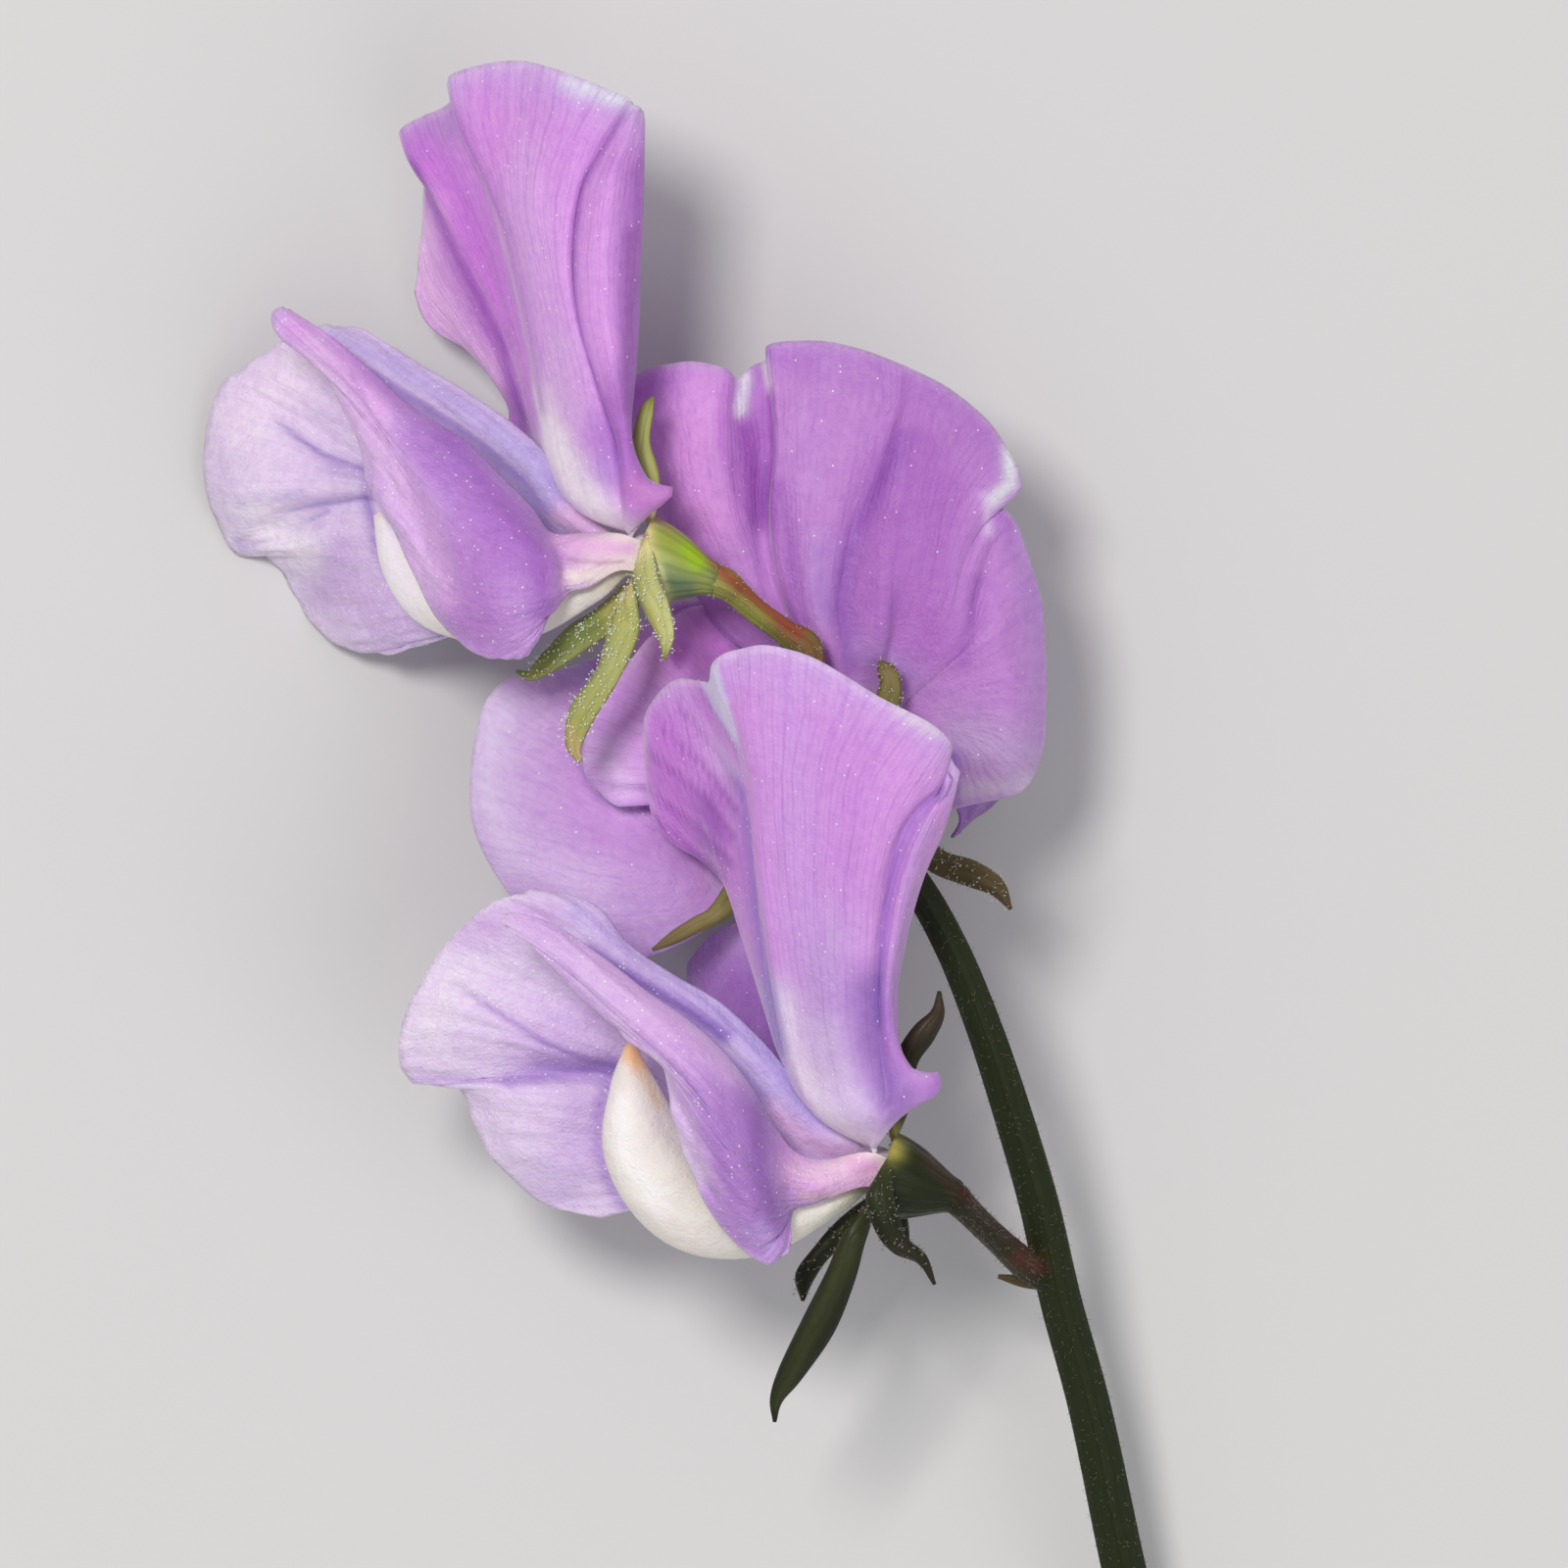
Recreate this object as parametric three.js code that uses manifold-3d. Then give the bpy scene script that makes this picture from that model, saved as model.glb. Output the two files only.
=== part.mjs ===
// A cut flowering stem of sweet pea, laid down, with four open blooms.
// Millimetres, +Z up. In the tables x runs to the right and y to the tip of the stem, seen from
// above, as the stem lies.

import * as THREE from "three";
import Module from "manifold-3d";

const wasm = await Module();
wasm.setup();

// Driving dimensions
const PETAL_THICKNESS = 0.6;
const CALYX_THICKNESS = 0.6;
const CALYX_LENGTH = 4.8;
const TEETH = 5;
// From the base of the cup to its rim, as [distance in front of the mouth, radius]
const CALYX_PROFILE = [[-4.5, 1.05], [-3.6, 1.55], [-2, 2.25], [0, 2.52]];
const CLAW_DEPTH = 1.6;
const CLAW_REACH = 0.9;
const STANDARD_CLAW_RADIUS = 1.5;
const STANDARD_CLAW_HALF_ANGLE = 50;
const THROAT_REACH = 1.9;
const THROAT_RADIUS = 2.6;
const THROAT_HALF_ANGLE = 60;
const WING_CLAW_OFFSET = 1.3;
const WING_CLAW_FLARE = 0.12;
const PETAL_STEPS_ALONG = 2;
const SIDE_STANDARD_STEPS_ACROSS = 2;
const STEM_SIDES = 10;
const STEM_RIDGES = 5;
const STEM_RIDGE_HEIGHT = 0.05;
const PEDICEL_SIDES = 8;
const BRACT_SIDES = 6;
const KEEL_SIDES = 10;
const KEEL_STEPS = 2;
const PEDICEL_STEPS = 2;
const RIGHT_SIZE = 0.93;
const LEFT_SIZE = 0.9;

// The claw of a wing inside the calyx and at its mouth, as [distance in front of the mouth, upper
// edge, width]
const WING_CLAW = [[-CLAW_DEPTH, 0.35, 1.3], [CLAW_REACH, 0.5, 1.6]];
// The root of the keel, as [distance in front of the mouth, height, half height, half width]
const KEEL_ROOT = [[-CLAW_DEPTH, -0.55, 0.6, 0.45], [CLAW_REACH, -0.65, 0.8, 0.6]];

const materials = {
  standard: new THREE.MeshStandardMaterial({ color: 0xcf98de, roughness: 0.6, metalness: 0 }),
  wing: new THREE.MeshStandardMaterial({ color: 0xd3b9e6, roughness: 0.6, metalness: 0 }),
  keel: new THREE.MeshStandardMaterial({ color: 0xece4d8, roughness: 0.6, metalness: 0 }),
  calyx: new THREE.MeshStandardMaterial({ color: 0x8f9c4c, roughness: 0.7, metalness: 0 }),
  stem: new THREE.MeshStandardMaterial({ color: 0x54613a, roughness: 0.7, metalness: 0 }),
};

// The peduncle from its cut end to the joint under the top bloom and on to that bloom's calyx,
// as [x, y, z, radius]
const PEDUNCLE = [
  [28.3, -80.5, 1.35, 1.42], [26.2, -70, 2.7, 1.4], [24, -60, 4.6, 1.4], [21.7, -49.9, 6.8, 1.38],
  [19.6, -40, 9.2, 1.33], [17.7, -33, 11.1, 1.3], [16.3, -26.8, 12.8, 1.25], [14.6, -21, 14.4, 1.2],
  [12.7, -15.3, 15.9, 1.12], [10.6, -10.2, 17.2, 1.05], [8, -5.8, 18.3, 1], [4.6, -2.6, 19, 0.95],
  [2, 0.8, 19.5, 0.92], [1.2, 4.6, 19.8, 0.95], [1.4, 8.4, 20.1, 1.15], [0.1, 9.7, 20.7, 0.82],
  [-1.7, 11, 21.3, 0.78], [-3, 12.2, 22, 0.85], [-3.75, 12.8, 22.5, 1],
];

// Bloom stalks of the front, right and left bloom, each with its root inside the peduncle
const PEDICELS = [
  [[17.1, -32, 11.3, 0.8], [15.6, -30.9, 12.8, 0.95], [14.3, -29.5, 15.3, 0.86], [13.2, -28.3, 17.6, 0.86],
    [12.4, -27.1, 19.5, 0.9], [11.75, -26.55, 20.3, 1]],
  [[4.9, -2.9, 18.9, 0.7], [4.4, -2.2, 20.8, 0.75], [4.6, -1, 22.5, 0.75], [5.6, 0.1, 23.3, 0.8],
    [6.3, 0.5, 22.65, 1]],
  [[3.2, -1.2, 19.2, 0.7], [2.6, -1.9, 20.7, 0.75], [1.4, -2.7, 21.5, 0.75], [0.2, -3.3, 21.1, 0.85],
    [-0.35, -3.7, 20.2, 1]],
];

// Small bract at the root of the front bloom's stalk
const BRACT = [[16.4, -31.9, 11.6, 0.5], [15.2, -31.8, 12, 0.4], [13.7, -31.5, 12.3, 0.15]];

// Side bloom petals. A rib runs from the claw to the margin as [x, y, height over the middle plane].

// Ribs of the standard from the margin that faces up, past the fold, to the lobe that faces down
const TOP_STANDARD = [
  [[-7.3, 18.5, 3.6], [-9.8, 22.9, 4.2], [-9.4, 29.5, 4], [-9.15, 36.5, 4.2], [-9, 42.2, 5.2]],
  [[-10.2, 18.4, 3.9], [-10.9, 23.4, 4.9], [-13.1, 29.6, 5.4], [-13.2, 36.4, 5.9], [-9.7, 43.3, 6.3]],
  [[-11.6, 18.3, 2.8], [-12.6, 23.3, 3.8], [-14.6, 29.6, 4.1], [-15.2, 36.6, 4.6], [-13.2, 45.2, 5.4]],
  [[-12.8, 18.1, 1.4], [-14.1, 23.1, 2], [-15.7, 29.5, 2.2], [-16.9, 36.6, 2.6], [-17.6, 46.2, 3.2]],
  [[-13.4, 18.05, 0.6], [-14.8, 23, 0.9], [-16.2, 29.4, 1], [-17.8, 36.6, 1.1], [-20.4, 45.7, 1.4]],
  [[-13.7, 18.1, -0.3], [-15.2, 23, -0.2], [-16.5, 29.3, -0.3], [-18.3, 36.4, -0.4], [-21.8, 43.6, -0.6]],
  [[-13.6, 18.3, -1.3], [-15.5, 22.9, -1.9], [-17, 29, -2.6], [-19.4, 36, -3.2], [-23, 42.8, -3.4]],
  [[-13.5, 18.6, -2.4], [-16, 22.8, -3.6], [-17.9, 28.7, -5.2], [-21, 35.6, -6], [-24.4, 41.7, -6]],
  [[-13.8, 19, -3.3], [-16.6, 23.1, -5.2], [-19.4, 28.2, -7.2], [-22.1, 34, -8.4], [-23.3, 39.2, -8.2]],
  [[-13.7, 18.9, -4.2], [-17.3, 23.8, -6.6], [-20.8, 28, -8.8], [-23.7, 31.6, -9.8], [-23.2, 36.8, -9.6]],
];

const FRONT_STANDARD = [
  [[9.6, -18.9, 4.2], [7, -14.8, 4.6], [8.1, -8.2, 4.4], [10, -2.4, 4.8], [10.8, 1.5, 5.6]],
  [[6.6, -19.1, 4.2], [5.8, -14.6, 5.3], [6.5, -8.4, 6.1], [7.4, -3.6, 6.5], [10.1, 3.1, 6.8]],
  [[4.8, -19.6, 3], [4.3, -14.4, 4.4], [4.4, -8.2, 5.1], [4.8, -1.8, 5.5], [7.4, 4.9, 6.2]],
  [[3.2, -20.1, 1.6], [2.6, -14.4, 2.7], [2.4, -7.8, 3.2], [2.2, -0.8, 3.6], [3.4, 7.1, 4.8]],
  [[2.2, -20.3, 0.7], [1.1, -14.5, 1.3], [0.4, -7.6, 1.5], [-0.2, 0.2, 1.8], [-0.8, 8.7, 2.8]],
  [[1.7, -20.3, -0.3], [-0.1, -14.6, -0.2], [-1.3, -7.5, -0.2], [-2.4, 0.6, 0], [-3.9, 7.9, 0.8]],
  [[1.5, -20, -1.3], [-0.6, -14.6, -1.9], [-2.2, -7.6, -2.4], [-3.6, 0.8, -2.6], [-5.5, 6.6, -2]],
  [[1.3, -19.6, -2.4], [-1, -14.6, -3.3], [-2.8, -7.8, -4.2], [-5.2, 0.8, -5], [-7.4, 6.2, -4.6]],
  [[1, -19.3, -3.2], [-1.2, -14.3, -4.4], [-3, -8.2, -5.5], [-6.6, -0.8, -7.2], [-8.9, 3.8, -7]],
  [[0.8, -18.9, -4], [-1.2, -14, -5.4], [-2.8, -8.8, -6.6], [-5.6, -4.7, -8.2], [-8.7, -0.9, -8.4]],
];

// Ribs of the wing that faces up, from its upper edge to its lower end
const TOP_WING_NEAR = [
  [[-12.6, 15, 1.6], [-16.8, 17.9, 2.6], [-21.6, 22.5, 2.6], [-27.2, 26.9, 2.2], [-32.2, 30.5, 2]],
  [[-12.8, 14.6, 2.1], [-17, 16.9, 4.2], [-21.8, 20.6, 4.8], [-26.6, 25.2, 4], [-32.7, 29.3, 2.6]],
  [[-12.9, 14.2, 2.4], [-17.2, 15.8, 5.2], [-21.6, 18.6, 6], [-25.6, 22.2, 5.4], [-29.9, 26.9, 3.6]],
  [[-12.9, 13.9, 2.5], [-17.2, 14.7, 5.6], [-21.2, 16.4, 6.4], [-24.6, 19, 5.8], [-27.5, 22.4, 4.2]],
  [[-12.9, 13.6, 2.5], [-17, 13.7, 5.6], [-20.6, 14.6, 6.4], [-23.4, 16, 5.8], [-25.9, 17.7, 4.2]],
  [[-12.8, 13.3, 2.4], [-16.7, 12.6, 5.3], [-19.4, 12.5, 6], [-21.4, 12.6, 5.6], [-23.6, 13, 4.2]],
  [[-12.7, 13, 2.3], [-16.2, 11.6, 4.7], [-18.2, 10.8, 5.2], [-20, 10.2, 4.8], [-21.8, 9.7, 3.8]],
  [[-12.6, 12.75, 2.1], [-15.4, 11.1, 3.9], [-16.8, 9.9, 4.3], [-18, 9, 4.1], [-19.2, 8.3, 3.4]],
  [[-12.5, 12.5, 1.9], [-14.4, 12, 3], [-15.2, 10.7, 3.5], [-15.7, 9.3, 3.5], [-16.4, 8.1, 3.2]],
];

const FRONT_WING_NEAR = [
  [[1.6, -24.4, 1.9], [-1.2, -20.9, 2.8], [-5.2, -15.9, 3.2], [-11.2, -11.6, 3], [-17.9, -8.4, 2.6]],
  [[1.5, -24.8, 2.3], [-1.9, -21.4, 4.2], [-5.8, -17.2, 4.8], [-10.8, -13.3, 4.4], [-17.2, -9.7, 3.4]],
  [[1.4, -25.1, 2.5], [-2.4, -22.2, 5], [-5.8, -18.8, 5.8], [-9.4, -15.4, 5.2], [-13.2, -12.9, 4]],
  [[1.3, -25.4, 2.6], [-2.4, -23.2, 5.4], [-5, -20.6, 6.2], [-7.4, -18.2, 5.6], [-9.9, -16.2, 4.2]],
  [[1.3, -25.7, 2.6], [-2.2, -24.3, 5.4], [-4.2, -22.6, 6.2], [-5.8, -21.2, 5.8], [-7.3, -19.7, 4.6]],
  [[1.3, -26, 2.5], [-1.6, -25.4, 5], [-3.4, -24.9, 5.9], [-4.9, -24.3, 5.6], [-6.4, -23.6, 4.6]],
  [[1.3, -26.2, 2.4], [-0.9, -26.4, 4.4], [-2.4, -26.8, 5.2], [-3.6, -27, 5], [-4.8, -27.1, 4.2]],
  [[1.3, -26.4, 2.2], [-0.3, -27.2, 3.7], [-1.2, -28.1, 4.3], [-2, -28.9, 4.2], [-2.7, -29.7, 3.6]],
  [[1.3, -26.55, 2], [0.3, -27.6, 2.9], [0.2, -28.8, 3.3], [0.1, -29.9, 3.3], [-0.4, -30.8, 3]],
];

// Ribs of the wing that faces down, from its upper edge round its big lobe
const TOP_WING_FAR = [
  [[-12.6, 15.7, -1.2], [-16.4, 21.1, -1.7], [-20.4, 24.7, -2.2], [-24.6, 27.5, -3], [-29.3, 29.2, -4]],
  [[-12.6, 15, -1.7], [-17, 19, -2.7], [-21.6, 22.2, -3.2], [-26.6, 25, -3.8], [-32.2, 28.4, -5]],
  [[-12.7, 14.6, -2], [-17.4, 17.8, -3.6], [-22.4, 20.2, -4.2], [-28.4, 22.8, -4.8], [-35, 26.6, -6]],
  [[-12.8, 14.2, -2.2], [-17.6, 16.6, -4], [-22.8, 18.4, -4.6], [-29.2, 20.4, -5.2], [-37.1, 22.2, -7]],
  [[-12.8, 13.9, -2.3], [-17.6, 15.4, -4], [-22.8, 16.6, -4.8], [-29, 17.4, -5.6], [-36.7, 17.2, -8]],
  [[-12.8, 13.6, -2.3], [-17.4, 14.2, -4], [-22.4, 14.6, -5], [-28, 14.6, -6.6], [-33.8, 14.75, -13]],
  [[-12.7, 13.3, -2.2], [-17, 13.2, -3.8], [-21.4, 12.8, -5], [-26.4, 11.8, -9.6], [-31.2, 11.6, -19.5]],
  [[-12.6, 13, -2.1], [-16.4, 12.3, -3.5], [-20, 11.4, -4.8], [-24, 10, -8.4], [-27.4, 8.5, -15.5]],
  [[-12.5, 12.6, -1.9], [-15.6, 11.7, -3], [-18.2, 10.6, -4.2], [-21, 9.7, -5.4], [-23.6, 9, -7.5]],
];

const FRONT_WING_FAR = [
  [[2.7, -22.6, -1.3], [-1, -17.8, -1.8], [-5.6, -13.4, -2.4], [-10.4, -9.8, -3.2], [-15, -7, -4]],
  [[2.4, -23.9, -1.8], [-1.8, -19.2, -2.8], [-6.8, -14.6, -3.4], [-12.4, -10.9, -3.8], [-18.9, -7.7, -5]],
  [[2, -24.6, -2.1], [-2.4, -20.6, -3.6], [-7.8, -16.2, -4.2], [-14, -13.2, -4.8], [-22, -10.7, -6]],
  [[1.8, -25.1, -2.3], [-2.8, -22, -4], [-8.6, -18.4, -4.8], [-15.4, -16.2, -5.2], [-24.3, -15.6, -7]],
  [[1.7, -25.5, -2.4], [-3, -23, -4], [-8.8, -20, -5], [-15.6, -18.6, -6], [-23.8, -18.7, -8]],
  [[1.6, -25.8, -2.4], [-3, -24, -4], [-8.6, -21.8, -5.2], [-14.4, -20.8, -6.4], [-20.9, -19.7, -8.6]],
  [[1.6, -26.1, -2.3], [-2.8, -25, -3.9], [-8, -23.8, -5.2], [-13, -23.4, -6.4], [-18.3, -23.8, -8.6]],
  [[1.6, -26.3, -2.1], [-2.2, -25.8, -3.7], [-7, -25.2, -5], [-11, -25.6, -6], [-15.6, -26.9, -8]],
  [[1.6, -26.5, -1.9], [-1.4, -26.4, -3.4], [-5, -26.4, -4.6], [-8.4, -26.9, -5.4], [-11.4, -27.6, -7]],
];

const TOP_KEEL = [
  [-12.5, 12.7, 0, 1.2, 1], [-17, 11.6, 0, 2.4, 1.8], [-21.6, 12, 0, 2.4, 1.8],
  [-24.3, 14, 0, 1.5, 1.3], [-26, 17.3, 0, 0.3, 0.3],
];
const FRONT_KEEL = [
  [3, -26.7, 0, 0.9, 1], [-1.6, -27.7, 0, 2.4, 1.9], [-5.8, -26.6, 0, 3.2, 2],
  [-8.7, -23.2, 0, 2.9, 1.8], [-9.6, -19.4, 0, 1.6, 1.2], [-9.75, -16.5, 0, 0.3, 0.3],
];

// Teeth of the calyx, each from its root to its tip
const TOP_TEETH = [
  [[-8.7, 19.4, 0.3, 0.9], [-9.1, 21.8, 0.3, 0.65], [-8.75, 23.8, 0.2, 0.5], [-8.35, 24.7, 0.1, 0.25]],
  [[-8.75, 12.8, 3.3, 1], [-8.1, 11.2, 3.5, 0.95], [-7.5, 9.4, 3.4, 0.6], [-7.6, 7.9, 3.2, 0.25]],
  [[-10.1, 10.1, 2, 1.1], [-11.2, 7, 2.2, 0.9], [-12.8, 4.6, 2, 1.05], [-13.4, 2.5, 1.6, 0.6],
    [-13, 1.4, 1.4, 0.3]],
  [[-11.3, 10.6, -2.1, 1], [-13.2, 9.3, -2.5, 1.1], [-15, 7.8, -2.7, 0.8], [-16.2, 6.95, -2.9, 0.4],
    [-17.1, 7.2, -3, 0.25]],
  [[-8.7, 13, -3.3, 1], [-8, 11.3, -3.7, 0.9], [-7.5, 9.6, -3.9, 0.5], [-7.5, 8.3, -3.9, 0.25]],
];
const FRONT_TEETH = [
  [[7.2, -20.2, -0.3, 1], [7.8, -17.6, -0.2, 0.85], [8.9, -15.9, 0.1, 0.9], [9.8, -14.6, 0.2, 0.5],
    [9.9, -13.2, 0.2, 0.25]],
  [[6.1, -26.3, 3.3, 1], [6.6, -28.1, 3.5, 1], [7.4, -29.4, 3.4, 0.75], [8.8, -30.3, 3.1, 0.4],
    [9.6, -31.9, 2.9, 0.25]],
  [[4.5, -28.9, 1.9, 0.8], [3.6, -31.4, 1.6, 1.1], [2.2, -34.5, 1.1, 1.3], [0.4, -37.6, 0.5, 0.95],
    [-0.5, -39.3, 0.3, 0.45], [-0.6, -40.7, 0.1, 0.25]],
  [[3.9, -28.4, -2.2, 0.8], [2.4, -29.9, -2.4, 0.65], [1.3, -31.5, -2.5, 0.7], [1.2, -33, -2.6, 0.25]],
  [[6.6, -26.4, -3.4, 1], [7.2, -28.2, -3.8, 0.9], [7.9, -29.2, -4, 0.3]],
];

// Ribs of the right bloom's standard, seen from its back, from the lower right round to the left.
// Heights are over the mouth of its calyx.
const RIGHT_STANDARD = [
  [[10.4, 2.2, -1.7], [10, 0.3, -2.3], [9.9, -1.8, -3]],
  [[11.5, 2.4, -1.1], [12, 0.5, -1.8], [12.2, -1.25, -3]],
  [[12.4, 3, -0.6], [14, 1.1, -1.2], [15, -0.7, -3]],
  [[13, 4.4, -0.2], [15, 3.2, -0.8], [16.6, 1.8, -2.8]],
  [[13, 6.8, 0.6], [15.2, 7.4, 0], [16.95, 7.6, -2]],
  [[12.2, 9.4, 0.8], [14.2, 11.8, 0.4], [16.1, 13.6, -1.4]],
  [[11.4, 10.6, 0.8], [12.8, 14.4, 0.6], [13.8, 17.4, -0.6]],
  [[10.6, 11.6, 0.9], [12.4, 16, 0.9], [14.8, 19.2, -0.6]],
  [[9.2, 12.6, 1], [10.8, 18.4, 1.4], [13.4, 22.6, 0]],
  [[7.8, 13.2, 0.8], [8.6, 19.6, 1.4], [10.4, 25.2, 0.2]],
  [[6.2, 13.6, 0.6], [6.4, 20.4, 1], [7, 27.1, -0.2]],
  [[4.2, 13.4, 0.2], [3.4, 20.6, 0.4], [3.2, 28.2, -0.8]],
  [[3, 13.1, -0.4], [1.4, 20.4, -0.6], [0.4, 28.2, -1.8]],
  [[2.2, 12.8, -1.2], [0.2, 20, -2.2], [-1.6, 27.4, -3.4]],
  [[1.6, 12.5, -1.9], [-0.7, 19.6, -3.4], [-2.8, 25.9, -4.6]],
  [[1, 12.2, -1.7], [-1.7, 19.3, -2.8], [-4, 26.7, -3.9]],
  [[0.2, 11.8, -1.2], [-3.2, 18.8, -2], [-6.6, 26.9, -3.4]],
  [[-0.8, 11, -1.4], [-5, 17.4, -2.8], [-10, 25.4, -5]],
  [[-1.4, 9.8, -2.2], [-5, 14.6, -4.2], [-9.4, 20.4, -7]],
];

// Ribs of the left bloom's standard, from its low pale half to the half folded back over it
const LEFT_STANDARD = [
  [[-5.6, -9.7, -1.8], [-10, -11.2, -3.4], [-14.6, -10.2, -5.4]],
  [[-7.2, -8, -1.6], [-12.6, -8.2, -3], [-17.6, -6.8, -5]],
  [[-8.2, -5.8, -1.4], [-14, -4.2, -2.6], [-20, -2.4, -4.6]],
  [[-8.6, -3.2, -1.6], [-14.2, 0, -2.8], [-19.9, 3, -4.8]],
  [[-8.2, -0.8, -2], [-13.2, 3.4, -3.4], [-18.2, 6.2, -5.4]],
  [[-7.2, 1.2, -2.6], [-11, 5.4, -4.2], [-14.2, 7.4, -6]],
  [[-6, 2.4, -3.2], [-8.6, 6.8, -4.6], [-10.6, 9, -6]],
  [[-4.4, 2.8, -3.4], [-5.8, 7.8, -4.2], [-6.8, 11.6, -5]],
  [[-2.8, 2.6, -3], [-2.6, 7.6, -3.2], [-3.4, 11.4, -3.4]],
  [[-1.6, 1.6, -1.7], [-2.4, 6.6, -1.2], [-6, 11.2, -1.6]],
  [[-1.4, 0.8, -0.9], [-4.2, 4.8, -0.2], [-9.4, 8.8, -1]],
  [[-1.4, 0, -0.6], [-5.6, 2.6, 0.2], [-12, 5, -0.8]],
  [[-1.3, -0.7, -0.7], [-6.2, 0.6, 0.2], [-12.8, 1.7, -0.8]],
  [[-1, -1.4, -1], [-5.6, -1, 0], [-11.2, -1.1, -0.5]],
];

// Wing, keel and teeth of a bloom that faces down, as [forward, up, sideways] in its own frame
const HIDDEN_WING = [
  [[3.4, 0.6, 1.8], [8, 3.4, 2.8], [12.5, 5.2, 3.6], [17, 6.4, 3.4]],
  [[3.4, 0.2, 2.1], [8.4, 2, 3.8], [13.2, 3.2, 4.8], [18.2, 3.8, 4.6]],
  [[3.4, -0.2, 2.3], [8.5, 0.5, 4.3], [13.4, 0.8, 5.4], [18.5, 0.8, 5.2]],
  [[3.4, -0.6, 2.3], [8.4, -0.9, 4.3], [13, -1.6, 5.4], [17.4, -2.4, 5.2]],
  [[3.4, -1, 2.2], [8, -2.3, 4], [12, -4, 5], [15, -5.8, 4.8]],
  [[3.4, -1.4, 2], [7.2, -3.4, 3.3], [10, -5.4, 4], [11.6, -7.2, 2.2]],
];
const HIDDEN_KEEL = [
  [3.6, -1.2, 1.3, 1], [7.5, -2.4, 2.2, 1.7], [11.2, -2.4, 2.2, 1.7], [13.6, -0.4, 1.5, 1.2],
  [14.8, 2.2, 0.35, 0.3],
];
const RIGHT_TEETH = [
  [[6.8, 6.2, 1.2, 0.8], [6.55, 7.2, 1.3, 0.7], [6.1, 7.8, 1.2, 0.3]],
  [[9.9, 0.9, 0.5, 0.8], [10, 0, 1.1, 0.6], [9.8, -0.7, 1.5, 0.3]],
  [[8.9, -1.5, 0.2, 0.8], [9, -2.3, 0.8, 0.6], [8.8, -2.9, 1.2, 0.25]],
  [[7.9, -2.6, -1.4, 0.9], [9.6, -4.8, -1.5, 0.9], [11.9, -5.7, -1.6, 1], [13.6, -6.6, -1.7, 0.7],
    [14.5, -8, -1.8, 0.25]],
  [[3.9, 1.3, -0.4, 0.7], [3.7, 0.5, 0, 0.3]],
];
const LEFT_TEETH = [
  [[-2.7, -3.4, 0.4, 0.8], [-2.6, -2.7, 1.4, 0.6], [-2.4, -2.3, 2.1, 0.25]],
  [[-4.3, -8.3, 1, 0.65], [-5.6, -9, 0.9, 0.55], [-7, -9.8, 0.7, 0.45], [-8.4, -10.6, 0.5, 0.25]],
  [[-0.4, -10.2, 0.6, 0.8], [0, -12, 0.2, 0.7], [0.3, -13.6, -0.2, 0.25]],
  [[2.6, -8.4, -0.6, 0.8], [3.6, -9.8, -1, 0.6], [4.2, -11, -1.4, 0.25]],
  [[1.6, -4, -1.4, 0.6], [2.6, -3.8, -1.8, 0.25]],
];

// Splines

function blend(before, from, to, after, share) {
  const square = share * share;
  const cube = square * share;
  return from.map((value, i) => 0.5 * (2 * value
    + (to[i] - before[i]) * share
    + (2 * before[i] - 5 * value + 4 * to[i] - after[i]) * square
    + (3 * value - before[i] - 3 * to[i] + after[i]) * cube));
}

function mirrored(point, centre) {
  return centre.map((value, i) => 2 * value - point[i]);
}

// A smooth curve through the points, with some steps between each two
function spline(points, steps) {
  const last = points.length - 1;
  const line = [mirrored(points[1], points[0]), ...points, mirrored(points[last - 1], points[last])];
  const curve = [];
  for (let i = 1; i <= last; i += 1) {
    for (let step = 0; step < steps; step += 1) {
      curve.push(blend(line[i - 1], line[i], line[i + 1], line[i + 2], step / steps));
    }
  }
  curve.push(points[last]);
  return curve;
}

// A smooth sheet through ribs that fan out from the claw to the margin
function refine(ribs, alongSteps, acrossSteps) {
  const long = ribs.map((rib) => spline(rib, alongSteps).flat());
  return spline(long, acrossSteps).map((flat) => {
    const rib = [];
    for (let i = 0; i < flat.length; i += 3) {
      rib.push(new THREE.Vector3(flat[i], flat[i + 1], flat[i + 2]));
    }
    return rib;
  });
}

// Solids from sheets and rings

function geometry(points, faces) {
  const shape = new THREE.BufferGeometry();
  shape.setAttribute("position", new THREE.Float32BufferAttribute(points.flatMap((p) => p.toArray()), 3));
  shape.setIndex(faces.flat());
  shape.computeVertexNormals();
  return shape;
}

// Gives an open sheet its thickness, with both faces split into triangles alike
function thicken(points, faces, thickness) {
  const normals = points.map(() => new THREE.Vector3());
  const open = new Map();
  for (const [a, b, c] of faces) {
    const normal = points[b].clone().sub(points[a]).cross(points[c].clone().sub(points[a]));
    for (const corner of [a, b, c]) {
      normals[corner].add(normal);
    }
    for (const [from, to] of [[a, b], [b, c], [c, a]]) {
      if (!open.delete(`${to} ${from}`)) {
        open.set(`${from} ${to}`, [from, to]);
      }
    }
  }
  const count = points.length;
  const front = points.map((p, i) => p.clone().addScaledVector(normals[i].normalize(), thickness / 2));
  const back = points.map((p, i) => p.clone().addScaledVector(normals[i], -thickness / 2));
  const solid = [...faces, ...faces.map(([a, b, c]) => [count + a, count + c, count + b])];
  for (const [from, to] of open.values()) {
    solid.push([to, from, count + from], [to, count + from, count + to]);
  }
  return [[...front, ...back], solid];
}

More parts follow.
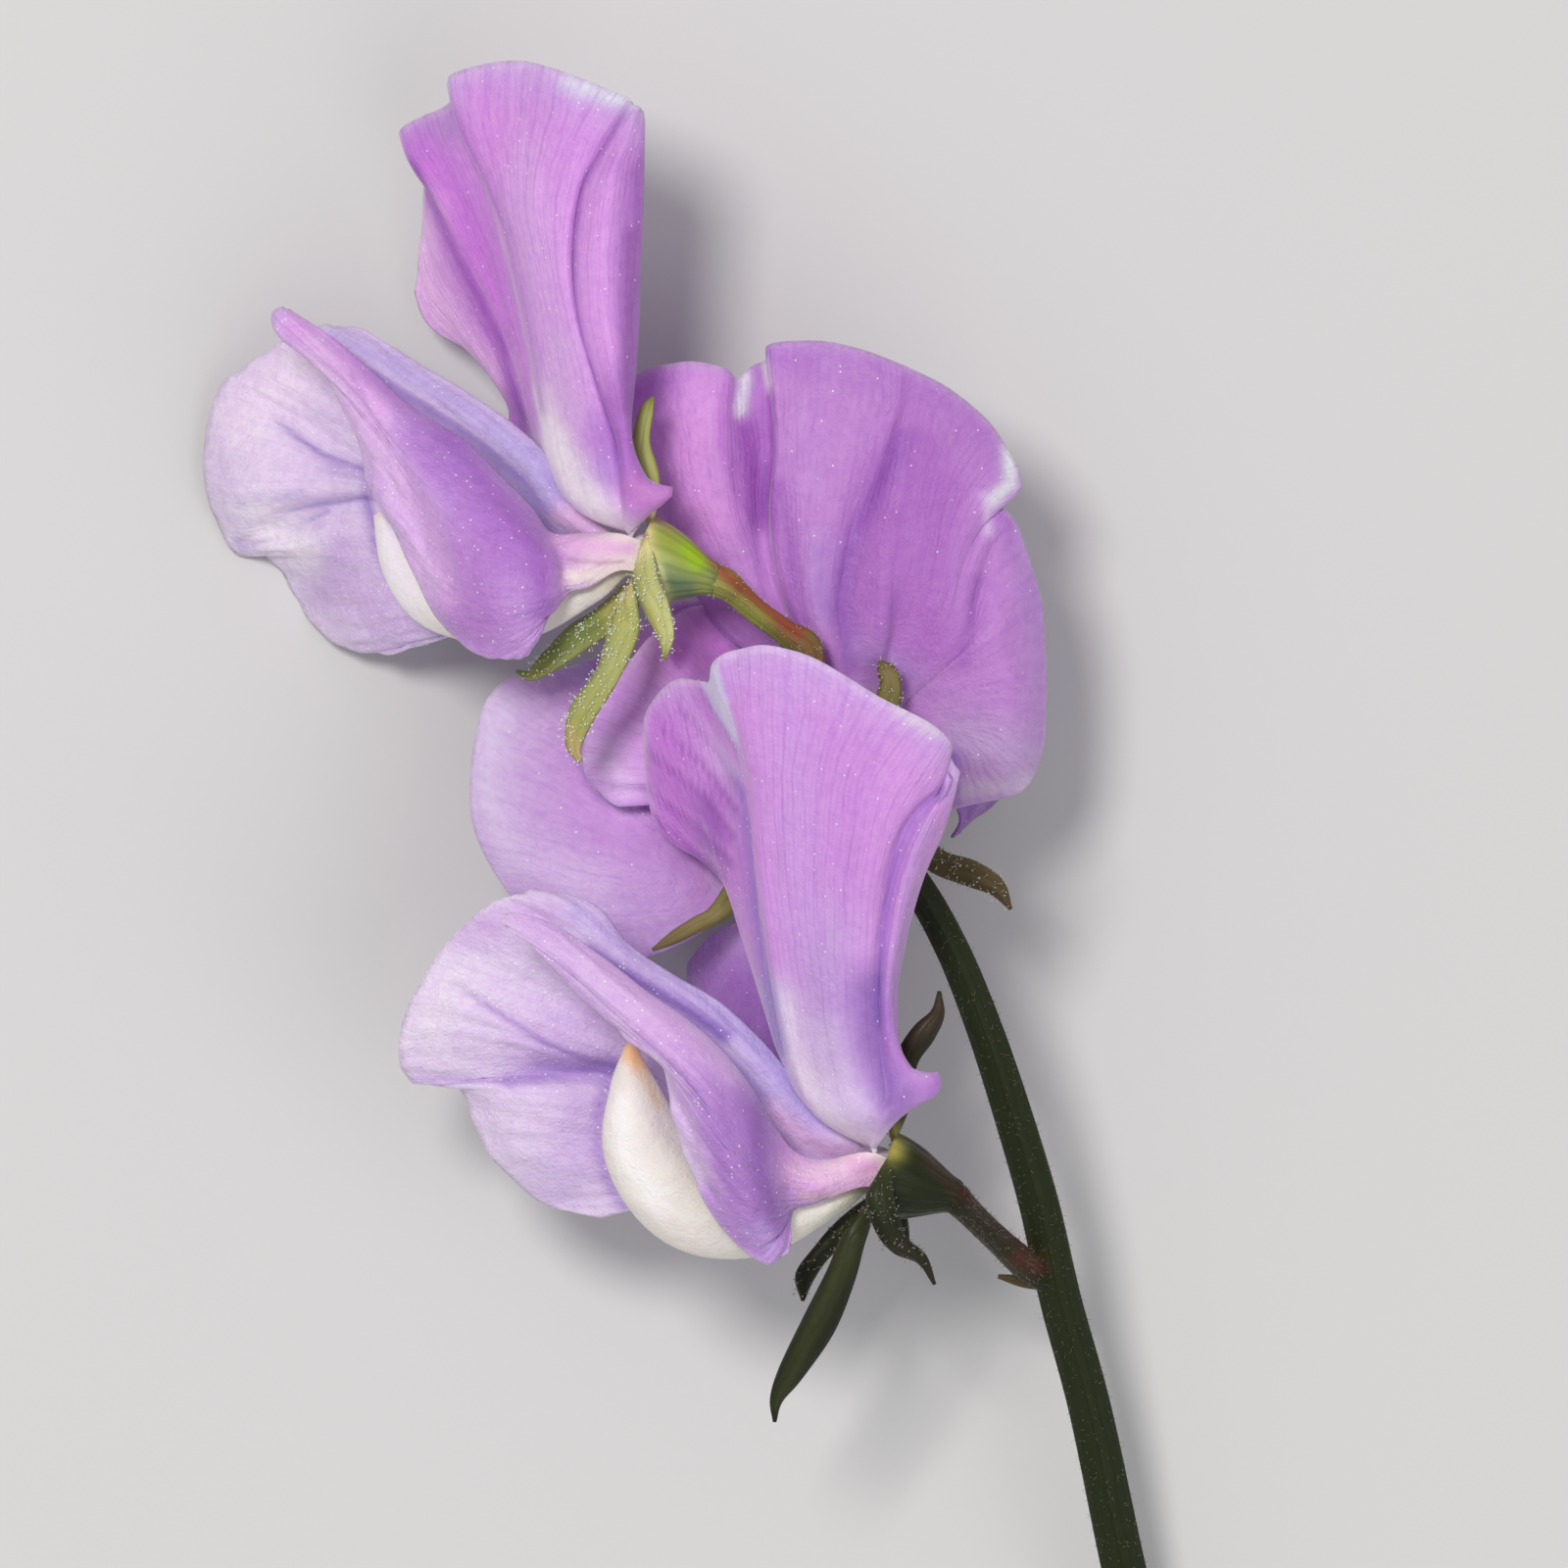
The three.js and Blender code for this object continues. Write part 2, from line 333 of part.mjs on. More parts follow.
function gridFaces(columns, rows, first = 0) {
  const faces = [];
  for (let i = 0; i < columns - 1; i += 1) {
    for (let j = 0; j < rows - 1; j += 1) {
      const a = first + i * rows + j;
      const b = a + rows;
      faces.push([a, b, b + 1], [a, b + 1, a + 1]);
    }
  }
  return faces;
}

// Closes a row of rings into a rod with flat ends
function rodFaces(rings, sides) {
  const faces = [];
  for (let i = 0; i < rings - 1; i += 1) {
    for (let j = 0; j < sides; j += 1) {
      const next = (j + 1) % sides;
      const a = i * sides;
      faces.push([a + j, a + next, a + sides + next], [a + j, a + sides + next, a + sides + j]);
    }
  }
  const start = rings * sides;
  for (let j = 0; j < sides; j += 1) {
    const next = (j + 1) % sides;
    faces.push([start, next, j], [start + 1, start - sides + j, start - sides + next]);
  }
  return faces;
}

// A round rod along a curve of [x, y, z, radius], with low ridges if asked
function rod(path, sides, ridgeHeight = 0) {
  const centres = path.map(([x, y, z]) => new THREE.Vector3(x, y, z));
  const points = [];
  let side = new THREE.Vector3(0, 0, 1);
  path.forEach(([, , , radius], i) => {
    const ahead = centres[Math.min(i + 1, path.length - 1)];
    const behind = centres[Math.max(i - 1, 0)];
    const along = ahead.clone().sub(behind).normalize();
    side = side.clone().addScaledVector(along, -side.dot(along)).normalize();
    const across = along.clone().cross(side);
    for (let j = 0; j < sides; j += 1) {
      const angle = (2 * Math.PI * j) / sides;
      const size = radius * (1 + ridgeHeight * Math.cos(STEM_RIDGES * angle));
      points.push(centres[i].clone()
        .addScaledVector(side, size * Math.cos(angle))
        .addScaledVector(across, size * Math.sin(angle)));
    }
  });
  points.push(centres[0].clone(), centres[path.length - 1].clone());
  return [points, rodFaces(path.length, sides)];
}

function toManifold([points, faces]) {
  const vertProperties = new Float32Array(points.flatMap((p) => p.toArray()));
  const triVerts = new Uint32Array(faces.flat());
  return new wasm.Manifold(new wasm.Mesh({ numProp: 3, vertProperties, triVerts }));
}

function fromManifold(solid) {
  const mesh = solid.getMesh();
  const shape = new THREE.BufferGeometry();
  shape.setAttribute("position", new THREE.Float32BufferAttribute(mesh.vertProperties, 3));
  shape.setIndex([...mesh.triVerts]);
  shape.computeVertexNormals();
  return shape;
}

// Blooms

// The frame of a bloom: where its calyx opens, which way it faces, and its middle plane,
// which climbs by the two shares of rise along x and y
function bloomFrame({ mouth, forward, up, rise = [0, 0] }) {
  const axis = new THREE.Vector3(...forward).normalize();
  const above = new THREE.Vector3(...up);
  above.addScaledVector(axis, -above.dot(axis)).normalize();
  const side = axis.clone().cross(above);
  if (side.z < 0) {
    side.negate();
  }
  return {
    side,
    at: ([f, u, s]) => new THREE.Vector3(mouth[0], mouth[1], 0)
      .addScaledVector(axis, f).addScaledVector(above, u).addScaledVector(side, s).toArray(),
    lift: (p) => new THREE.Vector3(p.x, p.y,
      p.z + mouth[2] + rise[0] * (p.x - mouth[0]) + rise[1] * (p.y - mouth[1])),
  };
}

// Petals that reach the surface lie flat on it
function petal(frame, ribs, acrossSteps) {
  const sheet = refine(ribs, PETAL_STEPS_ALONG, acrossSteps);
  const points = sheet.flat().map(frame.lift);
  const lowestMiddle = PETAL_THICKNESS / 2;
  for (const p of points) {
    p.z = Math.max(p.z, lowestMiddle);
  }
  const [solid, faces] = thicken(points, gridFaces(sheet.length, sheet[0].length), PETAL_THICKNESS);
  points.forEach((p, i) => {
    if (p.z === lowestMiddle) {
      const [lower, upper] = [solid[i], solid[points.length + i]].sort((one, other) => one.z - other.z);
      lower.set(p.x, p.y, 0);
      upper.set(p.x, p.y, PETAL_THICKNESS);
    }
  });
  return [solid, faces];
}

// The claw of the standard is a half gutter that comes out of the top of the calyx. In the
// blooms that face down it then opens into a throat.
function standardRibs(frame, ribs, throat) {
  return ribs.map((rib, i) => {
    const share = 1 - (2 * i) / (ribs.length - 1);
    const gutter = (forward, radius, halfAngle) => {
      const angle = THREE.MathUtils.degToRad(halfAngle * share);
      return frame.at([forward, radius * Math.cos(angle), radius * Math.sin(angle)]);
    };
    const claw = [
      gutter(-CLAW_DEPTH, STANDARD_CLAW_RADIUS, STANDARD_CLAW_HALF_ANGLE),
      gutter(CLAW_REACH, STANDARD_CLAW_RADIUS, STANDARD_CLAW_HALF_ANGLE),
    ];
    if (throat) {
      claw.push(gutter(THROAT_REACH, THROAT_RADIUS, THROAT_HALF_ANGLE));
    }
    return [...claw, ...rib];
  });
}

// The claw of a wing is a narrow strip at one side of the calyx
function wingRibs(frame, ribs, hand) {
  return ribs.map((rib, i) => {
    const share = i / (ribs.length - 1);
    const claw = WING_CLAW.map(([forward, upper, width], k) => (
      frame.at([forward, upper - width * share, hand * (WING_CLAW_OFFSET + k * WING_CLAW_FLARE)])));
    return [...claw, ...rib];
  });
}

// The keel is a boat-shaped body. Its line has [x, y, height over the middle plane, half height,
// half width].
function keel(frame, line) {
  const root = KEEL_ROOT.map(([f, u, height, width]) => [...frame.at([f, u, 0]), height, width]);
  const path = spline([...root, ...line], KEEL_STEPS);
  const centres = path.map(([x, y, z]) => new THREE.Vector3(x, y, z));
  const points = [];
  path.forEach(([, , , height, width], i) => {
    const ahead = centres[Math.min(i + 1, path.length - 1)];
    const behind = centres[Math.max(i - 1, 0)];
    const along = ahead.clone().sub(behind).normalize();
    const rise = frame.side.clone().cross(along).normalize();
    for (let j = 0; j < KEEL_SIDES; j += 1) {
      const angle = (2 * Math.PI * j) / KEEL_SIDES;
      points.push(centres[i].clone()
        .addScaledVector(rise, height * Math.cos(angle))
        .addScaledVector(frame.side, width * Math.sin(angle)));
    }
  });
  points.push(centres[0].clone(), centres[path.length - 1].clone());
  return [points.map(frame.lift), rodFaces(path.length, KEEL_SIDES)];
}

// The calyx is a cup with five teeth. A tooth has a line of [x, y, height over the middle plane,
// half width], and its blade is turned so that the given direction is its outer side.
function calyx(frame, teeth) {
  const points = [];
  const faces = [];
  const columns = 3 * TEETH;
  const angleStep = (2 * Math.PI) / columns;
  CALYX_PROFILE.forEach(([forward, radius]) => {
    for (let j = 0; j < columns; j += 1) {
      const angle = (j - 1) * angleStep;
      const place = frame.at([forward, radius * Math.cos(angle), radius * Math.sin(angle)]);
      points.push(new THREE.Vector3(...place));
    }
  });
  const pole = points.length;
  points.push(new THREE.Vector3(...frame.at([-CALYX_LENGTH, 0, 0])));
  for (let j = 0; j < columns; j += 1) {
    const next = (j + 1) % columns;
    faces.push([pole, next, j]);
    for (let i = 0; i < CALYX_PROFILE.length - 1; i += 1) {
      const a = i * columns;
      faces.push([a + j, a + next, a + columns + next], [a + j, a + columns + next, a + columns + j]);
    }
  }
  const rim = (CALYX_PROFILE.length - 1) * columns;
  teeth.forEach((tooth, t) => {
    let row = [0, 1, 2].map((k) => rim + 3 * t + k);
    const rootMiddle = points[row[1]];
    const line = [rootMiddle.toArray(), ...tooth.map((p) => p.slice(0, 3))];
    tooth.forEach(([x, y, z, halfWidth], i) => {
      const next = line[Math.min(i + 2, line.length - 1)];
      const along = new THREE.Vector3(...next).sub(new THREE.Vector3(...line[i])).normalize();
      const across = new THREE.Vector3(0, 0, 1).cross(along).normalize().multiplyScalar(halfWidth);
      const middle = new THREE.Vector3(x, y, z);
      const first = points.length;
      const left = middle.clone().add(across);
      const right = middle.clone().sub(across);
      const rootAcross = points[row[2]].clone().sub(points[row[0]]);
      const ordered = rootAcross.dot(across) < 0 ? [left, middle, right] : [right, middle, left];
      points.push(...ordered);
      for (let k = 0; k < 2; k += 1) {
        faces.push([row[k], row[k + 1], first + k + 1], [row[k], first + k + 1, first + k]);
      }
      row = [first, first + 1, first + 2];
    });
  });
  return thicken(points.map(frame.lift), faces, CALYX_THICKNESS);
}

// Assembly

const flower = new THREE.Group();

function add(name, kind, [points, faces]) {
  const mesh = new THREE.Mesh(geometry(points, faces), materials[kind]);
  mesh.name = name;
  flower.add(mesh);
}

function addBloom(name, frame, parts) {
  const { standard, throat, wingNear, wingFar, keelLine, teeth } = parts;
  const stepsAcross = throat ? 1 : SIDE_STANDARD_STEPS_ACROSS;
  add(`${name}_calyx`, "calyx", calyx(frame, teeth));
  add(`${name}_standard`, "standard", petal(frame, standardRibs(frame, standard, throat), stepsAcross));
  add(`${name}_wing_near`, "wing", petal(frame, wingRibs(frame, wingNear, 1), 1));
  add(`${name}_wing_far`, "wing", petal(frame, wingRibs(frame, wingFar, -1), 1));
  add(`${name}_keel`, "keel", keel(frame, keelLine));
}

// The hidden petals of a bloom that faces down, set out in its own frame
function hiddenParts(frame, size) {
  const place = ([f, u, s]) => frame.at([size * f, size * u, s]);
  const wing = (hand) => HIDDEN_WING.map((rib) => rib.map(([f, u, s]) => place([f, u, hand * s])));
  return {
    wingNear: wing(1),
    wingFar: wing(-1),
    keelLine: HIDDEN_KEEL.map(([f, u, height, width]) => [...place([f, u, 0]), height, width]),
    throat: true,
  };
}

const top = bloomFrame({
  mouth: [-9.2, 14.4, 20.5], forward: [-0.962, 0.272, 0], up: [0, 1, 0], rise: [0.4, -0.1],
});
const front = bloomFrame({
  mouth: [6.3, -24.9, 21], forward: [-0.957, 0.291, 0], up: [0, 1, 0], rise: [-0.1, 0.12],
});
const right = bloomFrame({ mouth: [7, 1.6, 17.2], forward: [0, 0.08, -1], up: [-0.35, 0.93, 0] });
const left = bloomFrame({ mouth: [-0.9, -6.2, 15.2], forward: [0.06, -0.54, -0.84], up: [-0.58, 0.81, 0] });

const [peduncle, ...branches] = [
  rod(PEDUNCLE, STEM_SIDES, STEM_RIDGE_HEIGHT),
  ...PEDICELS.map((line) => rod(spline(line, PEDICEL_STEPS), PEDICEL_SIDES)),
  rod(BRACT, BRACT_SIDES),
].map(toManifold);
const stemSolid = branches.reduce((whole, branch) => whole.add(branch), peduncle);
const stem = new THREE.Mesh(fromManifold(stemSolid), materials.stem);
stem.name = "stem";
flower.add(stem);

addBloom("top", top, {
  standard: TOP_STANDARD,
  wingNear: TOP_WING_NEAR,
  wingFar: TOP_WING_FAR,
  keelLine: TOP_KEEL,
  teeth: TOP_TEETH,
});
addBloom("front", front, {
  standard: FRONT_STANDARD,
  wingNear: FRONT_WING_NEAR,
  wingFar: FRONT_WING_FAR,
  keelLine: FRONT_KEEL,
  teeth: FRONT_TEETH,
});
addBloom("right", right, {
  standard: RIGHT_STANDARD,
  teeth: RIGHT_TEETH,
  ...hiddenParts(right, RIGHT_SIZE),
});
addBloom("left", left, {
  standard: LEFT_STANDARD,
  teeth: LEFT_TEETH,
  ...hiddenParts(left, LEFT_SIZE),
});

// The origin is under the middle of the whole stem, on the surface that it lies on
const box = new THREE.Box3().setFromObject(flower, true);
const middle = box.getCenter(new THREE.Vector3());
flower.position.set(-middle.x, -middle.y, -box.min.z);

export default flower;
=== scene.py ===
import math

import bpy
import numpy as np
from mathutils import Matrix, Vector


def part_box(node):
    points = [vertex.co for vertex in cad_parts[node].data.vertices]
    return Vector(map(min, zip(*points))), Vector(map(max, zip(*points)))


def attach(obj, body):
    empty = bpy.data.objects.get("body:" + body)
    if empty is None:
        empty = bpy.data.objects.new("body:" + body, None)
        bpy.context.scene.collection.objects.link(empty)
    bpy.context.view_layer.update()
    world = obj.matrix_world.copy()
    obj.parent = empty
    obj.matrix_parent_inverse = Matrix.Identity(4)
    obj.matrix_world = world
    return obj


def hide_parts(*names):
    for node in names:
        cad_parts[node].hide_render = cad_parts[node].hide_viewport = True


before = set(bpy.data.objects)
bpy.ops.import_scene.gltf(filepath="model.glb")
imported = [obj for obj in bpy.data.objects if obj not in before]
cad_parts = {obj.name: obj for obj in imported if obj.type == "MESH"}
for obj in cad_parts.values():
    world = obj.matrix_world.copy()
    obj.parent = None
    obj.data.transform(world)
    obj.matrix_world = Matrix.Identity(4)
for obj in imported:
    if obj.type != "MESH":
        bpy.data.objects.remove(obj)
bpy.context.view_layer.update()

# Sizes in millimetres
PETAL_BASE_THICKNESS = 0.4
PETAL_MARGIN_THICKNESS = 0.14
CALYX_THICKNESS = 0.42
TOOTH_TIP_THICKNESS = 0.16
CALYX_LENGTH = 5.1
CALYX_BASE_RADIUS = 0.25
# From the base of the cup to its rim, as [distance in front of the mouth, radius]
CALYX_PROFILE = [[-4.9, 0.86], [-4.3, 1.02], [-3.3, 1.5], [-2.1, 2.08], [-0.9, 2.45], [0, 2.6]]
CLAW_DEPTH = 1.6
CLAW_REACH = 0.9
CLAW_LENGTH = 4
STANDARD_CLAW_RADIUS = 1.5
THROAT_REACH = 1.9
THROAT_RADIUS = 2.6
WING_CLAW_OFFSET = 1.35
WING_CLAW_FLARE = 0.12
# The claw of a wing inside the calyx and at its mouth, as [distance in front of the mouth, upper
# edge, width]
WING_CLAW = [[-CLAW_DEPTH, 0.6, 1.6], [CLAW_REACH, 1.15, 2.2]]
# The root of the keel, as [distance in front of the mouth, height, half height, half width]
KEEL_ROOT = [[-CLAW_DEPTH, -0.55, 0.6, 0.45], [CLAW_REACH, -0.65, 0.8, 0.6]]
KEEL_WAVE_HEIGHT = 0.05
STALK_OVERLAP = 0.4
HAIR_ROOT_DEPTH = 0.05
CALYX_HAIR_LIFT = 0.2
CALYX_HAIR_LENGTHS = (0.15, 0.42)
CALYX_HAIR_RADIUS = 0.026
CALYX_HAIR_HEAD = 0.07
STEM_HAIR_LENGTHS = (0.12, 0.42)
STEM_HAIR_RADIUS = 0.024
KEEL_LOWEST = 0.02
STEM_LOWEST = 0.01
# The stalk's hairs are pale beyond this y and darkened as painted shade below it
SHADED_HAIRS_TO_Y = 6
SIDE_BLUR = 0.12
PHOTO_WIDTH = 100
CAMERA_LENS = 1080
CAMERA_SENSOR = 36
FOCUS_HEIGHT = 22

# Angles in degrees
STANDARD_CLAW_HALF_ANGLE = 50
THROAT_HALF_ANGLE = 60

# Shares
# A tooth's width as a share of the one in its table, and the same for its last point
TOOTH_WIDTH = 0.78
TOOTH_TIP = 0.25
TOOTH_HOLLOW = 0.27
CUP_SHARE = 0.35
CUP_RIB = 0.018
KEEL_PINCH = 0.25
HAIR_HEAD_SIZES = (0.6, 1.2)
RIGHT_SIZE = 0.93
LEFT_SIZE = 0.9
# Brightness of the stalk's hairs: low where they are darkened as painted shade, high near the top bloom
SHADED_HAIR_TINT = 0.22
UNSHADED_HAIR_TINT = 0.9
MARGIN_STRENGTH = 0.3
MARGIN_SHARE = 0.012
# Painted glints: the usual value of a petal's glint field, and the share of cells that glint where that
# field is 1
USUAL_PAINTED_GLINT = 0.14
PAINTED_GLINT_SHARE = 0.22

# Counts, and the seed of the stem's hairs
TEETH = 5
RIB_STEPS = 8
RIB_POINTS = 64
STANDARD_STEPS = 6
WING_STEPS = 8
CUP_STEPS = 4
TOOTH_STEPS = 6
KEEL_STEPS = 8
KEEL_SIDES = 32
CAD_KEEL_STEPS = 2
CAD_KEEL_SIDES = 10
STALK_STEPS = 8
STALK_SIDES = 60
PEDICEL_SIDES = 32
BRACT_STEPS = 6
BRACT_SIDES = 12
CALYX_HAIRS = 1000
STALK_HAIRS = 2600
STEM_SEED = 38
PEDICEL_HAIRS = 420
# Waves of a keel: how many, and the fewest and most crests round it
KEEL_WAVES = (5, 2, 6)

# Waves of a petal as [kind, usual height, count, fewest and most across the petal, power of the
# share along it]
WAVES = [["ruffle", 0.25, 4, 3, 8, 4], ["swell", 0.12, 4, 1, 4, 1.5], ["crumple", 0.035, 6, 12, 26, 1]]

# The peduncle from its cut end to the joint under the top bloom and on to that bloom's calyx,
# as [x, y, z, radius]
PEDUNCLE = [
    [28.3, -80.5, 1.35, 1.42], [26.2, -70, 2.7, 1.4], [24, -60, 4.6, 1.4], [21.7, -49.9, 6.8, 1.38],
    [19.6, -40, 9.2, 1.33], [17.7, -33, 11.1, 1.3], [16.3, -26.8, 12.8, 1.25], [14.6, -21, 14.4, 1.2],
    [12.7, -15.3, 15.9, 1.12], [10.6, -10.2, 17.2, 1.05], [8, -5.8, 18.3, 1], [4.6, -2.6, 19, 0.95],
    [2, 0.8, 19.5, 0.92], [1.2, 4.6, 19.8, 0.95], [1.4, 8.4, 20.1, 1.15], [0.1, 9.7, 20.7, 0.82],
    [-1.7, 11, 21.3, 0.78], [-3, 12.2, 22, 0.85], [-3.75, 12.8, 22.5, 1],
]

# Small bract at the root of the front bloom's stalk
BRACT = [[16.4, -31.9, 11.6, 0.5], [15.2, -31.8, 12, 0.4], [13.7, -31.5, 12.3, 0.15]]

# Keels as [x, y, height over the middle plane, half height, half width]
TOP_KEEL = [
    [-12.5, 12.7, 0, 1.2, 1], [-17, 11.6, 0, 2.4, 1.8], [-21.6, 12, 0, 2.4, 1.8],
    [-24.3, 14, 0, 1.5, 1.3], [-26, 17.3, 0, 0.3, 0.3],
]
FRONT_KEEL = [
    [3, -26.7, 0, 0.9, 1], [-1.6, -27.7, 0, 2.4, 1.9], [-5.8, -26.6, 0, 3.2, 2],
    [-8.7, -23.2, 0, 2.9, 1.8], [-9.6, -19.4, 0, 1.6, 1.2], [-9.75, -16.5, 0, 0.3, 0.3],
]

# Teeth of the calyx, each from its root to its tip as [x, y, height over the middle plane, half
# width]
TOP_TEETH = [
    [[-8.7, 19.4, 0.3, 0.9], [-9.1, 21.8, 0.3, 0.65], [-8.75, 23.8, 0.2, 0.5], [-8.35, 24.7, 0.1, 0.25]],
    [[-8.75, 12.8, 3.3, 1], [-8.1, 11.2, 3.5, 0.95], [-7.5, 9.4, 3.4, 0.6], [-7.6, 7.9, 3.2, 0.25]],
    [[-10.1, 10.1, 2, 1.1], [-11.2, 7, 2.2, 0.9], [-12.8, 4.6, 2, 1.05], [-13.4, 2.5, 1.6, 0.6],
        [-13, 1.4, 1.4, 0.3]],
    [[-11.3, 10.6, -2.1, 1], [-13.2, 9.3, -2.5, 1.1], [-15, 7.8, -2.7, 0.8], [-16.2, 6.95, -2.9, 0.4],
        [-17.1, 7.2, -3, 0.25]],
    [[-8.7, 13, -3.3, 1], [-8, 11.3, -3.7, 0.9], [-7.5, 9.6, -3.9, 0.5], [-7.5, 8.3, -3.9, 0.25]],
]
FRONT_TEETH = [
    [[7.2, -20.2, -0.3, 1], [7.8, -17.6, -0.2, 0.85], [8.9, -15.9, 0.1, 0.9], [9.8, -14.6, 0.2, 0.5],
        [9.9, -13.2, 0.2, 0.25]],
    [[6.1, -26.3, 3.3, 1], [6.6, -28.1, 3.5, 1], [7.4, -29.4, 3.4, 0.75], [8.8, -30.3, 3.1, 0.4],
        [9.6, -31.9, 2.9, 0.25]],
    [[4.5, -28.9, 1.9, 0.8], [3.6, -31.4, 1.6, 1.1], [2.2, -34.5, 1.1, 1.3], [0.4, -37.6, 0.5, 0.95],
        [-0.5, -39.3, 0.3, 0.45], [-0.6, -40.7, 0.1, 0.25]],
    [[3.9, -28.4, -2.2, 0.8], [2.4, -29.9, -2.4, 0.65], [1.3, -31.5, -2.5, 0.7], [1.2, -33, -2.6, 0.25]],
    [[6.6, -26.4, -3.4, 1], [7.2, -28.2, -3.8, 0.9], [7.9, -29.2, -4, 0.3]],
]

# Wing of a bloom that faces down, as [forward, up, sideways] in its own frame
HIDDEN_WING = [
    [[3.4, 0.6, 1.8], [8, 3.4, 2.8], [12.5, 5.2, 3.6], [17, 6.4, 3.4]],
    [[3.4, 0.2, 2.1], [8.4, 2, 3.8], [13.2, 3.2, 4.8], [18.2, 3.8, 4.6]],
    [[3.4, -0.2, 2.3], [8.5, 0.5, 4.3], [13.4, 0.8, 5.4], [18.5, 0.8, 5.2]],
    [[3.4, -0.6, 2.3], [8.4, -0.9, 4.3], [13, -1.6, 5.4], [17.4, -2.4, 5.2]],
    [[3.4, -1, 2.2], [8, -2.3, 4], [12, -4, 5], [15, -5.8, 4.8]],
    [[3.4, -1.4, 2], [7.2, -3.4, 3.3], [10, -5.4, 4], [11.6, -7.2, 2.2]],
]
# Its keel as [forward, up, half height, half width], and the teeth of the two such blooms
HIDDEN_KEEL = [
    [3.6, -1.2, 1.3, 1], [7.5, -2.4, 2.2, 1.7], [11.2, -2.4, 2.2, 1.7], [13.6, -0.4, 1.5, 1.2],
    [14.8, 2.2, 0.35, 0.3],
]
RIGHT_TEETH = [
    [[6.8, 6.2, 1.2, 0.8], [6.55, 7.2, 1.3, 0.7], [6.1, 7.8, 1.2, 0.3]],
    [[9.9, 0.9, 0.5, 0.8], [10, 0, 1.1, 0.6], [9.8, -0.7, 1.5, 0.3]],
    [[8.9, -1.5, 0.2, 0.8], [9, -2.3, 0.8, 0.6], [8.8, -2.9, 1.2, 0.25]],
    [[7.9, -2.6, -1.4, 0.9], [9.6, -4.8, -1.5, 0.9], [11.9, -5.7, -1.6, 1], [13.6, -6.6, -1.7, 0.7],
        [14.5, -8, -1.8, 0.25]],
    [[3.9, 1.3, -0.4, 0.7], [3.7, 0.5, 0, 0.3]],
]
LEFT_TEETH = [
    [[-2.7, -3.4, 0.4, 0.8], [-2.6, -2.7, 1.4, 0.6], [-2.4, -2.3, 2.1, 0.25]],
    [[-4.3, -8.3, 1, 0.65], [-5.6, -9, 0.9, 0.55], [-7, -9.8, 0.7, 0.45], [-8.4, -10.6, 0.5, 0.25]],
    [[-0.4, -10.2, 0.6, 0.8], [0, -12, 0.2, 0.7], [0.3, -13.6, -0.2, 0.25]],
    [[2.6, -8.4, -0.6, 0.8], [3.6, -9.8, -1, 0.6], [4.2, -11, -1.4, 0.25]],
    [[1.6, -4, -1.4, 0.6], [2.6, -3.8, -1.8, 0.25]],
]

# Ribs of the petals as (x, y, height over the middle plane). Each runs from the claw to the margin
# along a ridge, fold or edge of the petal, with as many points as it needs.

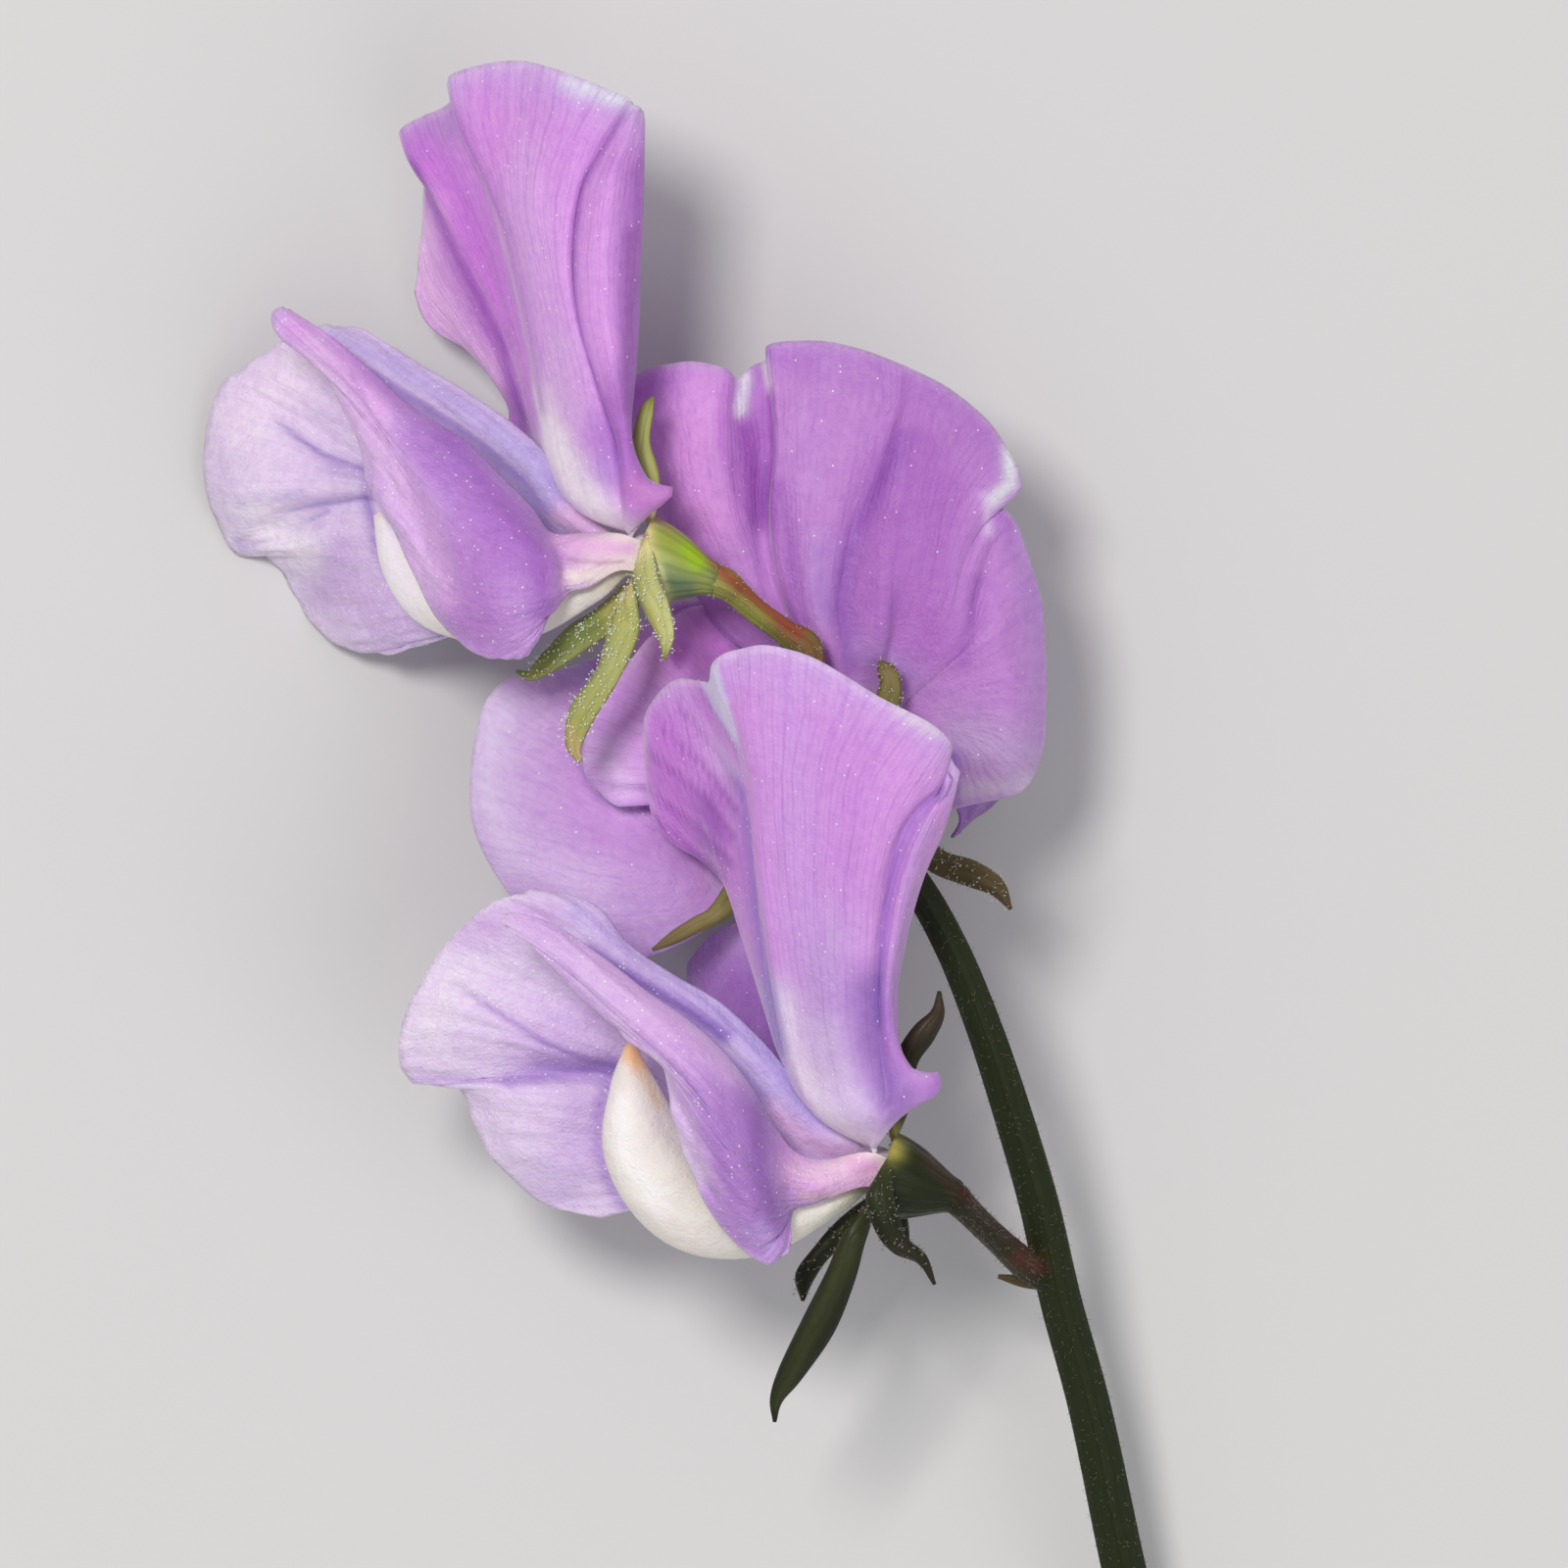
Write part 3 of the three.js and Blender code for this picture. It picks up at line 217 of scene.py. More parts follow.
TOP_STANDARD = [
    # Margin rolled under, silhouette, ridge, crease and its two sides
    [(-8.8, 17.2, 3), (-7.7, 18.3, 2.6), (-9.6, 20.3, 2.2), (-10.2, 23, 2.2), (-10, 28, 1.6),
     (-9.9, 33, 1.6), (-9.8, 38, 2), (-9.5, 42, 3.4)],
    [(-8.6, 17.4, 3.4), (-7.1, 18.7, 3.5), (-8.4, 19, 3.3), (-9.15, 20, 3.2), (-9.7, 21.4, 3.1),
     (-9.85, 23, 3), (-9.5, 27, 2.8), (-9.3, 32, 2.8), (-9.1, 37, 3), (-9, 41.5, 4.2),
     (-9.1, 42.7, 4.8)],
    [(-9.2, 17.3, 3.9), (-9, 18.6, 4.2), (-9.8, 20.4, 4.3), (-10.2, 23.4, 4.6), (-10.7, 27, 5),
     (-11.2, 31, 5.2), (-11.3, 35, 5.4), (-10.8, 38.5, 5.6), (-9.8, 41.5, 5.6), (-9.25, 43.15, 5.6)],
    [(-9.8, 17.3, 3.9), (-10, 19, 4.3), (-10.3, 21.5, 4.4), (-11.2, 24.2, 4.5), (-12.2, 27.4, 4.7),
     (-12.85, 30.5, 4.8), (-12.95, 34, 5), (-12.4, 37.8, 5.2), (-11, 40.6, 5.4), (-9.5, 43.3, 5.8)],
    [(-10.2, 17.3, 3.6), (-10.4, 19.2, 3.9), (-10.7, 22, 3.7), (-11.8, 25.3, 3.8), (-12.75, 28, 3.9),
     (-13.3, 31, 3.9), (-13.4, 34.5, 4.1), (-12.9, 37.9, 4.4), (-11.6, 40.4, 4.8), (-9.7, 43.45, 5.7)],
    [(-10.7, 17.3, 3.6), (-11.1, 19.3, 4), (-11.4, 22.4, 4.2), (-12.4, 26, 4.5), (-13.4, 29.5, 4.6),
     (-13.95, 33, 4.8), (-13.7, 37, 5.2), (-12.6, 40.6, 5.5), (-10.6, 43.95, 6)],
    [(-11.6, 17.3, 3), (-12.3, 19.6, 3.5), (-12.9, 23, 3.8), (-14, 28, 4.1), (-15, 33, 4.4),
     (-15.6, 38, 4.9), (-14.6, 42.5, 5.5), (-13.8, 45.35, 5.6)],
    [(-12.5, 17.4, 2), (-13.4, 20, 2.4), (-14.1, 23.4, 2.7), (-15.1, 28, 2.9), (-16.2, 33, 3.2),
     (-17.2, 38, 3.7), (-17.2, 42.5, 4.2), (-17.1, 46.2, 4.4)],
    # Beside the midrib fold, on it and just past it
    [(-13.1, 17.6, 1.2), (-14.1, 20.2, 1.5), (-14.8, 23.6, 1.7), (-15.8, 28, 1.7), (-17, 33, 1.8),
     (-18.6, 38, 2.2), (-20.2, 42, 2.8), (-20.6, 45.6, 3)],
    [(-13.4, 17.9, 0.5), (-14.5, 20.3, 0.7), (-15.15, 23.4, 0.8), (-16.1, 28, 0.8), (-17.3, 33, 0.8),
     (-18.9, 38.2, 1.2), (-20.7, 42, 1.9), (-21.5, 44.7, 2.2)],
    [(-13.6, 18.1, -0.3), (-14.7, 20.4, -0.5), (-15.4, 23.4, -0.7), (-16.35, 28, -0.9),
     (-17.6, 33, -0.9), (-19.2, 38.2, -0.6), (-21, 41.6, 0), (-21.65, 43.5, 0.2)],
    # Far half: dark strip, its edge, the hollow under the edge, and the pale lobe
    [(-13.7, 18.4, -1), (-14.9, 20.6, -1.4), (-15.8, 23.6, -1.9), (-17.1, 28, -2.2), (-18.8, 33, -2.3),
     (-20.8, 37.8, -2.1), (-22.4, 41, -1.7), (-22.9, 42.8, -1.6)],
    [(-13.7, 18.6, -1.8), (-15.1, 20.8, -2.3), (-16.1, 23.2, -2.9), (-17.5, 27.9, -3.3),
     (-20, 33.1, -3.4), (-22.4, 37.7, -3.2), (-23.8, 39.9, -3), (-24.4, 41.75, -2.8)],
    [(-13.7, 18.8, -2.6), (-15.2, 21, -3.3), (-16.2, 23.4, -4.1), (-17, 27.6, -4.7),
     (-18.9, 32.4, -5), (-21, 36.4, -4.9), (-22.4, 38.8, -4.6), (-22.9, 40, -4.4)],
    [(-13.7, 19, -3.4), (-15.4, 21.2, -4.4), (-16.8, 23.8, -5.4), (-18.6, 27.4, -6.6),
     (-20.8, 31.2, -7.4), (-22.4, 34.4, -7.8), (-23.2, 36.4, -7.6)],
    [(-13.8, 19.1, -4), (-15.6, 21.3, -5.2), (-17.2, 23.9, -6.4), (-19.2, 26.9, -7.6),
     (-21.4, 29.2, -8.6), (-23, 31, -9.2), (-23.8, 33, -9.2)],
    [(-13.9, 19, -4.4), (-15.9, 21.2, -5.8), (-17.5, 23, -7), (-17.45, 24.3, -7.4), (-18.6, 25.8, -7.9),
     (-20.3, 27.7, -8.6), (-22.2, 28.8, -9.4), (-23.2, 29.9, -9.9), (-23.7, 31.5, -10)],
]

FRONT_STANDARD = [
    [(7, -21.2, 3), (8.8, -19.6, 2.8), (8.6, -18.9, 2.4), (7.9, -17.9, 2.2), (7.3, -16.6, 2),
     (7.2, -14, 1.9), (7.3, -12, 1.8), (8.2, -8, 1.6), (9.4, -4, 1.8), (10.2, -1.4, 2.6)],
    [(6.9, -21.55, 3.6), (8.7, -20.2, 3.6), (9.5, -19.8, 3.4), (9.95, -19, 3.3), (9.55, -18.35, 3.4),
     (9.05, -18.75, 3.6), (8.6, -18.85, 3.5), (7.7, -17.8, 3.3), (7.1, -16.2, 3.2), (6.96, -13.8, 3.2),
     (7.3, -11.7, 3.2), (7.8, -9.4, 3.1), (8.4, -7.3, 3.1), (9.1, -5.3, 3.2), (9.8, -3.4, 3.5),
     (10.35, -1.4, 4.1), (10.7, 0.4, 4.6)],
    [(6.4, -21.3, 4.2), (7.5, -20.1, 4.2), (7.7, -19.1, 4.1), (7.2, -17.8, 4), (6.7, -15.9, 4.2),
     (6.6, -13.5, 4.6), (6.85, -11, 4.9), (7.3, -8.5, 5.1), (7.9, -6, 5.3), (8.5, -4, 5.4),
     (9.4, -1.9, 5.4), (10.4, 0.2, 5.4), (10.8, 1.4, 5.5)],
    [(6, -21.3, 4.1), (6.6, -19.8, 3.7), (6.3, -17.6, 3.5), (6.1, -15, 3.8), (6.1, -12.4, 4.1),
     (6.3, -9.8, 4.3), (6.7, -7, 4.4), (7.2, -4.9, 4.6), (7.8, -3.1, 4.9), (8.8, -1.6, 5.2),
     (10.1, -0.4, 5.4), (10.75, 2, 5.9)],
    [(5.6, -21.2, 4.2), (6, -19.6, 3.8), (5.7, -17.4, 3.7), (5.5, -14.8, 4.2), (5.5, -12, 4.7),
     (5.7, -9, 5.1), (6.1, -6, 5.4), (6.6, -3.9, 5.6), (7.3, -2, 5.8), (8.6, 0, 6.1), (10.4, 2.9, 6.5)],
    [(5, -21.2, 4), (5.2, -19.2, 3.7), (4.9, -16.8, 3.9), (4.6, -13.6, 4.5), (4.5, -10, 5),
     (4.8, -5.6, 5.5), (5.6, -1.4, 6), (7.4, 2.4, 6.5), (9.1, 4, 6.7)],
    [(4.2, -21.2, 3.4), (4, -18.8, 3.6), (3.4, -15.6, 3.9), (3, -11.6, 4.2), (2.9, -7, 4.6),
     (3.2, -2.4, 5), (4.2, 1.8, 5.7), (6, 5.6, 6.2)],
    [(3.4, -21.3, 2.6), (2.8, -18.6, 2.7), (2.1, -15, 2.8), (1.5, -10.6, 3.1), (1.2, -5.6, 3.4),
     (1.2, -0.4, 3.8), (1.6, 4, 4.4), (2.1, 7.85, 5)],
    [(2.8, -21.3, 1.8), (1.9, -18.6, 1.8), (1, -14.8, 1.8), (0.2, -10.2, 2), (-0.4, -5, 2.1),
     (-0.8, 0, 2.5), (-1, 4.6, 3.3), (-1, 8.8, 4)],
    [(2.3, -21.2, 1.1), (1.1, -18.6, 1.1), (0.2, -15.2, 1.1), (-0.7, -10.2, 1.2), (-1.4, -5, 1.2),
     (-1.9, -0.2, 1.5), (-2.6, 3.8, 2.3), (-3, 8.5, 3)],
    [(2, -20.9, 0.6), (0.8, -18.6, 0.5), (-0.05, -15.2, 0.5), (-1, -10.2, 0.4), (-1.75, -5, 0.4),
     (-2.25, 0.2, 0.7), (-3.1, 3.6, 1.4), (-4.1, 6.6, 2.1), (-4.24, 8, 2.3)],
    [(1.7, -20.6, 0), (0.5, -18.3, -0.3), (-0.35, -15.2, -0.6), (-1.3, -10.2, -0.9), (-2.05, -5, -1),
     (-2.6, 0.2, -0.8), (-3.4, 3.6, -0.2), (-4.5, 6.65, 0.3)],
    [(1.5, -20.3, -0.6), (0.2, -18, -1.1), (-0.7, -15, -1.7), (-1.8, -10.2, -2.2), (-2.7, -5, -2.5),
     (-3.5, 0, -2.4), (-4.6, 3.8, -1.8), (-5.6, 6.6, -1.4)],
    [(1.4, -20, -1.3), (0, -17.6, -2), (-1, -14.6, -2.7), (-2.2, -10, -3.4), (-3.4, -5.2, -3.8),
     (-4.8, -0.6, -3.8), (-6.2, 3.4, -3.2), (-7.2, 6.5, -2.8)],
    [(1.3, -19.7, -2), (-0.2, -17.2, -3), (-1.2, -14, -3.9), (-2.5, -9.8, -4.9), (-3.9, -5.6, -5.5),
     (-5.9, -1.2, -5.6), (-7.9, 2.4, -5), (-8.6, 4.9, -4.6)],
    [(1.2, -19.4, -2.6), (-0.3, -16.8, -3.8), (-1.4, -13.4, -5), (-2.6, -9.6, -6.2), (-4, -6.2, -7),
     (-6.2, -3, -7.4), (-8, -0.2, -7), (-9, 2.4, -6.4)],
    [(1, -19.1, -3.2), (-0.4, -16.5, -4.6), (-1.6, -13, -6), (-2.6, -9.6, -7.2), (-3.6, -6.8, -8),
     (-5.2, -5, -8.6), (-7, -3.9, -8.8), (-8.3, -2.4, -8.6), (-8.9, -0.6, -8.2)],
]

RIGHT_STANDARD = [
    [(10.4, 2.2, -1.7), (10, 0.3, -2.3), (9.9, -1.8, -3)],
    [(11.3, 2, -1.1), (11.7, 0.6, -1.8), (12.1, -1.25, -2.9)],
    [(12.4, 2.6, -0.7), (13.8, 1, -1.2), (15.1, -0.6, -2.8)],
    [(13, 3.6, -0.4), (15, 2.4, -0.9), (16.45, 1.6, -2.6)],
    [(13.2, 5.4, 0), (15.2, 5.2, -0.4), (16.85, 4.8, -2.2)],
    [(13, 7.6, 0.5), (15.2, 8.6, 0), (16.9, 8.8, -1.8)],
    [(12.6, 9.2, 0.9), (14.6, 11.2, 0.5), (16.35, 12.4, -1.4)],
    [(11.4, 8.6, 0.3), (12.5, 12, 0.3), (13.7, 15, 0.1), (15, 16.2, -0.9)],
    [(10.8, 9.4, 0.8), (12, 13.2, 0.9), (13, 15.8, 0.5), (14.1, 17.5, -0.4)],
    [(10.4, 10, 0.8), (11.4, 13.8, 0.9), (12.6, 16.4, 0.4), (13.3, 17.6, -0.2)],
    [(10.2, 10.4, 0.8), (11.3, 14.4, 0.9), (12.7, 17.2, 0.5), (13.9, 18.1, 0), (14.75, 18.6, -0.5)],
    [(9.9, 10.8, 0.8), (11.2, 15.4, 1), (13, 18.8, 0.6), (15.05, 19.5, -0.6)],
    [(9.6, 11.2, 0.8), (10.8, 16, 1), (12.6, 19.8, 0.6), (14.6, 20.9, -0.4)],
    [(8.8, 12, 0.9), (10, 18, 1.3), (11.6, 22, 0.9), (13.1, 23, 0)],
    [(7.6, 12.6, 1.1), (8.6, 18.6, 1.6), (9.6, 23.4, 1.2), (10.6, 25.1, 0.4)],
    [(6.2, 10, 1.2), (6.2, 14.4, 1.4), (6.9, 19.4, 1.6), (7.9, 24, 1.2), (8.4, 26.4, 0.4)],
    [(4.4, 7.6, 0.5), (3.9, 11, 0.5), (4.4, 15.6, 0.5), (5.9, 20.4, 0.7), (7, 24, 0.7), (7.2, 27, 0)],
    [(3.2, 8, 0.9), (2.9, 12, 0.9), (3.4, 17, 0.9), (4.4, 22, 0.9), (5, 27.8, 0)],
    [(2.4, 9, 0.9), (1.6, 14, 0.9), (1.6, 19.6, 0.7), (2, 24.6, 0.4), (2.4, 28.3, -0.6)],
    [(1.8, 9.4, 0.5), (0.7, 14, 0.5), (0.3, 19, 0.4), (0.2, 24, 0.1), (0.2, 28.25, -0.9)],
    [(1.2, 9.6, 0.2), (-0.2, 13.6, 0.2), (-0.7, 18, 0.2), (-0.5, 22.6, -0.1), (-0.9, 28, -1.2)],
    [(1, 9.6, -0.7), (-0.5, 13.4, -1), (-0.9, 17.4, -1.7), (-0.4, 22, -2.3), (-1, 27.2, -2.9)],
    [(0.7, 9.4, -0.9), (-0.9, 13, -1.3), (-1.7, 17.2, -2), (-1.6, 21.8, -2.5), (-1.9, 26.8, -3)],
    [(0.3, 9.2, -0.9), (-1.4, 12.8, -1), (-2.6, 17, -1.1), (-2.8, 21.6, -1.6), (-2.85, 26, -2.4)],
    [(0, 9, -0.8), (-1.8, 12.6, -0.7), (-3.4, 17, -0.6), (-4, 21.8, -0.9), (-3.9, 26.65, -2)],
    [(-0.4, 8.8, -0.8), (-2.6, 12, -0.8), (-4.8, 16.6, -0.8), (-6, 21.4, -1.2), (-6.6, 26.9, -2.6)],
    [(-0.8, 8.4, -1.4), (-3.6, 11.2, -1.8), (-6.4, 15.8, -2.2), (-8.2, 20.6, -3), (-9.8, 25.6, -4.6)],
    [(-1.2, 7.6, -2.2), (-4, 9.8, -3), (-6.6, 13.8, -4.2), (-9.4, 20.2, -6.6)],
]

# Wings that face up. Past the claw they stay low, then the lobe swells up steeply.
TOP_WING_NEAR = [
    [(-12.4, 15.9, 1.2), (-14.9, 15.9, 1.6), (-16.2, 17.6, 2), (-18.2, 19.6, 2.4), (-20.6, 22, 2.5),
     (-23.6, 23.9, 2.3), (-26, 26, 2), (-28.8, 28.5, 1.9), (-31.6, 30.4, 1.8)],
    [(-12.5, 15.6, 1.8), (-14.6, 15.3, 2.2), (-15.9, 16.6, 3.4), (-18.2, 18.8, 4.2), (-20.7, 21, 4.4),
     (-23.6, 23, 4.2), (-26.2, 25.2, 3.6), (-29.2, 27.9, 2.8), (-32.3, 30.4, 2.4)],
    [(-12.6, 15.2, 2.1), (-14.4, 14.9, 2.5), (-15.5, 15.6, 4.1), (-17.8, 17.6, 5.2), (-20.8, 19.6, 5.6),
     (-23.8, 21.8, 5.4), (-26.4, 24.2, 4.6), (-29.6, 27.2, 3.4), (-32.8, 29.9, 2.8)],
    [(-12.7, 14.7, 2.3), (-14.3, 14.4, 2.6), (-15.1, 14.8, 4.3), (-17, 16.2, 5.8), (-20, 17.8, 6.5),
     (-22.8, 19.8, 6.3), (-25.2, 22.2, 5.4), (-27.6, 24.8, 4.9), (-30, 27, 3.9), (-32.2, 28.6, 3)],
    [(-12.7, 14.3, 2.4), (-14.2, 14, 2.7), (-14.8, 14.2, 4.3), (-16.6, 15, 6), (-19.4, 16, 7),
     (-22, 17.8, 6.9), (-24, 19.9, 5.8), (-25.8, 22.2, 5.4), (-27.8, 24.4, 4.7), (-29.4, 26.4, 3.6)],
    [(-12.7, 14, 2.4), (-14.2, 13.7, 2.8), (-14.8, 13.8, 4.4), (-16.4, 14.2, 6), (-19, 14.8, 7.1),
     (-21.4, 15.9, 7), (-23.2, 17.7, 5.8), (-24.8, 19.4, 5.7), (-26.3, 20.9, 5.3), (-27.5, 22.4, 4.4)],
    [(-12.7, 13.7, 2.4), (-14.2, 13.4, 2.8), (-14.7, 13.3, 4.3), (-16.2, 13.4, 5.9), (-18.6, 13.5, 7),
     (-20.8, 14.2, 6.9), (-22.6, 15.6, 5.8), (-24.2, 17, 5.8), (-25.6, 18.2, 5.6), (-26.6, 19.2, 4.6)],
    [(-12.7, 13.4, 2.3), (-14.1, 13, 2.8), (-14.7, 12.8, 4.2), (-16.1, 12.6, 5.8), (-18.2, 12.4, 6.8),
     (-20.2, 12.8, 6.7), (-22, 13.8, 5.8), (-23.4, 15, 5.8), (-24.6, 16.2, 5.4), (-25.3, 16.9, 4.6)],
    [(-12.6, 13.1, 2.2), (-14, 12.6, 2.8), (-14.6, 12.2, 4.1), (-16, 11.8, 5.5), (-17.8, 11.3, 6.4),
     (-19.6, 11.3, 6.3), (-21.2, 11.9, 5.7), (-22.5, 12.7, 5.3), (-23.6, 13.6, 4.6)],
    [(-12.6, 12.9, 2.1), (-13.9, 12.4, 2.7), (-14.7, 11.6, 3.8), (-15.9, 11, 5), (-17.4, 10.3, 5.7),
     (-19, 10, 5.7), (-20.6, 10, 5.2), (-22.2, 10.5, 4.2)],
    [(-12.5, 12.7, 2), (-13.8, 12.3, 2.6), (-14.8, 11, 3.6), (-15.8, 10.2, 4.6), (-17, 9.4, 5),
     (-18.2, 8.8, 4.8), (-19.6, 8.35, 4)],
    [(-12.5, 12.65, 1.95), (-13.8, 12.4, 2.5), (-14.7, 11.2, 3.3), (-15.5, 10.2, 4.2), (-16.4, 9.2, 4.5),
     (-17.6, 8.05, 3.8)],
    [(-12.5, 12.6, 1.9), (-13.8, 12.5, 2.4), (-14.6, 11.6, 3), (-15.2, 10.5, 3.8), (-15.7, 9.4, 4),
     (-16.4, 8.15, 3.6)],
    [(-12.5, 12.55, 1.9), (-13.8, 12.6, 2.3), (-14.5, 12, 2.7), (-15, 11.2, 3.1), (-15.4, 10.2, 3.4),
     (-15.7, 9.1, 3.3)],
]
FRONT_WING_NEAR = [
    [(2.6, -24.1, 1), (0.6, -23.5, 1.5), (-0.6, -22, 2), (-1.7, -20.1, 2.4), (-3.2, -17.9, 2.8),
     (-5.6, -15.5, 3), (-8.9, -13.2, 3), (-12, -10.8, 2.8), (-14.8, -8.95, 2.5), (-17.4, -8.2, 2.3)],
    [(2.5, -24.4, 1.6), (0.5, -24, 2.1), (-0.8, -22.6, 3.4), (-2, -20.6, 4.2), (-3.6, -18.5, 4.6),
     (-6, -16.2, 4.7), (-9.2, -13.9, 4.4), (-12.4, -11.4, 3.8), (-15.2, -9.4, 3), (-18, -8.5, 2.6)],
    [(2.4, -24.8, 2), (0.5, -24.5, 2.5), (-0.9, -23.4, 4.3), (-2.3, -21.4, 5.2), (-4, -19.4, 5.6),
     (-6.4, -17.2, 5.6), (-9.4, -14.9, 4.8), (-12.4, -12.6, 4.3), (-15.2, -10.4, 3.6), (-17.5, -9.2, 3)],
    [(2.4, -25.1, 2.2), (0.4, -24.9, 2.7), (-0.8, -24.1, 4.5), (-2.4, -22.4, 5.8), (-4, -20.6, 6.4),
     (-6.2, -18.4, 6.2), (-8.8, -16.2, 5.2), (-11.4, -14, 5), (-13.4, -12.4, 4.4), (-15, -11.35, 3.6)],
    [(2.4, -25.3, 2.3), (0.4, -25.3, 2.8), (-0.7, -24.7, 4.6), (-2.2, -23.4, 6), (-3.8, -21.8, 6.8),
     (-5.8, -19.6, 6.4), (-8, -17.4, 5.6), (-10.4, -15.4, 5), (-12.2, -14.2, 4.2)],
    [(2.4, -25.5, 2.3), (0.4, -25.6, 2.8), (-0.6, -25.3, 4.6), (-1.9, -24.4, 6), (-3.4, -23, 6.9),
     (-5.2, -20.8, 6.6), (-7, -18.6, 5.9), (-8.6, -17, 5.3), (-9.8, -16.2, 4.6)],
    [(2.4, -25.7, 2.3), (0.4, -25.9, 2.8), (-0.5, -25.8, 4.5), (-1.7, -25.2, 5.9), (-3, -24, 6.8),
     (-4.6, -22.2, 6.6), (-6, -20.2, 6.2), (-7, -18.6, 5.6), (-7.9, -17.3, 4.8)],
    [(2.3, -25.9, 2.2), (0.4, -26.2, 2.8), (-0.4, -26.3, 4.3), (-1.5, -26, 5.7), (-2.7, -25.2, 6.5),
     (-4.1, -23.8, 6.4), (-5.3, -22.4, 6.1), (-6.3, -21.4, 5.5), (-7.2, -20.6, 4.8)],
    [(2.3, -26.1, 2.1), (0.4, -26.5, 2.7), (-0.3, -26.8, 4.1), (-1.2, -26.8, 5.4), (-2.4, -26.4, 6.2),
     (-3.6, -25.6, 6), (-5, -24.6, 5.6), (-6.35, -23.6, 4.7)],
    [(2.2, -26.3, 2), (0.4, -26.8, 2.6), (-0.2, -27.4, 3.9), (-1, -27.7, 5), (-2.2, -27.7, 5.6),
     (-3.4, -27.4, 5.2), (-4.8, -27, 4.3)],
    [(2.1, -26.5, 1.9), (0.5, -27, 2.4), (-0.1, -28, 3.6), (-0.9, -28.8, 4.4), (-1.8, -29.2, 4.4),
     (-2.8, -29.5, 3.8)],
    [(2.05, -26.55, 1.85), (0.45, -27.05, 2.3), (-0.2, -28.2, 3.5), (-0.9, -29.3, 4.1),
     (-1.8, -30.3, 3.8)],
    [(2, -26.6, 1.8), (0.5, -27.05, 2.15), (0, -28.2, 3.3), (-0.4, -29.4, 4), (-1, -30.6, 3.7)],
    [(2, -26.6, 1.75), (0.6, -27.05, 2.05), (0.25, -28.2, 3), (0.1, -29.3, 3.7), (-0.3, -30.35, 3.6)],
    [(2, -26.65, 1.7), (0.7, -27.05, 1.95), (0.45, -28, 2.7), (0.4, -28.8, 3.2), (0.15, -29.7, 3.4)],
]

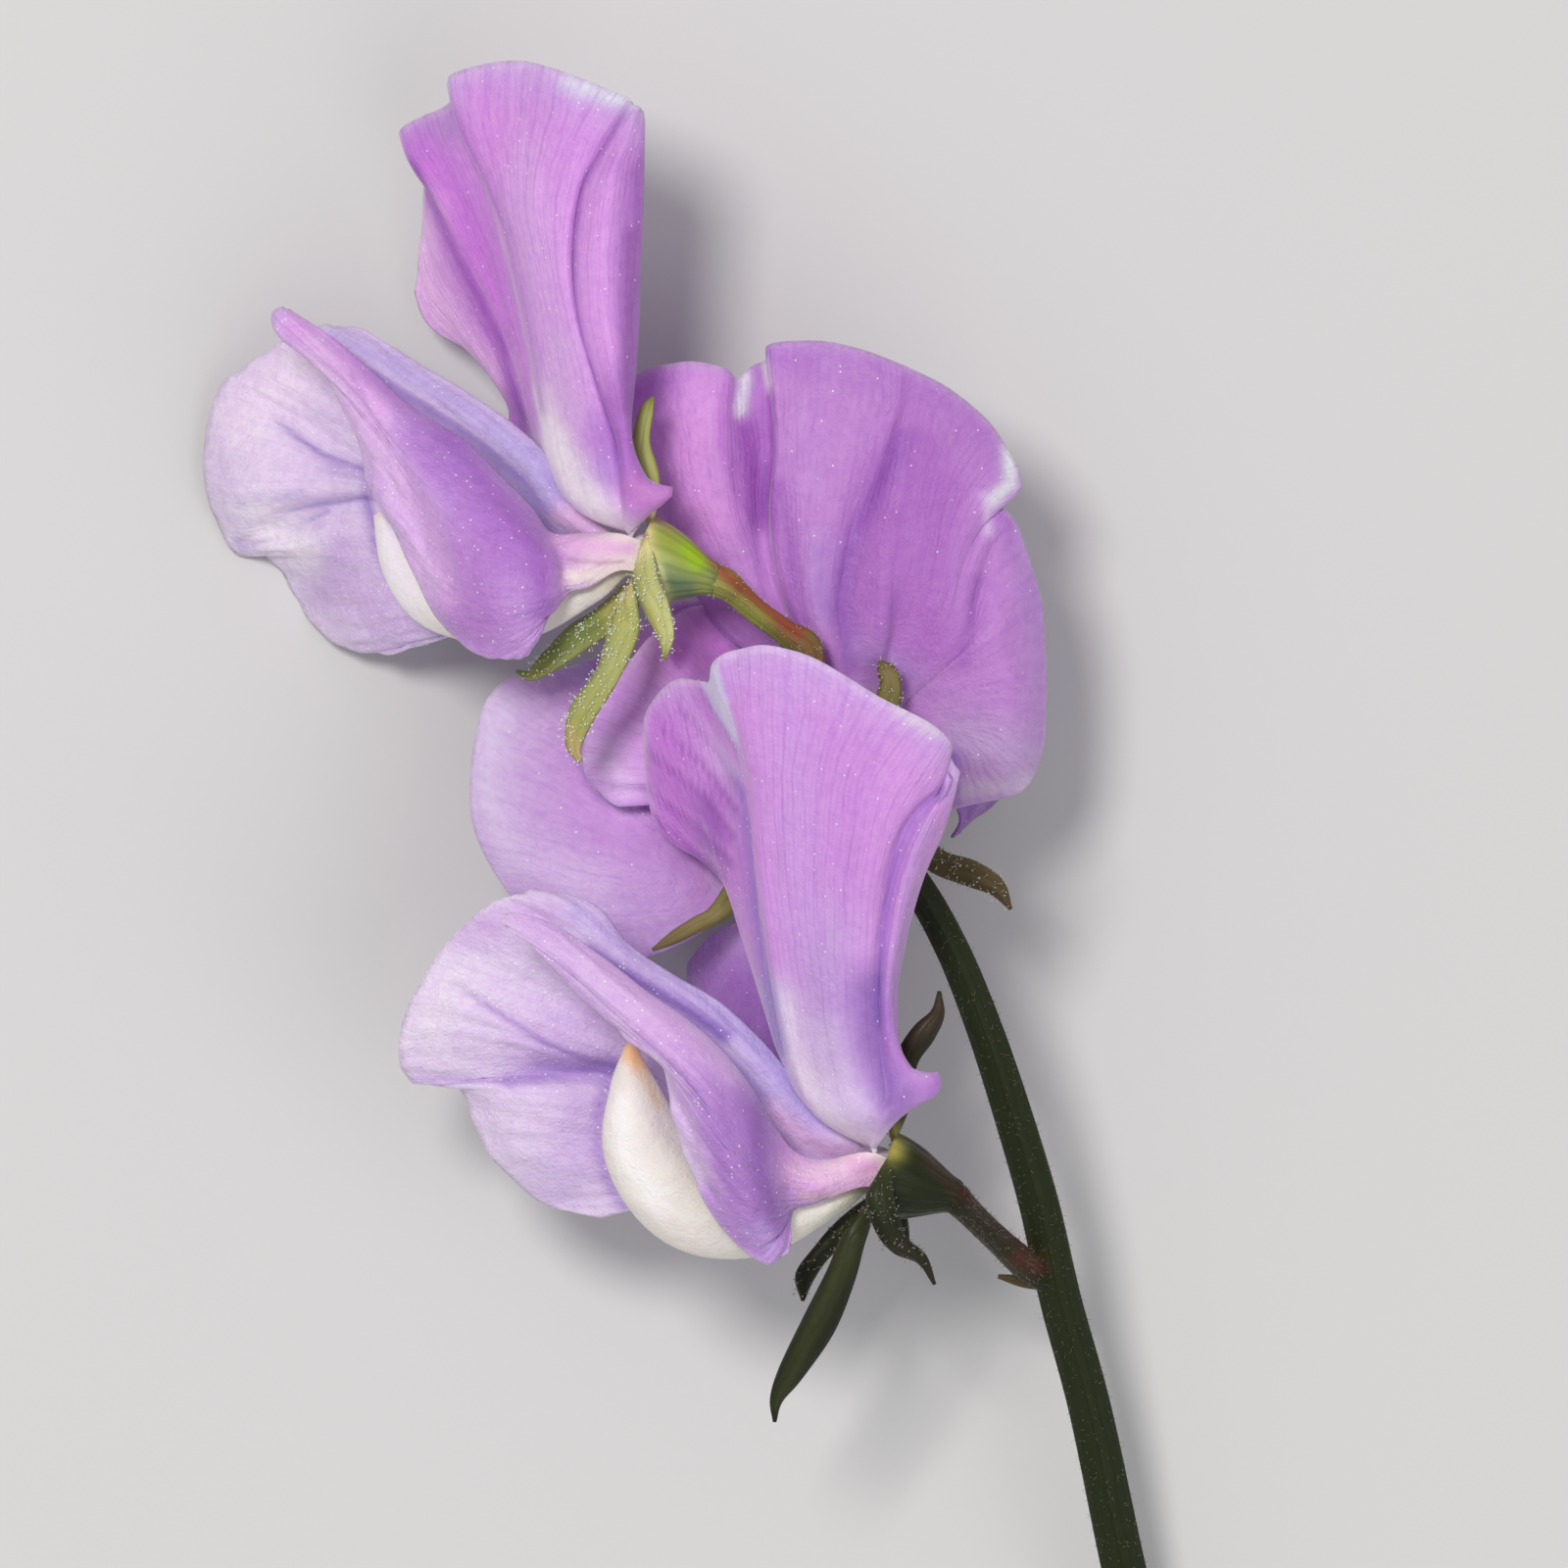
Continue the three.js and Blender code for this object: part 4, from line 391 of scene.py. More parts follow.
# Wings that face down: margin, light band, its edge, dark band, then the lobe with two creases
TOP_WING_FAR = [
    [(-11, 15.9, -0.9), (-12.6, 17.2, -1.3), (-14.4, 19.2, -1.6), (-15.2, 21, -1.8), (-17.4, 23, -2),
     (-20, 24.85, -2.3), (-23.1, 26.75, -2.7), (-25.6, 28.4, -3.2), (-27.2, 29.35, -3.6),
     (-28.6, 29.5, -4)],
    [(-11, 15.5, -0.6), (-12.8, 16.6, -0.9), (-14.8, 18.4, -1), (-16, 20.4, -1.1), (-18.2, 22.4, -1.2),
     (-20.8, 24.2, -1.5), (-23.6, 26, -2), (-26, 27.6, -2.5), (-27.9, 28.6, -3), (-29.6, 29.3, -3.6)],
    [(-11, 15.2, -0.8), (-12.9, 16.1, -1.1), (-15, 17.7, -1.3), (-16.4, 19.6, -1.5), (-18.7, 21.6, -1.6),
     (-21.4, 23.5, -1.9), (-24.4, 25.4, -2.3), (-26.8, 26.9, -2.8), (-28.9, 28, -3.3), (-30.8, 29, -4)],
    [(-11.2, 14.9, -1.3), (-13, 15.6, -1.9), (-15.2, 16.8, -2.4), (-17, 18.6, -2.9), (-19.4, 20.4, -3.2),
     (-22.2, 22.2, -3.4), (-25.2, 24, -3.6), (-28, 25.8, -3.9), (-30.4, 27.2, -4.3), (-32.4, 28.4, -5)],
    [(-12.7, 14.6, -2), (-17.4, 17.8, -3.6), (-22.4, 20.2, -4.2), (-26.4, 22.4, -4.7), (-31, 24.6, -4.8),
     (-35, 26.6, -6.2)],
    [(-12.8, 14.4, -2.1), (-17.5, 17.2, -3.8), (-22.6, 19.3, -4.4), (-27.2, 20.8, -5.4),
     (-31.6, 23.4, -5.7), (-34.6, 24.8, -6.3), (-36.25, 25.1, -6.8)],
    [(-12.8, 14.2, -2.2), (-17.6, 16.6, -4), (-22.8, 18.4, -4.6), (-27.4, 19.7, -4.9), (-32, 20.6, -4.9),
     (-35.2, 21.4, -5.7), (-37.15, 22, -7)],
    [(-12.8, 14.05, -2.25), (-17.6, 16, -4), (-22.8, 17.6, -4.7), (-27.4, 18.9, -4.9),
     (-31.6, 18.6, -4.9), (-35, 18.4, -5.7), (-37.05, 18.8, -7.4)],
    [(-12.8, 13.9, -2.3), (-17.6, 15.4, -4), (-22.8, 16.8, -4.9), (-27.4, 17.9, -5.6), (-31, 16.9, -6.6),
     (-34.4, 15.9, -7.6), (-36.4, 16.5, -8.6)],
    [(-12.8, 13.75, -2.3), (-17.5, 14.8, -4), (-22.6, 15.8, -4.9), (-27.4, 16.5, -5.2), (-31, 15.6, -6.6),
     (-33.6, 15.2, -8.2), (-35.2, 15.05, -9.6)],
    [(-12.8, 13.6, -2.3), (-17.4, 14.2, -4), (-22.4, 14.6, -5), (-28, 14.4, -6), (-33.4, 14.5, -10)],
    [(-12.7, 13.3, -2.2), (-17, 13.2, -3.8), (-21.4, 12.8, -5), (-26.4, 11.9, -6.6),
     (-31.3, 11.8, -12.1)],
    [(-12.6, 13, -2.1), (-16.4, 12.3, -3.5), (-20, 11.4, -4.8), (-23.8, 10.4, -6.2), (-28.6, 9, -11.6)],
    [(-12.6, 12.8, -2), (-16, 12, -3.3), (-19, 11, -4.6), (-22.2, 9.6, -6.2), (-26, 8.25, -10)],
    [(-12.5, 12.6, -1.9), (-15.6, 11.7, -3), (-18.2, 10.6, -4.2), (-21, 9.7, -5.4), (-23.6, 9, -7.5)],
]
FRONT_WING_FAR = [
    [(4.6, -22.6, -1), (2.4, -21.1, -1.3), (0.6, -18.9, -1.6), (-1.4, -16.5, -1.8), (-4.2, -13.9, -2.1),
     (-7, -12.2, -2.4), (-9.8, -10.3, -2.8), (-11.6, -8.1, -3.2), (-13.5, -7.1, -3.6), (-15.2, -6.9, -4)],
    [(4.4, -23, -0.7), (2, -21.7, -0.9), (0.1, -19.6, -1), (-2, -17.3, -1.1), (-4.8, -14.8, -1.3),
     (-7.6, -13, -1.6), (-10.4, -11.2, -2), (-12.6, -9.2, -2.5), (-14.8, -7.9, -3), (-17.2, -7.1, -3.8)],
    [(4.2, -23.4, -0.9), (1.6, -22.2, -1.1), (-0.5, -20.2, -1.3), (-2.6, -18, -1.5), (-5.4, -15.5, -1.7),
     (-8.3, -13.6, -2), (-11.2, -11.8, -2.4), (-13.6, -10.2, -2.9), (-16, -8.7, -3.4),
     (-18.7, -7.6, -4.2)],
    [(3.8, -24, -1.4), (1, -23, -1.9), (-1.4, -21.4, -2.4), (-3.8, -19.2, -2.9), (-6.6, -16.8, -3.2),
     (-9.6, -14.8, -3.5), (-12.6, -13, -3.8), (-15.6, -11.2, -4), (-18.4, -9.6, -4.4), (-20.2, -8.8, -5)],
    [(2, -24.6, -2.1), (-2.4, -21, -3.7), (-7.8, -16.6, -4.3), (-14, -13.8, -4.6), (-18.6, -12, -4.8),
     (-21.9, -10.6, -5.8)],
    [(1.8, -25.1, -2.3), (-2.8, -22, -4), (-8.6, -18, -4.6), (-15, -15.8, -4.6), (-20.4, -14.4, -5),
     (-24, -14.2, -6.6)],
    [(1.75, -25.3, -2.35), (-2.9, -22.5, -4), (-8.8, -18.8, -4.7), (-14.6, -17.2, -4.9),
     (-20, -16.6, -5.4), (-24.6, -17.2, -7.2)],
    [(1.7, -25.5, -2.4), (-3, -23, -4), (-8.6, -19.6, -5), (-12.6, -18.6, -5.8), (-17, -18.4, -6.4),
     (-20.6, -18.8, -7), (-23.9, -18.85, -7.9)],
    [(1.7, -25.6, -2.4), (-3, -23.3, -4), (-8.6, -20.4, -5), (-12.8, -19.6, -5.3), (-17, -19.4, -5.7),
     (-20.2, -19.4, -6.8), (-21.5, -19.2, -8)],
    [(1.6, -25.8, -2.4), (-3, -24, -4), (-8.6, -21.8, -5.2), (-14.4, -21, -5.2), (-18, -20.9, -6),
     (-20.3, -20.6, -8)],
    [(1.6, -26.1, -2.3), (-2.8, -25, -3.9), (-8, -23.8, -5.2), (-13, -23.4, -5.8), (-16.4, -23.4, -6.8),
     (-18.3, -23.8, -8.4)],
    [(1.6, -26.3, -2.1), (-2.2, -25.8, -3.7), (-7, -25.2, -5), (-11, -25.6, -6), (-15.6, -26.9, -8)],
    [(1.6, -26.5, -1.9), (-1.4, -26.4, -3.4), (-5, -26.4, -4.6), (-8.4, -26.9, -5.4), (-11.6, -27.7, -7)],
]

# The left bloom's standard ends in a rounded lobe, folded back over the pale half
LEFT_STANDARD = [
    [(-5.6, -9.7, -1.8), (-10, -11.2, -3.4), (-14.6, -10.2, -5.4)],
    [(-7.2, -8, -1.6), (-12.6, -8.2, -3), (-17.6, -6.8, -5)],
    [(-8.2, -5.8, -1.4), (-14, -4.2, -2.6), (-20, -2.4, -4.6)],
    [(-8.6, -3.2, -1.6), (-14.2, 0, -2.8), (-19.9, 3, -4.8)],
    [(-8.2, -0.8, -2), (-13.2, 3.4, -3.4), (-18.2, 6.2, -5.4)],
    [(-7.2, 1.2, -2.6), (-11, 5.4, -4.2), (-14.2, 7.4, -6)],
    [(-6, 2.4, -3.2), (-8.6, 6.8, -4.6), (-10.6, 9, -6)],
    [(-4.4, 2.8, -3.4), (-5.8, 7.8, -4.2), (-6.8, 11.6, -5)],
    [(-2.8, 2.6, -3), (-2.6, 7.6, -3.2), (-3.4, 11.4, -3.4)],
    [(-1.6, 1.6, -1.7), (-2.4, 6.6, -1.2), (-6, 11.3, -1.6)],
    [(-1.4, 0.8, -0.9), (-4, 5, -0.2), (-7.9, 10.1, -1)],
    [(-1.4, 0.4, -0.7), (-4.8, 3.8, 0.1), (-10.1, 7.6, -0.9)],
    [(-1.4, 0, -0.6), (-5.6, 2.6, 0.3), (-11.7, 5.2, -0.8)],
    [(-1.3, -0.4, -0.6), (-6, 1.6, 0.4), (-12.7, 3.4, -0.7)],
    [(-1.3, -0.7, -0.7), (-6.2, 0.8, 0.4), (-9.6, 1.4, 0.2), (-12.8, 1.6, -0.7)],
    [(-1.2, -1, -0.8), (-6.2, 0.1, 0.4), (-9.6, 0.4, 0.3), (-12.4, 0.1, -0.6)],
    [(-1.1, -1.3, -0.9), (-5.8, -0.6, 0.3), (-9.2, -0.4, 0.3), (-11.6, -0.8, -0.4)],
    [(-1, -1.5, -1), (-5.4, -1.2, 0.1), (-8.6, -1.3, 0.1), (-10.5, -1.35, -0.3)],
]

# The lowest margin of a hidden wing rolls under, as [forward, up, sideways]
ROLLED_MARGIN = [[3.4, -1.5, 1.6], [7, -4, 2.2], [9.6, -6, 2.4], [11, -7.3, 1.4]]

# Middle lines of the front, right and left bloom's stalk as [x, y, z, radius], from the peduncle to
# the base of the cup
PEDICELS = [
    [[17.1, -32, 11.3, 0.8], [15.5, -30.8, 12.9, 0.98], [13.9, -29.35, 15.3, 0.88],
     [12.6, -28.1, 17.6, 0.86], [11.6, -27.1, 19.4, 0.9], [11, -26.5, 20.4, 1]],
    [[4.9, -2.9, 18.9, 0.7], [4.4, -2.2, 20.8, 0.75], [4.6, -1, 22.5, 0.75], [5.6, 0.1, 23.3, 0.8],
     [6.3, 0.5, 22.65, 1]],
    [[3.2, -1.2, 19.2, 0.7], [2.6, -1.9, 20.7, 0.75], [1.4, -2.7, 21.5, 0.75], [0.2, -3.3, 21.1, 0.85],
     [-0.35, -3.7, 20.2, 1]],
]

# Colours as the photograph shows them, in 0 to 255
PINK = (210, 150, 226)
DEEP_PINK = (182, 106, 204)
DARK_PINK = (150, 84, 180)
LILAC = (202, 164, 228)
MAUVE = (172, 116, 202)
SHADED_PINK = (186, 132, 204)
PALE = (226, 206, 242)
BLUISH = (182, 168, 226)
VIOLET = (140, 108, 196)
CREAM = (238, 230, 216)
WHITE = (242, 232, 244)
TAN = (240, 196, 148)
OLIVE = (150, 160, 74)
STRAW = (222, 206, 136)
# The stalk's and the front calyx's greens, darkened by painted shade
STEM_GREEN = (30, 38, 12)
DARK_GREEN = (24, 32, 10)
PITH = (150, 164, 108)


def linear(colour):
    """The linear values of a colour given in 0 to 255."""
    share = np.asarray(colour, float) / 255
    return np.where(share <= 0.04045, share / 12.92, ((share + 0.055) / 1.055) ** 2.4)


# Curves and sheets


def spline(points, steps):
    """A smooth curve through the points along their first axis, with steps between each two."""
    points = np.asarray(points, float)
    if steps == 1:
        return points
    first = 2 * points[:1] - points[1:2]
    last = 2 * points[-1:] - points[-2:-1]
    line = np.concatenate([first, points, last])
    before, start, end, after = line[:-3], line[1:-2], line[2:-1], line[3:]
    rows = []
    for step in range(steps):
        s = step / steps
        rows.append(0.5 * (2 * start + (end - before) * s
                           + (2 * before - 5 * start + 4 * end - after) * s ** 2
                           + (3 * start - before - 3 * end + after) * s ** 3))
    curve = np.stack(rows, 1).reshape((-1,) + points.shape[1:])
    return np.concatenate([curve, points[-1:]])


def even_rib(rib, count):
    """The rib's smooth curve as a number of evenly spaced points."""
    curve = spline(rib, RIB_STEPS)
    reach = np.concatenate([[0], np.cumsum(np.linalg.norm(np.diff(curve, axis=0), axis=1))])
    places = np.linspace(0, reach[-1], count)
    return np.stack([np.interp(places, reach, curve[:, k]) for k in range(3)], -1)


def unit(vectors):
    return vectors / np.maximum(np.linalg.norm(vectors, axis=-1, keepdims=True), 1e-12)


def sheet_normals(grid):
    """The unit normal at each point of a grid of points."""
    return unit(np.cross(np.gradient(grid, axis=0), np.gradient(grid, axis=1)))


def grid_faces(columns, rows):
    i, j = np.meshgrid(np.arange(columns - 1), np.arange(rows - 1), indexing="ij")
    a = (i * rows + j).ravel()
    return np.stack([a, a + rows, a + rows + 1, a + 1], 1)


def margin_loop(columns, rows):
    """The indices round the edge of a grid, in the direction of its faces."""
    low = [i * rows for i in range(columns)]
    far = [(columns - 1) * rows + j for j in range(1, rows)]
    high = [i * rows + rows - 1 for i in range(columns - 2, -1, -1)]
    near = list(range(rows - 2, 0, -1))
    return low + far + high + near


def nearest(xy, line):
    """How far each point lies from a broken line and to the left of it, seen from above."""
    line = np.asarray(line, float)
    best, turn = np.full(xy.shape[:-1], np.inf), np.zeros(xy.shape[:-1])
    for a, b in zip(line[:-1], line[1:]):
        along = b - a
        share = np.clip(((xy - a) @ along) / (along @ along), 0, 1)
        gap = np.linalg.norm(xy - a - share[..., None] * along, axis=-1)
        side = along[0] * (xy[..., 1] - a[1]) - along[1] * (xy[..., 0] - a[0])
        turn = np.where(gap < best, side / np.linalg.norm(along), turn)
        best = np.minimum(best, gap)
    return best, turn


def stroke(xy, line, width, strength=1, side=0):
    """The strength of a stroke at each point, full on its line and fading over its width. With a
    side it stays to the left (1) or to the right (-1) of its line."""
    distance, turn = nearest(xy, line)
    share = strength * np.exp(-(distance / width) ** 2)
    if side:
        left = 0.5 + 0.5 * np.tanh(turn / SIDE_BLUR)
        share = share * (left if side > 0 else 1 - left)
    return share


def waves(u, v, seed, count, lowest, highest):
    """A smooth field of waves over a petal or a keel, about 1 high."""
    draw = np.random.default_rng(seed)
    total = np.zeros_like(u)
    for _ in range(count):
        across, along = draw.uniform(lowest, highest), draw.uniform(0, highest / 3)
        total += np.sin(2 * math.pi * (across * u + along * v) + draw.uniform(0, 2 * math.pi))
    return total / math.sqrt(count)


# Blooms


class Bloom:
    """Where a calyx opens, which way it faces, and its middle plane, which climbs by rise."""

    def __init__(self, mouth, forward, up, rise=(0, 0)):
        self.mouth = np.array(mouth, float)
        self.axis = unit(np.array(forward, float))
        above = np.array(up, float)
        self.above = unit(above - self.axis * (above @ self.axis))
        side = np.cross(self.axis, self.above)
        self.side = -side if side[2] < 0 else side
        self.rise = np.array(rise, float)

    def at(self, place):
        """The point at [forward, up, sideways] from the mouth, before its lift."""
        f, u, s = np.moveaxis(np.asarray(place, float), -1, 0)
        base = np.array([self.mouth[0], self.mouth[1], 0])
        return base + f[..., None] * self.axis + u[..., None] * self.above + s[..., None] * self.side

    def lift(self, points):
        """Turns heights over the middle plane into heights above the surface."""
        points = np.array(points, float)
        points[..., 2] += self.mouth[2] + (points[..., :2] - self.mouth[:2]) @ self.rise
        return points


def with_claw(claw, ribs):
    """Joins the claw's points for each rib to that rib."""
    return [np.concatenate([[row[i] for row in claw], np.asarray(rib, float)])
            for i, rib in enumerate(ribs)]


def standard_ribs(bloom, ribs, throat):
    """The claw is a half gutter out of the top of the calyx, and can open into a throat."""
    if throat:
        # Each rib leaves the throat towards its own first point
        ways = np.array([np.asarray(rib[0], float)[:2] - bloom.mouth[:2] for rib in ribs])
        above = bloom.above[:2] / np.linalg.norm(bloom.above[:2])
        turn = np.arctan2(ways @ [above[1], -above[0]], ways @ above)
        share = 1 - 2 * (turn[0] - turn) / (turn[0] - turn[-1])
    else:
        share = 1 - 2 * np.arange(len(ribs)) / (len(ribs) - 1)

    def gutter(forward, radius, half_angle):
        turn = math.radians(half_angle) * share
        return bloom.at(np.stack([np.full_like(turn, forward), radius * np.cos(turn),
                                  radius * np.sin(turn)], -1))

    claw = [gutter(-CLAW_DEPTH, STANDARD_CLAW_RADIUS, STANDARD_CLAW_HALF_ANGLE),
            gutter(CLAW_REACH, STANDARD_CLAW_RADIUS, STANDARD_CLAW_HALF_ANGLE)]
    if throat:
        claw.append(gutter(THROAT_REACH, THROAT_RADIUS, THROAT_HALF_ANGLE))
    return with_claw(claw, ribs)


def wing_ribs(bloom, ribs, hand):
    """The claw is a narrow strip at one side of the calyx."""
    share = np.arange(len(ribs)) / (len(ribs) - 1)
    claw = []
    for k, (forward, upper, width) in enumerate(WING_CLAW):
        across = np.full_like(share, hand * (WING_CLAW_OFFSET + k * WING_CLAW_FLARE))
        claw.append(bloom.at(np.stack([np.full_like(share, forward), upper - width * share, across], -1)))
    return with_claw(claw, ribs)


def keel_rings(bloom, line, steps, sides, pinch=0.0):
    """Rings of points round the keel, and the middle of each ring."""
    root = [[*bloom.at([f, u, 0]), height, width] for f, u, height, width in KEEL_ROOT]
    path = spline(root + [list(row) for row in line], steps)
    along = unit(np.concatenate([path[1:2, :3] - path[:1, :3], path[2:, :3] - path[:-2, :3],
                                 path[-1:, :3] - path[-2:-1, :3]]))
    rise = unit(np.cross(np.broadcast_to(bloom.side, along.shape), along))
    angle = 2 * math.pi * np.arange(sides) / sides
    high = path[:, 3, None] * np.cos(angle)
    wide = path[:, 4, None] * np.sin(angle) * (1 - pinch * np.abs(np.cos(angle)) ** 3)
    rings = path[:, None, :3] + high[..., None] * rise[:, None] + wide[..., None] * bloom.side
    return bloom.lift(rings), bloom.lift(path[:, :3])


# Pieces


def to_metres(points):
    return (np.asarray(points, float) + SHIFT) / 1000


def add_piece(name, node, points, faces, uv, tint, materials, kinds=None, painted_glint=None):
    """Makes a mesh piece that stands for a CAD node. uv, tint and the share of painted glints are given
    for each point.
    """
    mesh = bpy.data.meshes.new(name)
    mesh.from_pydata(to_metres(points).tolist(), [], [list(map(int, f)) for f in faces])
    mesh.validate()
    corners = np.empty(len(mesh.loops), int)
    mesh.loops.foreach_get("vertex_index", corners)
    fan = mesh.uv_layers.new(name="fan")
    fan.data.foreach_set("uv", np.asarray(uv, np.float32)[corners].ravel())
    colour = mesh.color_attributes.new("tint", "FLOAT_COLOR", "POINT")
    colour.data.foreach_set("color", np.c_[tint, np.ones(len(tint))].astype(np.float32).ravel())
    # How strongly each point gets painted glints
    shine = np.zeros(len(tint)) if painted_glint is None else painted_glint
    mesh.attributes.new("painted_glint", "FLOAT", "POINT").data.foreach_set("value", shine.astype(np.float32))
    for material in materials:
        mesh.materials.append(material)
    if kinds is not None:
        mesh.polygons.foreach_set("material_index", np.asarray(kinds, np.int32))
    mesh.shade_smooth()
    piece = bpy.data.objects.new(name, mesh)
    bpy.context.scene.collection.objects.link(piece)
    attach(piece, "root")
    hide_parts(node)


def paint(xy, tint, strokes):
    """Blends strokes of [line, width, colour, strength, side] into the tint, seen from above."""
    for line, width, colour, strength, *side in strokes:
        share = stroke(xy, line, width, strength, *side)
        tint = tint + share[..., None] * (linear(colour) - tint)
    return tint


def ramp(v, stops):
    """A colour that changes along v, through stops of [v, colour]."""
    places = [place for place, _ in stops]
    colours = np.array([linear(colour) for _, colour in stops])
    return np.stack([np.interp(v, places, colours[:, k]) for k in range(3)], -1)


def painted(xy, v, look):
    """The colours of a look: its ramp along v with its strokes over it."""
    return paint(xy, ramp(v, look["ramp"]), look.get("strokes", ()))


def two_sided(grid, half):
    """The points and faces of a sheet with a front, a back and a wall round its edge."""
    normals = sheet_normals(grid)
    front = grid + normals * half[..., None]
    back = grid - normals * half[..., None]
    points = np.concatenate([front.reshape(-1, 3), back.reshape(-1, 3)])
    points[:, 2] = np.maximum(points[:, 2], 0)
    count = len(points) // 2
    faces = grid_faces(*grid.shape[:2])
    loop = margin_loop(*grid.shape[:2])
    wall = [[b, a, count + a, count + b] for a, b in zip(loop, loop[1:] + loop[:1])]
    return points, np.concatenate([faces, count + faces[:, ::-1], wall])


def petal(bloom, ribs, look, steps):
    """A thin petal with its waves, creases and colours."""
    grid = bloom.lift(spline([even_rib(rib, RIB_POINTS) for rib in ribs], steps))
    lengths = np.linalg.norm(np.diff(grid, axis=1), axis=2).mean(0)
    reach = np.concatenate([[0], np.cumsum(lengths)]) / lengths.sum()
    u, v = np.meshgrid(np.linspace(0, 1, grid.shape[0]), reach, indexing="ij")
    move = np.zeros_like(v)
    for k, (kind, height, count, lowest, highest, power) in enumerate(WAVES):
        wave = waves(u, v, look["seed"] + k, count, lowest, highest)
        move += look.get(kind, height) * wave * v ** power
    # The claw has no waves
    move *= np.clip(np.linalg.norm(grid - bloom.mouth, axis=-1) / CLAW_LENGTH - 1, 0, 1)
    grid = grid + move[..., None] * sheet_normals(grid)
    xy = grid[..., :2]
    for line, width, height in look.get("creases", ()):
        grid[..., 2] += stroke(xy, line, width, height)
    half = (PETAL_BASE_THICKNESS + (PETAL_MARGIN_THICKNESS - PETAL_BASE_THICKNESS) * v) / 2
    grid[..., 2] = np.maximum(grid[..., 2], half)
    tint = painted(xy, v, look)
    # A thin rim at the margin in the look's margin colour, white by default; the white rim is partly the
    # petal's paler edge and partly a painted edge highlight
    margin = MARGIN_STRENGTH * np.exp(-((1 - v) / MARGIN_SHARE) ** 2)
    tint = tint + margin[..., None] * (linear(look.get("margin", WHITE)) - tint)
    # Painted glints: the look's usual share, raised along the places that the look lists
    shine = np.full(v.shape, look.get("shine", USUAL_PAINTED_GLINT))
    for line, width in look.get("painted_glint", ()):
        shine = np.maximum(shine, stroke(xy, line, width))
    points, faces = two_sided(grid, half)
    sheets = (np.stack([u.ravel(), v.ravel()], 1), tint.reshape(-1, 3), shine.ravel())
    return points, faces, *[np.concatenate([sheet, sheet]) for sheet in sheets]


def quad_normals(points, faces):
    """The normal at each point, from the faces round it."""
    corners = points[faces]
    flat = np.cross(corners[:, 2] - corners[:, 0], corners[:, 3] - corners[:, 1])
    normals = np.zeros_like(points)
    for k in range(4):
        np.add.at(normals, faces[:, k], flat)
    return unit(normals)


def thicken(points, faces, thickness):
    """Gives an open sheet of four-sided faces its thickness, one value for each point."""
    normals = quad_normals(points, faces)
    count = len(points)
    half = np.broadcast_to(thickness, (count,))[:, None] / 2
    edges = {}
    for face in faces.tolist():
        for a, b in zip(face, face[1:] + face[:1]):
            if edges.pop((b, a), None) is None:
                edges[(a, b)] = True
    wall = [[b, a, count + a, count + b] for a, b in edges]
    solid = np.concatenate([points + half * normals, points - half * normals])
    return solid, np.concatenate([faces, count + faces[:, ::-1], wall]), normals


def hairs(places, directions, lengths, radius, seed, lean=0.45, head=0.0):
    """Closed three-sided hairs that stand on the given places, some with a round head."""
    draw = np.random.default_rng(seed)
    count = len(places)
    way = unit(directions + lean * draw.normal(size=(count, 3)))
    first = unit(np.cross(way, unit(draw.normal(size=(count, 3)))))
    second = np.cross(way, first)
    ring = []
    for k in range(3):
        turn = 2 * math.pi * k / 3
        ring.append(places - HAIR_ROOT_DEPTH * way
                    + radius * (math.cos(turn) * first + math.sin(turn) * second))
    tip = places + way * lengths[:, None]
    points = np.stack([*ring, tip], 1).reshape(-1, 3)
    base = 4 * np.arange(count)[:, None]
    faces = [base + corners for corners in ([0, 2, 1], [0, 1, 3], [1, 2, 3], [2, 0, 3])]
    if head:
        knob = head * draw.uniform(*HAIR_HEAD_SIZES, (count, 1))
        knobs = np.stack([tip + knob * way, tip + knob * first, tip + knob * second,
                          tip - knob * first, tip - knob * second, tip - knob * way], 1).reshape(-1, 3)
        base = len(points) + 6 * np.arange(count)[:, None]
        sides = ((1, 2), (2, 3), (3, 4), (4, 1))
        faces += [base + [0, a, b] for a, b in sides] + [base + [5, b, a] for a, b in sides]
        points = np.concatenate([points, knobs])
    return points, np.concatenate(faces)


def scatter(points, faces, normals, count, seed):
    """Places spread evenly over four-sided faces, and the normals there."""
    draw = np.random.default_rng(seed)
    corners = points[faces]
    area = np.linalg.norm(np.cross(corners[:, 2] - corners[:, 0], corners[:, 3] - corners[:, 1]), axis=1)
    chosen = draw.choice(len(faces), count, p=area / area.sum())
    a, b = draw.uniform(size=(2, count, 1))
    quad, around = corners[chosen], normals[faces[chosen]]

    def mix(four):
        return ((1 - a) * (1 - b) * four[:, 0] + a * (1 - b) * four[:, 1]
                + a * b * four[:, 2] + (1 - a) * b * four[:, 3])

    return mix(quad), unit(mix(around))


def band(low, high, sides):
    """The faces between two rings of points that start at low and at high."""
    return [[low + j, low + (j + 1) % sides, high + (j + 1) % sides, high + j] for j in range(sides)]


def cup_rings(bloom, columns):
    """The points of the ribbed cup from its base to its rim, and then the small ring in its base."""
    angle = (2 * math.pi / columns) * (np.arange(columns) - CUP_STEPS)
    ribs = 1 + CUP_RIB * np.cos(2 * TEETH * angle)
    rings = [[forward, radius * ribs] for forward, radius in spline(CALYX_PROFILE, CUP_STEPS)]
    rings.append([-CALYX_LENGTH, CALYX_BASE_RADIUS])
    return [bloom.at(np.stack([np.full(columns, forward), radius * np.cos(angle),
                               radius * np.sin(angle)], -1)) for forward, radius in rings]


